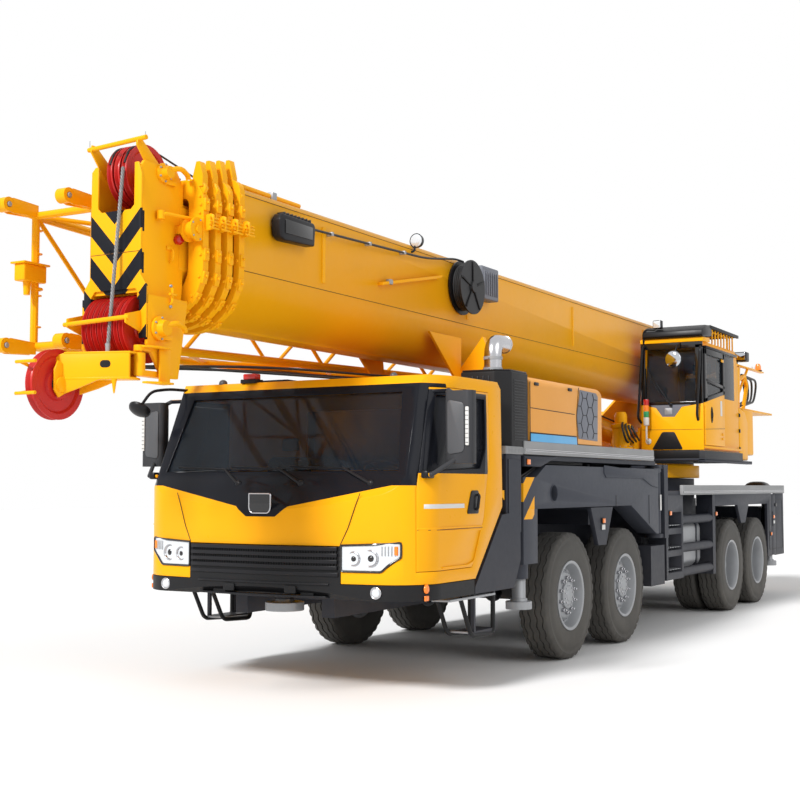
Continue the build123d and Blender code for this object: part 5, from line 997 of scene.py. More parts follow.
    def _roof(self) -> None:
        """Makes the roof's ribs, small domes, block and look-down mirror."""
        self.put(BLACK_SATIN, "kerb_mirror",
            pipe(mm("2700,-1170,2500 2880,-1250,2505 3040,-1320,2480 3085,-1380,2370"), 0.013, 0.06, 2),
            turned(dome((3.09, -1.4, 2.33), X, 0.1, 0.045, 0.012), (3.09, -1.4, 2.33), Y, 55))
        self.put(BLACK_TRIM, "roof_block_base", box(*mm("2600,-600,2540 2720,-440,2575"), 0.006))
        self.put(LAMP_RED, "roof_block", box(*mm("2615,-585,2573 2705,-455,2625"), 0.012))
        self.put(MIRROR_GREY, "roof_domes", dome((2.66, -0.83, 2.542), Z, 0.038, 0.035, 0.01),
            dome((2.66, 0.9, 2.542), Z, 0.03, 0.028, 0.008))
        self.put(CRANE_YELLOW, "roof_rib", box((1.75, -1.15, 2.54), (2.2, 1.15, 2.552)))
        for y in (-0.55, 0.55):
            self.put(CRANE_YELLOW, "roof_rib", box((2.25, y - 0.28, 2.54), (2.6, y + 0.28, 2.553), 0.005))

    def _steps(self) -> None:
        """Makes the chequered pads and the hanging steps."""
        self.pair(BRIGHT_METAL, "step_pads", box(*mm("1800,1220,742 2620,1392,760")))
        for row in range(3):
            for index in range(22):
                y = 1.25 + row * 0.05
                self.pair(BRIGHT_METAL, "step_pads", dome((1.83 + index * 0.036 + row % 2 * 0.018, y, 0.759), Z,
                        0.01, 0.006, 0, 8))
        for y in (1.15, 1.365):
            self.pair(BLACK_TRIM, "hanging_steps", pipe(mm("2400,0,760 2215,0,445 1800,0,425 1800,0,750", 0, y, 0),
                    0.019, 0.06, 2))
        self.pair(BRIGHT_METAL, "step_treads", turned(box(*mm("1830,1150,436 2190,1365,452")), (1.8, 0, 0.43), Y,
                -2.4))

    def _inside(self) -> None:
        """Makes the dashboard, the steering wheel and the seats' boxes."""
        self.put(DASH_GREY, "dashboard", plate(mm("2640,1300 2950,1300 2955,1620 2780,1660 2660,1600"), Y, -1.17,
                1.17, 0.02, 0.03), instead=["cab_interior"])
        self.put(DASH_GREY, "dashboard", plate(mm("2620,1600 2860,1640 2840,1720 2660,1740"), Y, 0.52, 1.04, 0.02,
                0.03))
        centre = Vector((2.54, 0.78, 1.74))
        wheel = hoop(centre, Z, 0.215, 0.015, 40, 10)
        for degrees in (90, 210, 330):
            turn = math.radians(degrees)
            merge(wheel, rod(centre, centre + Vector((0.21 * math.cos(turn), 0.21 * math.sin(turn), 0)), 0.014,
                    0.01, 10))
        merge(wheel, dome(centre - Vector((0, 0, 0.02)), Z, 0.06, 0.03, 0.02))
        self.put(BLACK_SATIN, "steering_wheel", turned(wheel, centre, Y, -35), rod(centre, (2.72, 0.78, 1.5), 0.03))
        for y in (-0.78, 0.78):
            self.put(BLACK_TRIM, "seat_boxes", box((1.8, y - 0.2, 0.96), (2.14, y + 0.2, 1.27), 0.03))


@dataclass
class Seats:
    """The padded seats of both cabs, each by name, body, place and half width."""

    places: tuple[tuple[str, str, Point, float], ...] = (("driver", "carrier", (1.98, 0.78, 1.28), 0.24),
        ("passenger", "carrier", (1.98, -0.78, 1.28), 0.24), ("operator", "upper_works", (-5.47, 0.94, 2.5), 0.23))

    def build(self) -> None:
        """Makes each seat's cushion, back and headrest as padded pieces."""
        for name, body, (x, y, z), half in self.places:
            hinge = (x - 0.2, y, z + 0.1)
            seat = cushion((x - 0.23, y - half, z), (x + 0.25, y + half, z + 0.13), 0.018)
            back = cushion((x - 0.29, y - half, z + 0.14), (x - 0.17, y + half, z + 0.66), 0.018, X)
            rest = cushion((x - 0.33, y - 0.13, z + 0.69), (x - 0.24, y + 0.13, z + 0.86), 0.012, X)
            pads = {"cushion": seat, "back": turned(back, hinge, Y, -6), "headrest": turned(rest, hinge, Y, -4)}
            for part, shape in pads.items():
                pad = make_piece(f"{name}_{part}", shape, SEAT_FABRIC, body)
                soft = pad.modifiers.new("soft", "SUBSURF")
                soft.levels = soft.render_levels = 1


def sheave(at: Spot, r: float, width: float) -> Shape:
    """Makes a grooved rope wheel that turns about Y.

    Args:
        at: Its centre.
        r: Its outer radius.
        width: Its width at the rim.

    Returns:
        The wheel.
    """
    half, web = width / 2, width * 0.2
    right = [(r * 0.24, half), (r * 0.42, half), (r * 0.46, web), (r * 0.76, web), (r * 0.83, half * 0.9),
        (r, half)]
    groove = [(r, half * 0.82), (r * 0.91, half * 0.34), (r * 0.895, 0.0)]
    profile = right + groove + [(radius, -along) for radius, along in reversed(right + groove[:2])]
    return lathe(profile, at, Y, 48, closed=True)


def bolt(at: Spot, axis: Axis, r: float, reach: float) -> Shape:
    """Makes one six-sided bolt head."""
    start = Vector(at)
    return soften(rod(start, start + axis.at(0, 0, reach), r, r * 0.94, 6), r * 0.12, 1)


@dataclass
class BoomHead(Assembly):
    """The boom's head: front plate, guards, pins, sheaves, the hoist ropes and the folding nose arm."""

    plate_x: float = 4.966
    plate_t: float = 0.018
    upper_at: Point = (4.745, 0.0, 3.85)
    upper_r: float = 0.22
    upper_pitch: float = 0.066
    lower_at: Point = (4.85, 0.0, 2.74)
    lower_r: float = 0.24
    lower_pitch: float = 0.048
    nose_at: Point = (5.28, -0.235, 2.34)
    nose_r: float = 0.24
    rope_y: float = 0.066
    rope_r: float = 0.0075
    title = "head"
    home = "section_4"

    def shape(self) -> None:
        """Makes everything at the boom's head."""
        self.rework(HEAD_YELLOW, "shell", "boom_section_4", 0.004, flat=0.02)
        for make in (self._front_plate, self._top_guard, self._pins, self._sheaves, self._ropes, self._side_gear,
                self._nose_arm):
            make()

    def _front_plate(self) -> None:
        """Makes the striped plate with its two horns and two legs."""
        outline = mm("-213,3550 -213,3800 -185,3885 -150,3885 -150,3590 -120,3560")
        outline += mm("150,3560 180,3590 180,3885 215,3885 245,3800 245,3100")
        outline += mm("300,3020 300,2660 235,2660 235,2960 200,3005 -170,3005")
        outline += mm("-205,2960 -205,2660 -270,2660 -270,3020 -213,3100")
        front = plate(outline, X, self.plate_x, self.plate_x + self.plate_t, 0.004)
        self.put(HEAD_YELLOW, "front_plate", front)
        seam = self.plate_x + self.plate_t + 0.001
        # The dark line along the plate's seam is painted shade.
        self.put(SHADE_LINE, "plate_seam", pipe(mm("0,-208,3262 0,240,3262", seam, 0, 0), 0.0022, 0, 1))
        self.put(HEAD_YELLOW, "plate_hooks", *[pipe(mm("0,0,3285 12,0,3268 12,20,3262", seam, y, 0), 0.0035, 0.01)
                for y in (-0.03, 0.06)])

    def _top_guard(self) -> None:
        """Makes the round bars at the upper and lower sheaves, with their brackets and split pins."""
        bar = pipe(mm("4985,-245,4020 4985,285,4045"), 0.017, 0, 3)
        for side, y in ((1, 0.205), (-1, -0.2)):
            self.put(CRANE_YELLOW, "top_guard",
                plate(mm("4995,4050 5005,4000 4860,3830 4700,3800 4720,3870 4955,4050"), Y, y, y + 0.014 * side))
        self.put(CRANE_YELLOW, "top_guard", bar)
        self.put(BRIGHT_METAL, "split_pins", *[pipe([(4.985, y, 4.035), (4.985, y, 4.085)], 0.003, 0, 2)
                for y in (-0.235, 0.275)])
        self.put(CRANE_YELLOW, "lower_guard", pipe(mm("5118,-320,2770 5118,270,2790"), 0.016, 0, 3),
            *[plate(mm("5132,2810 5132,2750 4975,2700 4975,2850"), Y, y, y + 0.014) for y in (-0.29, 0.24)])

    def _pins(self) -> None:
        """Makes the two sheave pins, with their flanges, handles and keeper bolts."""
        for x, y, z, r in ((4.745, 0.228, 3.85, 0.07), (4.85, 0.302, 2.735, 0.085)):
            for sign, end in ((1, 0.075), (-1, 0.055)):
                profile = [(0.0, 0.0), (r, 0.0), (r, 0.022 * sign), (r * 0.72, 0.03 * sign), (r * 0.62, end * sign)]
                flange = lathe(profile + [(0.0, end * sign)], (x, y * sign, z), Y, 28)
                self.put(CRANE_YELLOW, "pins", flange)
                self.put(BRIGHT_METAL, "pin_bolts", nuts((x, (y + 0.022) * sign, z), Y, r * 0.86, 6, 0.008,
                    0.012 * sign))
            self.put(CRANE_YELLOW, "pins", pipe(mm("-10,60,20 -100,85,45 -200,60,20 -210,60,-10", x, y, z), 0.019,
                    0.04, 3), box(*mm("-120,4,-75 -10,26,-45", x, y, z), 0.003))

    def _sheaves(self) -> None:
        """Makes the three sets of red rope wheels."""
        x, _, z = self.upper_at
        self.put(SHEAVE_RED, "wheels", *[sheave((x, self.upper_pitch * index, z), self.upper_r, 0.048)
                for index in (-1, 0, 1)], on="head_sheaves_upper", instead=["upper_sheaves"])
        self.put(CAST_IRON, "sleeve", lathe(oblong(0.0, -0.094, 0.05, 0.094), self.upper_at, Y, 24),
            on="head_sheaves_upper")
        x, _, z = self.lower_at
        self.put(SHEAVE_RED, "wheels", *[sheave((x, self.lower_pitch * (index - 3.5), z), self.lower_r, 0.038)
                for index in range(8)], on="head_sheaves_lower", instead=["lower_sheaves"])
        self.put(CAST_IRON, "sleeve", lathe(oblong(0.0, -0.188, 0.056, 0.188), self.lower_at, Y, 24),
            on="head_sheaves_lower")
        self.put(SHEAVE_RED, "wheel", sheave(self.nose_at, self.nose_r, 0.064), on="nose_sheave",
            instead=["nose_sheave"])
        self.put(CAST_IRON, "hub", lathe(oblong(0.03, -0.033, 0.062, 0.033), self.nose_at, Y, 24, closed=True),
            on="nose_sheave")

    def _ropes(self) -> None:
        """Makes the hanging bright rope, the hoist rope over the top and the three ropes below."""
        top, bottom = Vector((4.972, self.rope_y, 3.865)), Vector((5.098, self.rope_y, 2.59))
        across = (bottom - top).normalized().cross(Vector((0, 1, 0)))
        lay, strands, steps = 0.075, 3, 7
        count = int((bottom - top).length / lay * steps)
        for strand in range(strands):
            line = []
            for index in range(count + 1):
                turn = math.tau * (index / steps + strand / strands)
                line.append(top.lerp(bottom, index / count) + across * math.cos(turn) * 0.0075 + Vector((0,
                            math.sin(turn) * 0.0075, 0)))
            self.put(ROPE_STEEL, "hanging_rope", pipe(line, 0.007, 0.0, 1))
        self.put(BRIGHT_METAL, "rope_socket", lathe(mm("0,-50 13,-50 19,30 0,30"), bottom, Z, 16),
            pipe([bottom + Vector((0, -0.02, -0.05)), bottom + Vector((0, -0.02, -0.1)),
                    bottom + Vector((0, 0.02, -0.1)), bottom + Vector((0, 0.02, -0.05))], 0.007, 0.02, 3))
        for y in (-self.upper_pitch, self.upper_pitch):
            self.put(HOSE_BLACK, "hoist_rope",
                pipe(mm("4960,0,3900 4910,0,4020 4745,0,4064 4560,0,4030 4200,0,3955", 0, y, 0), self.rope_r, 0.08,
                    3))
            self.put(HOSE_BLACK, "hoist_rope", pipe([(4.165, y, 3.948), (3.2, y, 3.895), (-6.7, y, 3.895),
                        (-6.95, y * 2, 3.86)], self.rope_r, 0.1, 3), on="boom")
        for y, sag in ((-0.1, 0.05), (0.03, 0.02), (0.12, 0.08)):
            line = [(4.68, y, 2.5), (3.2, y * 0.9, 2.64 - sag), (1.4, y * 0.7, 2.7 - sag), (-1.35, y * 0.5, 2.79)]
            self.put(HOSE_BLACK, "lower_ropes", pipe(line, 0.011, 0.9, 3))
        self.put(CRANE_YELLOW, "rope_anchor", box(*mm("-1420,-90,2765 -1300,90,2812"), 0.006))

    def _side_gear(self) -> None:
        """Makes the lamp, the latch, the drum and the rods on the head's left side."""
        self.put(LAMP_RED, "ball_lamp", lathe(mm("0,0 30,0 36,20 33,40 20,56 0,60"), (4.591, 0.228, 3.399), Y, 20))
        self.put(CRANE_YELLOW, "latches", pipe(mm("4660,232,3330 4660,262,3310 4665,262,3250 4660,232,3230"), 0.008,
                0.02, 3), box(*mm("4620,226,3315 4700,240,3345"), 0.003),
            pipe(mm("4736,300,2915 4736,322,2930 4736,322,3030"), 0.01, 0.02, 3),
            pipe(mm("4700,326,2985 4770,326,2985"), 0.009, 0, 3))
        self.put(BRIGHT_METAL, "latch_bolts", *[bolt((4.736, 0.3, z), Y, 0.012, 0.014) for z in (2.9, 3.045)])
        self.put(CRANE_YELLOW, "cable_drum", lathe(mm("0,0 85,0 85,14 60,20 60,75 85,81 85,95 30,95 30,110 0,110"),
                (4.552, 0.3, 3.47), Y, 32), box(*mm("4500,225,3440 4600,305,3500"), 0.006))
        self.put(BRIGHT_METAL, "drum_bolts", *[bolt((4.552 + 0.072 * math.cos(turn), 0.395,
                        3.47 + 0.072 * math.sin(turn)), Y, 0.007, 0.006) for turn in (0.6, 1.9, 3.1, 4.4, 5.5)])
        rods = [pipe([(4.46, 0.325 + 0.01 * index, 3.57 - 0.018 * index),
                    (4.417, 0.34 + 0.01 * index, 3.57 - 0.018 * index)], 0.008, 0, 2) for index in range(3)]
        self.put(CRANE_YELLOW, "trip_rod", pipe(mm("4800,245,3545 4790,290,3550 4460,330,3555"), 0.013, 0.03, 3),
            lathe(oblong(0.0, -0.03, 0.028, 0.03), (4.8, 0.262, 3.54), Z, 20), *rods)

    def _nose_arm(self) -> None:
        """Makes the folding arm that carries the nose sheave."""

        def front(y: float) -> float:
            """Returns the x of the arm's front web at a y."""
            return 5.335 - (y + 0.4) * 0.36

        outer = mm(
            "-400,2430 -300,2520 -160,2556 268,2556 268,2380 80,2376 -80,2310 -300,2228 -370,2240 "
            "-404,2330"
        )
        inner = mm("-180,2556 200,2556 200,2380 80,2376 -60,2318 -180,2280")
        for low, high, outline in ((0.0, 0.016, outer), (-0.165, -0.15, inner)):
            web = plate(outline, X, low, high)
            for vert in web.verts:
                vert.co.x += front(vert.co.y)
            self.put(CRANE_YELLOW, "arm", web, on="nose_arm", instead=["nose_arm"] if low == 0.0 else ())
        for z in (2.546, 2.372):
            cover = plate(mm("-170,-150 235,-150 275,-60 275,18 -170,18"), Z, z, z + 0.014)
            for vert in cover.verts:
                vert.co.x, vert.co.y = front(vert.co.x) + vert.co.y, vert.co.x
            bmesh.ops.recalc_face_normals(cover, faces=cover.faces)
            self.put(CRANE_YELLOW, "covers", cover, on="nose_arm")
        # A black patch on the arm's web stands for the hand hole: painted shade in the opening.
        rim = mm("75,2500 75,2450 145,2450 145,2500")
        hole = plate(rim, X, 0.0155, 0.0185, 0.001, 0.022, 1)
        for vert in hole.verts:
            vert.co.x += front(vert.co.y)
        self.put(BLACK_TRIM, "hand_hole", hole, on="nose_arm")
        self.put(CRANE_YELLOW, "hinge_barrel", lathe(oblong(0.022, -0.075, 0.04, 0.075), (5.0, 0.262, 2.48), Z, 24,
                closed=True), on="nose_arm")
        x, y, z = self.nose_at
        for side, y0 in ((-1, y - 0.045), (1, y + 0.045)):
            self.put(CRANE_YELLOW, "cheeks", plate(mm("30,2500 -100,2450 -80,2300 20,2250 62,2300 62,2440", x, 0),
                    Y, y0, y0 + 0.014 * side), lathe([(0.0, 0.0), (0.052, 0.0), (0.052, 0.028 * side),
                        (0.03, 0.034 * side), (0.0, 0.034 * side)], (x, y0, z), Y, 24), on="nose_arm")
        self.put(CRANE_YELLOW, "pin_boss", lathe(mm("0,0 48,0 48,45 32,50 30,20 0,20"),
                (front(-0.317) + 0.014, -0.317, 2.352), X, 28), on="nose_arm")
        for z0, z1 in ((2.478, 2.412), (2.268, 2.312)):
            self.put(CRANE_YELLOW, "sheave_guards", pipe(mm("262,-330,0 262,-150,0", x, 0, z0), 0.012, 0, 3),
                pipe([(x + 0.262, -0.29, z0), (x + 0.03, -0.29, z1)], 0.012, 0, 3), on="nose_arm")
        self.put(CRANE_YELLOW, "peg", lathe(mm("0,-100 6,-90 16,-20 20,0 0,0"), (front(0.16), 0.16, 2.372), Z, 16),
            on="nose_arm")
        self.put(CRANE_YELLOW, "hinge_shelf", plate(mm("4800,305 5020,305 5020,345 4930,400 4800,400"), Z, 2.346,
                2.36), plate(mm("4800,305 5030,305 5030,330 4930,375 4800,375"), Z, 2.59, 2.604),
            plate(oblong(4.76, 2.36, 4.87, 2.59), Y, 0.318, 0.332))


@dataclass
class Boom(Assembly):
    """The boom's collars, pads, rods, lamps and hose reel."""

    collar_x: float = 4.1
    collar_pitch: float = 0.115
    collar_t: float = 0.06
    collar_half: float = 0.462
    half_step: float = 0.02
    belly_z: float = 3.23
    belly_y: float = 0.02
    side_y: float = 0.42
    bodies = ("boom", "section_1", "section_2", "section_3")
    title = "boom"
    home = "boom"

    def shape(self) -> None:
        """Makes everything on the boom's outside."""
        nodes = ("boom_base", "boom_section_1", "boom_section_2", "boom_section_3")
        for body, node in zip(self.bodies, nodes):
            self.rework(CRANE_YELLOW, "shell", node, 0.003, 1, flat=0.02, on=body)
        for index, body in enumerate(self.bodies):
            self._collar(body, self.collar_x + self.collar_pitch * index, self.collar_half - self.half_step * index)
        for make in (self._lamps, self._reel, self._rails):
            make()

    def _collar(self, body: str, x: float, half: float) -> None:
        """Makes the pads, bolts and brackets of one collar.

        Args:
            body: The section's body.
            x: The collar's rear face.
            half: Half of its width.
        """
        r = half - self.belly_y
        spots = [(half, 3.66, 0.0), (half, 3.3, 0.0)]
        for degrees in (14, 38, 62):
            turn = math.radians(degrees)
            spots.append((self.belly_y + r * math.cos(turn), self.belly_z - r * math.sin(turn), degrees))
        for y, z, degrees in spots:
            pad = box((x + 0.004, y - 0.012, z - 0.045), (x + self.collar_t - 0.004, y + 0.016, z + 0.045))
            stud = bolt((x + self.collar_t / 2, y + 0.014, z + 0.012), Y, 0.012, 0.016)
            face = bolt((x + self.collar_t - 0.002, y - 0.022, z), X, 0.013, 0.013)
            for piece in (pad, stud, face):
                self.mirrored(CRANE_YELLOW, "collar_pads", turned(piece, (x, y, z), X, -degrees), on=body)
        self.mirrored(CRANE_YELLOW, "collar_pads", plate(mm("-150,3780 -10,3740 10,3780 -20,3835 -140,3860", half,
                    0), X, x + 0.012, x + self.collar_t - 0.012, 0.004), on=body)
        studs = [bolt((x + self.collar_t - 0.002, half - 0.03, z), X, 0.011, 0.014) for z in (3.6, 3.72)]
        for stud in studs:
            self.mirrored(CRANE_YELLOW, "collar_pads", stud, on=body)
        for row, z in enumerate((3.56, 3.536, 3.512, 3.488)):
            self.put(CRANE_YELLOW, "trip_rods", pipe(mm("-45,0,0 62,0,0", x, half + 0.052 + 0.006 * (row % 2), z),
                    0.008, 0, 2), on=body)
        self.put(CRANE_YELLOW, "trip_rods", plate(mm("-6,3470 66,3478 72,3580 45,3592 -6,3585", half, 0), X,
                x + 0.018, x + 0.034), on=body)

    def _lamps(self) -> None:
        """Makes the black box lamp, the work lamp on its stalk and the grey valve box."""
        y = self.side_y
        foot = box(*mm("3420,-2,3585 3540,16,3675", 0, y, 0), 0.003)
        self.put(BLACK_SATIN, "box_lamp",
            plate(mm("3235,3700 3260,3730 3690,3735 3725,3690 3715,3555 3660,3530 3250,3545"), Y, y + 0.012,
                y + 0.1, 0.014, 0.0, 3), *[box((3.24 + 0.05 * index, y + 0.02, 3.728),
                    (3.255 + 0.05 * index, y + 0.09, 3.752), 0.002) for index in range(1, 9)], foot)
        self.put(BLACK_GLOSS, "box_lamp_lens", plate(mm("3290,3690 3660,3695 3660,3585 3290,3590"), Y, y + 0.098,
                y + 0.108, 0.004))
        self.put(BLACK_SATIN, "work_lamp", pipe(mm("1510,-5,3790 1490,20,3800 1470,20,3860", 0, y, 0), 0.01, 0.02,
                3), lathe(mm("0,-50 30,-48 62,-10 68,30 0,30"), (1.445, y + 0.03, 3.9), X, 24))
        self.put(LAMP_CLEAR, "work_lamp_glass", dome((1.475, y + 0.03, 3.9), X, 0.06, 0.012))
        self.put(PANEL_GREY, "valve_box", box(*mm("-100,-10,3520 280,120,3850", 0, y, 0), 0.018, 3),
            *[box((-0.06 + 0.05 * index, y + 0.118, 3.56), (-0.045 + 0.05 * index, y + 0.13, 3.8), 0.003)
                for index in range(7)])

    def _reel(self) -> None:
        """Makes the hose reel with its turns of hose."""
        at = (0.53, self.side_y + 0.01, 3.59)
        disc = mm("0,0 265,0 265,14 150,20 150,110 265,116 265,130 60,130 50,150 0,150")
        self.put(BLACK_SATIN, "hose_reel", lathe(disc, at, Y, 40))
        for layer in range(4):
            for row in range(5):
                centre = (at[0], at[1] + 0.027 + 0.019 * row, at[2])
                self.put(HOSE_BLACK, "hose", hoop(centre, Y, 0.16 + 0.019 * layer, 0.0095, 36, 6))
        self.put(BLACK_TRIM, "reel_spokes", *[turned(box(*mm("-12,128,50 12,140,250", at[0], at[1], at[2]), 0.003),
                    at, Y, 72 * index) for index in range(5)])
        self.put(HOSE_BLACK, "boom_cable", pipe(mm("600,60,3835 750,50,3840 1300,30,3760 3200,30,3700", 0, at[1],
                    0), 0.01, 0.2, 3))
        for x in (1.7, 2.3, 2.9):
            self.put(BRIGHT_METAL, "cable_clips", box(*mm("0,-4,-16 30,56,16", x, self.side_y,
                        3.76 - 0.06 * (x - 1.3) / 1.9), 0.003))

    def _rails(self) -> None:
        """Makes the lifting pole, the side ledge, the painted shade lines along the long welds and the stiffeners.
        """
        self.put(CRANE_YELLOW, "lifting_pole", pipe(mm("4085,330,3905 3200,330,3898"), 0.02, 0, 3))
        self.put(BRIGHT_METAL, "pole_clamp", box(*mm("3550,295,3868 3610,365,3932"), 0.006))
        self.put(CRANE_YELLOW, "side_ledge", plate(mm("2100,3430 2105,3400 1020,3615 985,3650"), Y,
                self.side_y - 0.004, self.side_y + 0.055, 0.004))
        self.put(BRIGHT_METAL, "ledge_clamp", box(*mm("1945,20,3425 2005,62,3470", 0, self.side_y, 0), 0.006))
        # Dark lines along the boom's upper and lower welds: painted shade.
        for z in (3.815, 3.245):
            self.mirrored(SHADE_LINE, "weld_lines", pipe(mm("4080,0.5,0 -6900,0.5,0", 0, self.side_y, z), 0.003, 0,
                    1))
        for x in (2.95, 0.35, -2.4, -4.9):
            self.mirrored(CRANE_YELLOW, "stiffeners", box(*mm("0,-2,3300 45,6,3760", x, self.side_y, 0), 0.002, 1))


@dataclass
class FlyJib(Assembly):
    """The lattice jib stowed on the boom's right side."""

    outer_y: float = -1.12
    inner_y: float = -0.52
    title = "jib"
    home = "boom"

    def shape(self) -> None:
        """Makes the fork plates and pins, the box lamp and the rings of its post."""
        self.rework(CRANE_YELLOW, "lattice", "fly_jib", 0.0, flat=0.01)
        for y in (self.outer_y, self.inner_y):
            for x, z in ((4.93, 3.74), (4.93, 2.69)):
                for side in (-0.038, 0.026):
                    self.put(CRANE_YELLOW, "fork_ears",
                        plate(mm("-300,-45 -50,-58 45,-35 55,0 45,35 -50,58 -300,45", x, z), Y, y + side,
                            y + side + 0.012))
                self.put(BRIGHT_METAL, "fork_pins", lathe(mm("0,-55 16,-55 20,-50 20,50 16,55 0,55"), (x, y, z), Y,
                        16))
        x, y, z = 4.6, self.outer_y, 3.25
        self.put(CRANE_YELLOW, "box_lamp", box(*mm("-30,-35,-60 200,75,70", x, y, z), 0.012, 3),
            box(*mm("-45,-55,68 220,95,84", x, y, z), 0.005),
            lathe(mm("0,-100 24,-100 30,0 0,0"), (x + 0.12, y + 0.02, z - 0.06), Z, 16),
            hoop((x, y, z - 0.1), Z, 0.036, 0.012, 24, 8))
        for height in (2.86, 3.1, 3.42, 3.6):
            self.put(CRANE_YELLOW, "post_rings", hoop((x, y, height), Z, 0.034, 0.006, 24, 6))


def slats(low: Spot, high: Spot, count: int, thick: float) -> Shape:
    """Makes a row of level slats, stacked along Z.

    Args:
        low: The row's lowest corner.
        high: Its highest corner.
        count: How many slats it has.
        thick: A slat's height.

    Returns:
        The slats.
    """
    whole = bmesh.new()
    step = (high[2] - low[2]) / count
    for index in range(count):
        z = low[2] + step * (index + 0.5)
        merge(whole, box((low[0], low[1], z - thick / 2), (high[0], high[1], z + thick / 2), 0.002, 1))
    return whole


@dataclass
class EngineDeck(Assembly):
    """The engine hood, intake columns, exhaust, silver rails and deck plates."""

    hood_rear: float = -0.76
    side: float = 1.38
    title = "deck"

    def shape(self) -> None:
        """Makes everything on the deck."""
        for make in (self._hood, self._intakes, self._exhaust, self._rails, self._deck):
            make()

    def _hood(self) -> None:
        """Rounds the hood and adds its seams, blue band, hexagon panel and roof louvres."""
        # The hood takes the darker, orange shaded yellow: painted shade.
        self.rework(HOOD_SHADED_YELLOW, "hood", "engine_hood", 0.022, 3, flat=0.05)
        y = self.side
        crease = mm("1036,1,2362 -20,1,2352", 0, y, 0)
        front = mm("1036,1,2130 1036,1,2600", 0, y, 0)
        edge = mm("-135,1,2620 -70,1,2340 -100,1,2040", 0, y, 0)
        for line in (crease, front, edge):
            self.pair(BLACK_TRIM, "hood_seams", pipe(line, 0.0035, 0.05, 1))
        self.pair(BLACK_TRIM, "band_border", plate(mm("1040,2142 -66,2142 -92,2030 1040,2030"), Y, y - 0.002,
                y + 0.004, 0.001))
        self.pair(LIGHT_BLUE, "blue_band", plate(mm("1030,2130 -62,2130 -82,2043 1030,2043"), Y, y, y + 0.006,
                0.001))
        self.pair(PANEL_GREY, "hood_panel", plate(mm("-165,2600 -590,2592 -640,2560 -622,2108 -120,2118 -75,2340"),
                Y, y - 0.002, y + 0.007, 0.002))
        self._hexagons(y + 0.0075)
        for x in (0.9, 0.1):
            self.pair(BLACK_SATIN, "hood_catches", plate(oblong(x - 0.045, 2.6, x + 0.045, 2.57), Y, y, y + 0.012,
                    0.003, 0.01))
        for x0 in (-0.55, -0.05, 0.45):
            for index in range(9):
                self.put(BLACK_TRIM, "roof_louvres", box((x0 + 0.03 * index, -0.95, 2.648),
                        (x0 + 0.012 + 0.03 * index, 0.95, 2.668), 0.002, 1))
            rim = box(*mm("-30,-980,2645 285,980,2655", x0, 0, 0), 0.003)
            # The louvre rims take the hood's shaded yellow too: painted shade.
            self.put(HOOD_SHADED_YELLOW, "louvre_rims", rim)
        self.put(BLACK_TRIM, "rear_louvres", slats((self.hood_rear - 0.012, -0.85, 2.06),
                (self.hood_rear + 0.002, 0.85, 2.56), 14, 0.018))

    def _hexagons(self, y: float) -> None:
        """Lays the black hexagon lines on the hood's panel.

        Args:
            y: How far out the lines lie.
        """
        side, left, right, low, high = 0.098, -0.615, -0.105, 2.125, 2.585
        for column in range(-5, 1):
            for row in range(0, 4):
                cx = column * side * 1.5 + 0.02
                cz = 2.1 + row * side * 1.732 + (side * 0.866 if column % 2 else 0.0)
                for corner in range(3):
                    first, last = math.tau * corner / 6, math.tau * (corner + 1) / 6
                    start = Vector((cx + side * math.cos(first), y, cz + side * math.sin(first)))
                    end = Vector((cx + side * math.cos(last), y, cz + side * math.sin(last)))
                    inside = [left < point.x < right and low < point.z < high for point in (start, end)]
                    if not any(inside):
                        continue
                    if not all(inside):
                        kept, lost = (start, end) if inside[0] else (end, start)
                        while not (left < lost.x < right and low < lost.z < high):
                            lost = lost.lerp(kept, 0.1)
                        start, end = kept, lost
                    self.pair(BLACK_TRIM, "hexagon_lines", pipe([start, end], 0.0042, 0.0, 1))

    def _intakes(self) -> None:
        """Makes the chamfered, ribbed intake columns."""
        x0, x1, y0, y1 = 1.045, 1.528, 0.93, 1.378
        column = plate([(x0, y0), (x1, y0), (x1, y1 - 0.12), (x1 - 0.1, y1), (x0 + 0.03, y1), (x0, y1 - 0.03)], Z,
            1.942, 2.664, 0.014, 0.0, 3)
        self.put(BLACK_TRIM, "intake_columns", column, flipped(column), instead=["intake_columns"])
        for index in range(5):
            self.pair(BLACK_SATIN, "front_ribs", box(*mm("-2,0,2020 12,20,2620", x1, 0.985 + 0.052 * index, 0)))
        self.pair(BLACK_SATIN, "side_slats", slats((x0 + 0.08, y1 - 0.002, 2.05), (x1 - 0.15, y1 + 0.004, 2.6), 22,
                0.01))
        self.pair(BLACK_SATIN, "column_lids", plate([(x0 + 0.01, y0 + 0.01), (x1 - 0.01, y0 + 0.01),
                    (x1 - 0.01, y1 - 0.13), (x1 - 0.11, y1 - 0.01), (x0 + 0.03, y1 - 0.01)], Z, 2.664, 2.68, 0.006))

    def _exhaust(self) -> None:
        """Makes the bright elbow with its clamp bands."""
        x, y, r, top = 1.28, 1.13, 0.08, 2.945
        self.put(CHROME, "exhaust", pipe([(x, y, 2.62), (x, y, top), (x - 0.24, y, top)], r, 0.17, 4),
            hoop((x - 0.24, y, top), X, r - 0.004, 0.008, 32, 8), instead=["exhaust_pipe"])
        # A black disc closes the pipe's end: the bore's soot and painted shade inside it.
        self.put(BLACK_TRIM, "exhaust_bore", lathe(oblong(0.0, 0.0, r - 0.012, -0.006), (x - 0.24, y, top), X, 28))
        for z in (2.7, 2.8):
            self.put(BRIGHT_METAL, "clamps", lathe(oblong(r - 0.002, -0.014, r + 0.006, 0.014), (x, y, z), Z, 28,
                    closed=True), bolt((x + r + 0.004, y, z), X, 0.008, 0.016))

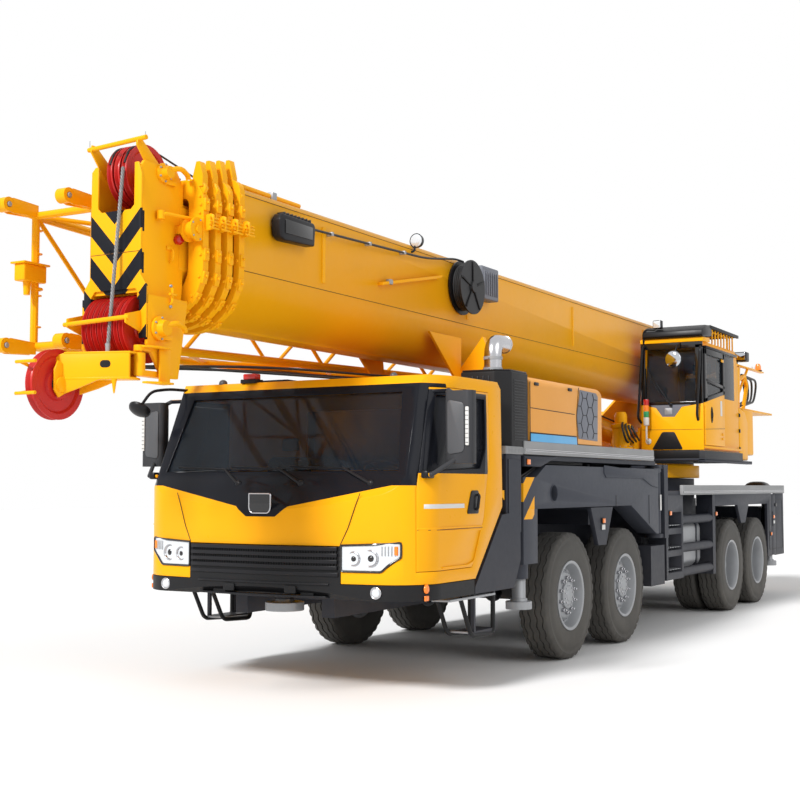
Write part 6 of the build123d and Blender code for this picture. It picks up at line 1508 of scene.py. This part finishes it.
    def _rails(self) -> None:
        """Makes the silver edge rails with their ridges and end blocks."""
        self.rework(RAIL_METAL, "rails", "deck_rails", 0.008, 2, flat=0.05)
        for x0, x1, z in ((-2.36, 1.17, 2.0), (-8.53, -3.44, 1.61)):
            for rise in (-0.014, -0.03):
                self.pair(CHROME, "rail_ridges", pipe([(x0, 1.391, z + rise), (x1, 1.391, z + rise)], 0.004, 0, 2))
        self.pair(RAIL_METAL, "rail_blocks", box(*mm("1190,1300,1935 1560,1384,2004"), 0.008),
            *[box((1.2 + 0.03 * index, 1.383, 1.945), (1.215 + 0.03 * index, 1.388, 1.996), 0.001, 1)
                for index in range(12)])

    def _deck(self) -> None:
        """Makes the raised tread bars and the dark covers on the deck."""
        self.rework(CARRIER_GREY, "plates", "deck_plates", 0.004, 1, flat=0.02)
        for x in [-2.45 + 0.16 * index for index in range(11)]:
            for y in (0.55, 0.8, 1.05):
                bar = turned(box(*mm("0,0,1889 70,16,1894", x, y, 0), 0.001, 1), (x + 0.035, y, 1.89), Z, 45)
                self.pair(BRIGHT_METAL, "front_treads", bar)
        for x in [-8.45 + 0.22 * index for index in range(22)]:
            for y in (0.62, 0.9, 1.16):
                bar = turned(box(*mm("0,0,1549 70,16,1554", x, y, 0), 0.001, 1), (x + 0.035, y, 1.55), Z, -45)
                self.pair(BRIGHT_METAL, "rear_treads", bar)
        for x in (-8.2, -3.05):
            self.pair(BLACK_SATIN, "deck_covers", cushion((x, 0.92, 1.545), (x + 0.34, 1.3, 1.7), 0.03))


@dataclass
class Outriggers(Assembly):
    """The swing arms, rear beams, jacks and their lamps and markings."""

    arm_y: float = 1.38
    title = "outrigger"
    home = "arm_{}"

    def shape(self) -> None:
        """Makes both pairs of outriggers."""
        for side in Side:
            node = f"swing_arm_{side.word}"
            self.rework(ARM_GREY, "shell", node, 0.01, 2, flat=0.03, on=f"arm_{side.word}")
        for make in (self._arm_details, self._jacks, self._rear):
            make()

    def _arm_details(self) -> None:
        """Makes the lifting hole's rim, the raised rear plate, the seams, the pivot's cap and pin, and the hoses."""
        y = self.arm_y
        rim = hoop((0.5, y, 1.59), Y, 0.08, 0.006, 32, 8)
        self.pair(ARM_GREY, "lifting_hole", rim)
        self.pair(ARM_GREY, "raised_plate",
            plate(mm("-800,1870 -2500,1800 -2500,1640 -2280,1660 -1980,1742 -860,1742 -800,1790"), Y, y - 0.004,
                y + 0.009, 0.006))
        seams = [mm("-1150,1,1560 -1150,1,1440", 0, y, 0), mm("-2200,1,1560 -2200,1,1240", 0, y, 0)]
        for line in seams:
            self.pair(BLACK_TRIM, "seams", pipe(line, 0.003, 0, 1))
        self.pair(ARM_GREY, "pivot_cap", plate(mm("-2560,1800 -2450,1812 -2430,1862 -2660,1862 -2680,1820"), Y,
                1.18, 1.37, 0.006))
        self.pair(BRIGHT_METAL, "pivot_pin", lathe(mm("0,0 75,0 85,12 85,30 60,40 0,40"), (-2.64, 1.275, 1.862), Z,
                28), nuts((-2.64, 1.275, 1.9), Z, 0.048, 6, 0.009, 0.01))
        for rise in (0.0, 0.03):
            self.pair(HOSE_BLACK, "hoses", pipe([(1.1, 1.3, 1.705 + rise), (0.6, 1.3, 1.87 + rise / 2),
                        (-0.4, 1.3, 1.868 + rise / 2)], 0.009, 0.1, 2))

    def _jacks(self) -> None:
        """Rounds all five jacks and bolts their feet."""
        for side in Side:
            self._jack(f"front_leg_{side.word}", f"front_jack_{side.word}", (1.06, 1.268 * side.value), 0.56)
            beam_x = -8.02 if side is Side.LEFT else -8.33
            self._jack(f"rear_leg_{side.word}", f"rear_jack_{side.word}", (beam_x, 1.255 * side.value), 0.47)
        self._jack("nose_leg", "nose_jack", (2.89, 0.0), 0.64)

    def _jack(self, body: str, node: str, spot: tuple[float, float], float_z: float) -> None:
        """Rounds one jack and adds its foot's bolts.

        Args:
            body: The jack leg's body.
            node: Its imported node.
            spot: Its x and y.
            float_z: The underside of its foot.
        """
        x, y = spot
        self.rework(BRIGHT_METAL, "leg", node, 0.003, 1, flat=0.02, on=body)
        self.put(CAST_IRON, "foot_bolts", nuts((x, y, float_z + 0.03), Z, 0.078, 8, 0.008, 0.012), on=body)

    def _rear(self) -> None:
        """Rounds the rear beams and adds their end plates and markings."""
        for side, x in ((Side.LEFT, -8.02), (Side.RIGHT, -8.33)):
            node, body = f"rear_beam_{side.word}", f"beam_{side.word}"
            self.rework(CARRIER_GREY, "shell", node, 0.006, 2, flat=0.03, on=body)
            sign = side.value
            self.put(CARRIER_GREY, "end_plate", box((x - 0.07, 1.344 * sign, 1.06), (x + 0.07, 1.352 * sign, 1.28),
                    0.003), on=body)
            for z, finish in ((1.2, LAMP_AMBER), (1.12, REFLECTOR_WHITE)):
                self.put(finish, f"mark_{finish.name}",
                    plate(oblong(x - 0.04, z - 0.022, x + 0.04, z + 0.022), Y, 1.351 * sign, 1.358 * sign, 0.002),
                    on=body)


@dataclass
class CarrierSides(Assembly):
    """The chassis, mudguards, ladder, tubes, tanks, tail and the small lamps along the sides."""

    side: float = 1.345
    title = "carrier"

    def shape(self) -> None:
        """Makes everything along the carrier's sides and tail."""
        for node, width in (("mudguards", 0.006), ("side_guards", 0.004), ("chassis_frame", 0.004)):
            self.rework(CARRIER_GREY, f"{node}_shell", node, width, 1, flat=0.02)
        for make in (self._fascia, self._markers, self._tanks, self._skirts, self._tail, self._underside):
            make()

    def _fascia(self) -> None:
        """Makes the angled panel under the front rail, the front posts and their yellow flashes."""
        self.pair(CARRIER_GREY, "fascia", plate(mm("1165,1925 395,1925 560,1895 800,1832 1165,1832"), Y, 1.345,
                1.382, 0.004))
        self.pair(CARRIER_GREY, "front_posts", box(*mm("1215,1300,1250 1530,1372,1935"), 0.008))
        self.pair(CRANE_YELLOW, "hazard_flashes", plate(mm("1600,1620 1545,1620 1545,1535 1575,1560 1600,1545"), Y,
                1.352, 1.36, 0.001), plate(mm("1600,1335 1545,1375 1545,1300 1600,1300"), Y, 1.352, 1.36, 0.001))

    def _markers(self) -> None:
        """Makes the amber and white markers."""
        spots = ((1.095, 1.872, 1.383), (-0.77, 1.305, 1.383), (-3.05, 1.34, 1.346), (-4.95, 1.3, 1.346),
            (-7.85, 0.95, 1.346))
        for x, z, y in spots:
            self.pair(BLACK_TRIM, "marker_frames", box(*mm("-40,-2,-30 40,6,30", x, y, z), 0.003))
            self.pair(LAMP_AMBER, "markers", box(*mm("-33,4,-23 33,14,23", x, y, z)))
        self.pair(REFLECTOR_WHITE, "white_marks", plate(oblong(-0.815, 1.265, -0.725, 1.215), Y, 1.382, 1.387,
                0.001))
        self.pair(REFLECTOR_WHITE, "white_slips", plate(oblong(-2.625, 1.56, -2.58, 1.38), Y, 1.381, 1.385, 0.001),
            on="arm_{}")

    def _tanks(self) -> None:
        """Makes the rounded tanks with straps, caps and the ladder's treads."""
        tank = box(*mm("-4735,750,645 -3645,1220,1230"), 0.11, 6)
        self.put(BRIGHT_METAL, "tanks", tank, flipped(tank), instead=["fuel_tanks"])
        for x in (-4.5, -3.92):
            self.pair(CARRIER_GREY, "tank_straps",
                plate(mm("742,640 1200,640 1228,700 1228,1170 1200,1238 742,1238"), X, x, x + 0.05, 0.004))
        self.pair(BLACK_SATIN, "tank_caps", lathe(mm("0,0 50,0 50,45 62,50 62,78 50,86 0,86"), (-4.25, 1.02, 1.222),
                Z, 28))
        for z in (0.64, 0.9, 1.16):
            for index in range(6):
                self.pair(BRIGHT_METAL, "step_treads", box((-3.53 + 0.1 * index, 1.06, z + 0.03),
                        (-3.47 + 0.1 * index, 1.33, z + 0.038), 0.001, 1))

    def _skirts(self) -> None:
        """Makes the seams and catches of the side boxes."""
        y = self.side
        for x0, x1, z0, z1 in ((-2.7, -2.3, 0.58, 0.94), (-8.55, -7.75, 0.72, 1.45)):
            self.pair(BLACK_TRIM, "box_seams", pipe([(x0, y + 0.001, z0), (x1, y + 0.001, z0), (x1, y + 0.001, z1),
                        (x0, y + 0.001, z1), (x0, y + 0.001, z0)], 0.003, 0.03, 1))
            middle = (x0 + x1) / 2
            self.pair(BLACK_SATIN, "box_catches", plate(oblong(middle - 0.05, z1 - 0.1, middle + 0.05, z1 - 0.05),
                    Y, y, y + 0.014, 0.004, 0.015))

    def _tail(self) -> None:
        """Makes the tail's stripes, the rear lamps, the towing jaw and the blank plate."""
        for y in (-0.98, 0.98):
            box_low, box_high = (-8.985, y - 0.22, 0.64), (-8.94, y + 0.22, 0.78)
            self.put(BLACK_SATIN, "lamp_boxes", box(box_low, box_high, 0.012, 3))
            for index, finish in enumerate((LAMP_RED, LAMP_AMBER, LAMP_RED, REFLECTOR_WHITE)):
                lamp = dome((-8.983, y - 0.15 + 0.1 * index, 0.71), X, 0.04, -0.014, -0.004)
                bmesh.ops.recalc_face_normals(lamp, faces=lamp.faces)
                self.put(finish, f"tail_{finish.name}", lamp)
        self.put(CAST_IRON, "towing_jaw", lathe(mm("18,0 60,0 60,-50 30,-90 18,-90"), (-8.945, 0.0, 0.8), X, 24,
                closed=True))
        self.put(TAIL_STRIPES, "tail_stripes", plate(oblong(-1.24, 0.8, 1.24, 0.905), X, -8.962, -8.948))
        self.put(REFLECTOR_WHITE, "blank_plate", plate(oblong(-0.26, 0.955, 0.26, 1.065), X, -8.958, -8.95, 0.003,
                0.012))

    def _underside(self) -> None:
        """Makes the springs, brake chambers and propeller shafts that show between the wheels."""
        for x in (0.0, -1.52, -5.62, -6.97):
            for index in range(5):
                half = 0.62 - 0.09 * index
                z = 0.8 + 0.022 * index
                self.pair(CAST_IRON, "leaf_springs", pipe([(x - half, 0.5, z + 0.09), (x, 0.5, z),
                            (x + half, 0.5, z + 0.09)], 0.011, 0.4, 1))
            self.pair(BLACK_SATIN, "brake_chambers", lathe(mm("0,-70 60,-70 85,-20 85,20 60,80 0,80"),
                    (x + 0.24, 0.62, 0.62), X, 24))
        self.put(CAST_IRON, "propeller_shafts", pipe(mm("300,0,620 -950,0,620"), 0.045, 0, 3),
            pipe(mm("-2100,0,660 -4950,0,640"), 0.05, 0, 3))


@dataclass
class CraneCab(Assembly):
    """The operator's cab: skin, screen surround, door, visor, rails, lamps and inside."""

    front_x: float = -4.4
    skin_y: float = 1.33
    door_y: tuple[float, float] = (1.338, 1.38)
    seat: Point = (-5.5, 0.935, 2.56)
    title = "crane_cab"
    home = "upper_works"

    def shape(self) -> None:
        """Makes everything on and in the operator's cab."""
        self.rework(CRANE_CAB_YELLOW, "shell", "crane_cab_shell", 0.008, 2, flat=0.04)
        for make in (self._front, self._door, self._roof, self._rails, self._signals, self._inside):
            make()

    def _front(self) -> None:
        """Makes the lower front panel, its grey vee, the black trapezoid, the wiper and the round mirror."""
        x = self.front_x
        self.put(CRANE_YELLOW, "front_panel",
            plate(mm("548,2120 548,2712 744,2668 828,2550 990,2546 1086,2672 1368,2712 1368,2120"), X, x - 0.004,
                x + 0.01, 0.004))
        self.put(PANEL_GREY, "front_vee", plate(mm("600,2735 1300,2735 1060,2640 995,2530 822,2534 770,2640"), X,
                x - 0.006, x + 0.006))
        self.put(BRIGHT_METAL, "blank_badge", plate(oblong(0.86, 2.575, 0.96, 2.66), X, x + 0.005, x + 0.012, 0.003,
                0.012))
        self.put(BLACK_TRIM, "front_recess", plate(mm("826,2354 987,2352 1096,2130 688,2128"), X, x + 0.008,
                x + 0.02, 0.006, 0.02))
        # The dark lines in the front panel's crease and in the door's crease are painted shade.
        self.put(SHADE_LINE, "front_crease", pipe(mm("10.5,560,2386 10.5,1362,2379", x, 0, 0), 0.0028, 0, 1))
        self.put(SHADE_LINE, "door_crease", pipe([(x - 0.02, self.skin_y + 0.052, 2.38),
                    (-5.32, self.skin_y + 0.052, 2.42)], 0.0028, 0, 1), on="crane_door")
        for y0, y1, z0, z1 in ((0.546, 0.606, 2.7, 3.47), (1.268, 1.366, 2.7, 3.47), (0.546, 1.366, 3.425, 3.512),
                (0.59, 1.3, 2.7, 2.74)):
            self.put(BLACK_GLOSS, "screen_surround", plate(oblong(y0, z0, y1, z1), X, x - 0.006, x + 0.008, 0.004))
        self.put(BLACK_SATIN, "wiper", pipe(mm("20,636,3207 20,700,3020 20,800,2850", x, 0, 0), 0.008, 0.05, 2),
            pipe(mm("8,945,2700 40,930,2715 32,749,3000", x, 0, 0), 0.009, 0.03, 2),
            lathe(mm("0,0 22,0 18,35 0,35"), (x + 0.004, 0.945, 2.7), X, 16))
        self.put(BLACK_SATIN, "round_mirror", lathe(mm("0,-30 60,-26 108,-4 112,4 104,8 0,8"),
                (x + 0.19, 1.04, 3.27), X, 36), pipe(mm("165,1040,3290 120,1060,3440 10,1080,3500", x, 0, 0), 0.008,
                0.06, 2))
        self.put(MIRROR_GLASS, "round_mirror_glass", dome((x + 0.197, 1.04, 3.27), X, 0.103, 0.022, 0.002, 36))
        self.put(BLACK_TRIM, "foot_band", plate([(-6.195, 0.56), (-6.195, 1.326), (x - 0.02, 1.326),
                    (x + 0.004, 1.3), (x + 0.004, 0.56)], Z, 2.012, 2.118, 0.006))

    def _door(self) -> None:
        """Makes the sliding door with its divided window."""
        near, far = self.door_y
        self.put(CRANE_YELLOW, "panel", plate(mm("-5330,2180 -4430,2180 -4430,2730 -5330,2880"), Y, near, far,
                0.007), on="crane_door", instead=["crane_cab_door"])
        bars: tuple[Flat, ...] = (mm("-4430,2722 -4430,3420 -4505,3420 -4540,2742"),
            mm("-5330,2872 -5330,3420 -5262,3420 -5262,2860"), oblong(-5.33, 3.42, -4.43, 3.345),
            mm("-5330,2875 -4430,2725 -4430,2775 -5330,2925"), mm("-5330,2945 -4480,2995 -4480,3035 -5330,2985"))
        for outline in bars:
            self.put(BLACK_SATIN, "window_frame", plate(outline, Y, near + 0.004, far + 0.003, 0.004),
                on="crane_door")
        self.put(TINTED_GLASS, "pane", plate(mm("-5275,2880 -5275,3360 -4500,3360 -4535,2760"), Y, 1.354, 1.359,
                0.0), on="crane_door")
        cup = lathe(mm("0,2 44,2 52,10 60,8 62,0 0,0"), (0, 0, 0), Y, 28)
        bmesh.ops.scale(cup, vec=(0.62, 1, 1.7), verts=cup.verts)
        bmesh.ops.translate(cup, vec=(-4.715, far, 2.575), verts=cup.verts)
        self.put(BLACK_SATIN, "handle", cup, pipe(mm("-4700,4,2620 -4700,20,2600 -4700,20,2550 -4700,4,2530", 0,
                    far, 0), 0.007, 0.01, 2), on="crane_door")
        for z in (2.26, 2.32, 3.3):
            self.put(CRANE_YELLOW, "rollers", box(*mm("-5290,-2,0 -5180,8,35", 0, far, z)), on="crane_door")
        self.put(REFLECTOR_WHITE, "blank_slip", plate(oblong(-5.2, 2.58, -5.12, 2.78), Y, far - 0.001, far + 0.002,
                0.0, 0.01), on="crane_door")

    def _roof(self) -> None:
        """Makes the black visor, the yellow brow under it, the roof grating and the guard's posts."""
        x = self.front_x
        self.put(BLACK_SATIN, "visor", plate([(x + 0.03, 3.56), (x + 0.075, 3.585), (x + 0.06, 3.65),
                    (-4.48, 3.722), (-4.76, 3.742), (-4.76, 3.6)], Y, 0.6, 1.385, 0.01))
        self.put(CRANE_YELLOW, "roof_brow", plate([(x + 0.02, 3.505), (x + 0.02, 3.56), (-4.7, 3.575),
                    (-4.7, 3.515)], Y, 0.546, 1.376, 0.008))
        for y in (0.6, 1.372):
            self.put(BLACK_TRIM, "grating", box(*mm("-6060,-16,3700 -4700,16,3742", 0, y, 0), 0.005))
        for index in range(24):
            self.put(BLACK_TRIM, "grating", box(*mm("0,600,3708 12,1372,3738", -6.05 + 0.055 * index, 0, 0), 0.002,
                    1))
        for index in range(8):
            self.put(CRANE_YELLOW, "guard_posts", box(*mm("0,1335,3515 22,1352,3705", -5.9 + 0.14 * index, 0, 0),
                    0.003, 1))

    def _rails(self) -> None:
        """Makes the black handrails beside the screen and the work lamp on its arm."""
        x = self.front_x
        self.put(BLACK_SATIN, "handrails", pipe(mm("6,1340,3440 65,1352,3400 65,1300,2560 8,1297,2500", x, 0, 0),
                0.017, 0.06, 3), pipe(mm("6,600,3480 65,590,3440 65,520,2540 8,545,2480", x, 0, 0), 0.017, 0.06, 3))
        self.put(BLACK_SATIN, "lamp_arm", pipe(mm("10,592,3500 50,600,3640 50,640,3690 50,760,3680", x, 0, 0),
                0.014, 0.05, 3))
        self.put(BLACK_SATIN, "work_lamp", box(*mm("-10,735,3690 75,850,3800", x, 0, 0), 0.014, 3),
            *[box((x - 0.03, 0.745, 3.705 + 0.018 * index), (x - 0.005, 0.84, 3.712 + 0.018 * index), 0.001, 1)
                for index in range(5)])
        self.put(LAMP_CLEAR, "work_lamp_glass", plate(oblong(0.745, 3.7, 0.84, 3.79), X, x + 0.072, x + 0.082,
                0.003, 0.01))

    def _signals(self) -> None:
        """Makes the stacked load lamp on its white stand."""
        x, y = self.front_x + 0.085, 0.64
        bands = ((LAMP_RED, 2.7, 2.775), (LAMP_AMBER, 2.622, 2.698), (LAMP_GREEN, 2.545, 2.62),
            (REFLECTOR_WHITE, 2.44, 2.543))
        for finish, low, high in bands:
            self.put(finish, f"load_lamp_{finish.name}",
                lathe([(0.0, low), (0.034, low), (0.036, low + 0.006), (0.036, high - 0.006), (0.034, high),
                        (0.0, high)], (x, y, 0.0), Z, 28))
        self.put(REFLECTOR_WHITE, "load_lamp_stand", pipe(mm("0,0,2445 0,0,2245 -85,0,2235", x, y, 0), 0.012, 0.03,
                3), lathe(mm("0,0 40,0 36,16 18,24 0,24"), (self.front_x + 0.008, y, 2.235), X, 24))

    def _inside(self) -> None:
        """Makes the seat's base, the control stands, the levers and the screen on its arm."""
        x, y, z = self.seat
        self.put(DASH_GREY, "seat_base", box((x + 0.08, y - 0.12, 2.165), (x + 0.38, y + 0.12, z - 0.01), 0.03, 3),
            box(*mm("20,-200,2162 440,200,2215", x, y, 0), 0.02), instead=["crane_cab_interior"])
        for sign in (-1, 1):
            low, high = sorted((y + sign * 0.235, y + sign * 0.305))
            self.put(DASH_GREY, "control_stands", box((x + 0.13, low, z - 0.03), (x + 0.51, high, z + 0.235), 0.028,
                    3))
            self.put(BLACK_SATIN, "levers", pipe(mm("420,0,220 440,0,330", x, (low + high) / 2, z), 0.009, 0, 2),
                lathe(mm("0,0 16,0 26,30 26,70 14,100 0,100"), (x + 0.44, (low + high) / 2, z + 0.32), Z, 18))
        self.put(DASH_GREY, "dash", plate(mm("-4620,2165 -4500,2165 -4500,2500 -4560,2560 -4660,2520"), Y, 0.66,
                1.22, 0.012), pipe(mm("-4600,700,2540 -4630,740,2640"), 0.01, 0, 2))
        self.put(BLACK_GLOSS, "screen", box(*mm("-4660,660,2620 -4620,860,2780"), 0.01))


@dataclass
class UpperWorks(Assembly):
    """The slewing frame, counterweight, winches, luffing ram, hoses and rear lamps."""

    winch_xs: tuple[float, float] = (-7.91, -8.54)
    winch_z: float = 3.15
    title = "upper"
    home = "upper_works"

    def shape(self) -> None:
        """Makes everything that turns with the slew ring behind the cab."""
        self.rework(FRAME_YELLOW, "frame", "upper_frame", 0.006, 2, flat=0.03)
        self.rework(CRANE_YELLOW, "counterweight", "counterweight", 0.022, 3, flat=0.03)
        for make in (self._winches, self._ram, self._fittings, self._rear_bar, self._platform):
            make()

    def _winches(self) -> None:
        """Makes both winch drums with their wound rope."""
        for x, body, node in zip(self.winch_xs, ("main_winch", "aux_winch"), ("main_winch_drum", "aux_winch_drum")):
            at = (x, 0.0, self.winch_z)
            flange = mm(
                "0,-495 215,-495 230,-475 298,-470 298,-445 200,-440 200,440 298,445 298,470 230,475 "
                "215,495 0,495"
            )
            self.put(CRANE_YELLOW, "drum", lathe(flange, at, Y, 40), on=body, instead=[node])
            for sign in (-1, 1):
                self.put(BRIGHT_METAL, "drum_bolts", nuts((x, 0.494 * sign, self.winch_z), Y, 0.15, 10, 0.012,
                        0.0009 * sign + 0.0004), on=body)
            for layer, count in ((0, 40), (1, 36)):
                for index in range(count):
                    self.put(ROPE_STEEL, "rope", hoop((x, -0.42 + 0.84 * (index + 0.5) / count, self.winch_z), Y,
                            0.212 + 0.018 * layer, 0.0098, 28, 6), on=body)

    def _ram(self) -> None:
        """Rounds the ram's barrel and adds its two pipes."""
        self.rework(CRANE_YELLOW, "barrel", "ram_barrel", 0.004, 2, flat=0.03, on="ram_barrel")
        for offset in (-0.06, 0.06):
            self.put(HOSE_BLACK, "ram_pipes", pipe(mm("-5100,0,2475 -4600,0,2535 -2300,0,2775", 0, offset, 0),
                    0.011, 0.1, 2), on="ram_barrel")

    def _fittings(self) -> None:
        """Makes the slewing motor, the valve block and the hose loops in front of the cab."""
        self.put(CRANE_YELLOW, "slew_motor",
            lathe(mm("0,0 150,0 150,50 115,60 115,280 130,300 130,340 80,350 80,460 60,500 0,500"),
                (-4.02, 0.4, 2.105), Z, 32))
        self.put(BRIGHT_METAL, "motor_bolts", nuts((-4.02, 0.4, 2.155), Z, 0.134, 12, 0.009, 0.012))
        self.put(CRANE_YELLOW, "valve_block", box((-4.37, 0.2, 2.1), (-4.18, 0.52, 2.28), 0.014, 3))
        self.put(BRIGHT_METAL, "valve_bolts", *[bolt((-4.18, 0.235 + 0.05 * index, 2.14 + 0.05 * row), X, 0.01,
                    0.014) for index in range(3) for row in range(3)])
        for index in range(4):
            y = 0.47 + 0.04 * index
            self.put(HOSE_BLACK, "front_hoses", pipe([(-4.02, y - 0.04, 2.48 - 0.03 * index),
                        (-3.8 - 0.01 * index, y + 0.02, 2.42), (-3.84, y + 0.06, 2.23 + 0.03 * index),
                        (-4.17, y, 2.2 + 0.015 * index)], 0.014, 0.12, 3))

    def _rear_bar(self) -> None:
        """Makes the bar behind the cab with its beacon, lamp and mirror, and the hose loops."""
        y = 1.02
        frame = pipe([(-7.3, y, 3.2), (-7.7, y, 3.33), (-7.85, y, 3.18), (-7.6, y, 2.78)], 0.03, 0.05, 3)
        self.put(CRANE_YELLOW, "lamp_bar", plate(mm("-7320,2740 -7240,2740 -7250,3400 -7330,3440 -7400,3440"), Y,
                y - 0.03, y + 0.03, 0.006), box(*mm("-8780,-35,3440 -7240,35,3462", 0, y, 0), 0.005),
            pipe([(-7.27, y, 2.95), (-7.9, y, 3.43)], 0.02, 0, 3), frame)
        self.put(LAMP_AMBER, "beacon", lathe(mm("0,0 55,0 55,18 46,20 44,75 30,110 0,118"), (-8.56, y, 3.462), Z,
                28))
        self.put(BLACK_SATIN, "beacon_foot", lathe(oblong(0.0, 0.0, 0.062, 0.014), (-8.56, y, 3.458), Z, 28))
        self.put(LAMP_CLEAR, "small_lamp", lathe(mm("0,0 30,0 30,40 16,60 0,62"), (-8.25, y, 3.462), Z, 20))
        self.put(BLACK_SATIN, "mirror_case", box((-7.42, y - 0.02, 3.5), (-7.24, y + 0.16, 3.64), 0.016, 3),
            pipe([(-7.33, y, 3.44), (-7.33, y, 3.51)], 0.01, 0, 2))
        self.put(MIRROR_GLASS, "mirror_glass", plate(oblong(y, 3.515, y + 0.145, 3.625), X, -7.242, -7.234, 0.002,
                0.01))
        for index in range(4):
            reach = 0.16 * index
            self.put(HOSE_BLACK, "rear_hoses", pipe([(-7.6, 0.92 + 0.03 * index, 3.33),
                        (-8.02 - reach, 0.92 + 0.03 * index, 3.3), (-8.1 - reach, 0.94, 2.98),
                        (-7.62, 0.92 + 0.03 * index, 2.86)], 0.017, 0.24, 3))

    def _platform(self) -> None:
        """Makes the grey walkway beside the cab and the side cover with its hinges."""
        self.put(CARRIER_GREY, "walkway", box(*mm("-6680,1300,1965 -4380,1384,2005"), 0.005),
            plate(oblong(-6.68, 0.56, -4.38, 1.384), Z, 1.985, 2.008))
        self.put(CRANE_YELLOW, "side_cover", plate(mm("-6230,2020 -6680,2020 -6690,2560 -6560,2700 -6230,2760"), Y,
                1.24, 1.33, 0.02, 0.0, 3))
        for z in (2.15, 2.4, 2.62):
            self.put(BLACK_SATIN, "cover_hinges", box(*mm("-6245,1325,0 -6205,1345,50", 0, 0, z)))


class Stage:
    """Floor, lights, world and camera."""

    FLOOR_HALF = 60.0
    CAMERA_AT = (11.6298, 6.087, 1.6504)
    CAMERA_YAW = 209.759
    CAMERA_PITCH = 3.8705
    LENS = 57.66

    def build(self) -> None:
        """Makes everything that isn't the crane."""
        for make in (self._camera, self._floor, self._world, self._lamps):
            make()
        bpy.context.scene.view_settings.view_transform = "Standard"

    def _camera(self) -> None:
        """Places the camera."""
        data = bpy.data.cameras.new("camera")
        data.lens = self.LENS
        data.sensor_width = 36.0
        data.clip_end = 400.0
        camera = linked("camera", data)
        x, y, z = self.CAMERA_AT
        camera.location = (x + AXLE_1_X, y, z)
        yaw, pitch = math.radians(self.CAMERA_YAW), math.radians(self.CAMERA_PITCH)
        aim = Vector((math.cos(yaw) * math.cos(pitch), math.sin(yaw) * math.cos(pitch), math.sin(pitch)))
        camera.rotation_mode = "QUATERNION"
        camera.rotation_quaternion = aim.to_track_quat("-Z", "Y")
        bpy.context.scene.camera = camera

    def _floor(self) -> None:
        """Makes the pale floor, which looks white to the camera away from the shadow."""
        bm = bmesh.new()
        bmesh.ops.create_grid(bm, x_segments=1, y_segments=1, size=self.FLOOR_HALF)
        mesh = bpy.data.meshes.new("floor")
        bm.to_mesh(mesh)
        bm.free()
        floor = linked("floor", mesh)
        material = bpy.data.materials.new("floor")
        material.use_nodes = True
        shader = material.node_tree.nodes["Principled BSDF"]
        shader.inputs["Base Color"].default_value = (0.93, 0.93, 0.93, 1)
        shader.inputs["Roughness"].default_value = 0.9
        shader.inputs["Specular IOR Level"].default_value = 0.1
        mesh.materials.append(material)

    def _world(self) -> None:
        """Makes the plain bright surroundings."""
        world = bpy.data.worlds.new("studio")
        bpy.context.scene.world = world
        world.use_nodes = True
        tree = world.node_tree
        tree.nodes.clear()
        path = tree.nodes.new("ShaderNodeLightPath")
        sky = tree.nodes.new("ShaderNodeBackground")
        sky.inputs["Color"].default_value = (1, 1, 1, 1)
        sky.inputs["Strength"].default_value = 0.46
        seen = tree.nodes.new("ShaderNodeBackground")
        seen.inputs["Color"].default_value = (1, 1, 1, 1)
        blend = tree.nodes.new("ShaderNodeMixShader")
        output = tree.nodes.new("ShaderNodeOutputWorld")
        shown = path.outputs["Is Camera Ray"]
        for ray in ("Is Glossy Ray", "Is Transmission Ray"):
            either = tree.nodes.new("ShaderNodeMath")
            either.operation = "MAXIMUM"
            tree.links.new(shown, either.inputs[0])
            tree.links.new(path.outputs[ray], either.inputs[1])
            shown = either.outputs[0]
        tree.links.new(shown, blend.inputs[0])
        tree.links.new(sky.outputs[0], blend.inputs[1])
        tree.links.new(seen.outputs[0], blend.inputs[2])
        tree.links.new(blend.outputs[0], output.inputs["Surface"])

    def _lamps(self) -> None:
        """Adds a soft sun from the front and a weaker one from the left."""
        for name, strength, spread, aim in (("key", 3.3, 12.0, (-0.8, 0.1, -0.62)),
                ("fill", 0.6, 40.0, (-0.1, -0.8, -0.5))):
            data = bpy.data.lights.new(name, "SUN")
            data.energy = strength
            data.angle = math.radians(spread)
            lamp = linked(name, data)
            lamp.rotation_mode = "QUATERNION"
            lamp.rotation_quaternion = Vector(aim).to_track_quat("-Z", "Y")


class Dressing:
    """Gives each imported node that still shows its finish."""

    FINISHES = {CAST_IRON: "axles engine_block knuckle_1_left knuckle_1_right knuckle_2_left knuckle_2_right",
        CRANE_YELLOW: "boom_rest", BLACK_TRIM: "cab_bumper", CHROME: "ram_rod",
        TINTED_GLASS: "cab_glass crane_cab_glass", LAMP_CLEAR: "cab_lamps"}

    def __init__(self, nodes: dict[str, bpy.types.Object]) -> None:
        """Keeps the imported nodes, by name."""
        self.nodes = nodes

    def build(self) -> None:
        """Puts its finish on each of them."""
        for finish, names in self.FINISHES.items():
            for name in names.split():
                mesh = self.nodes[name].data
                mesh.materials.clear()
                mesh.materials.append(finish.material())


def main() -> None:
    """Builds the stage and the crane's looks."""
    logging.basicConfig(level=logging.INFO)
    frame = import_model()
    Stage().build()
    Dressing(frame["nodes"]).build()
    for assembly in (Wheels(), DrivingCab(), BoomHead(), Boom(), FlyJib(), EngineDeck(), Outriggers(),
            CarrierSides(), CraneCab(), UpperWorks()):
        assembly.build()
    Seats().build()


if __name__ == "__main__":
    main()
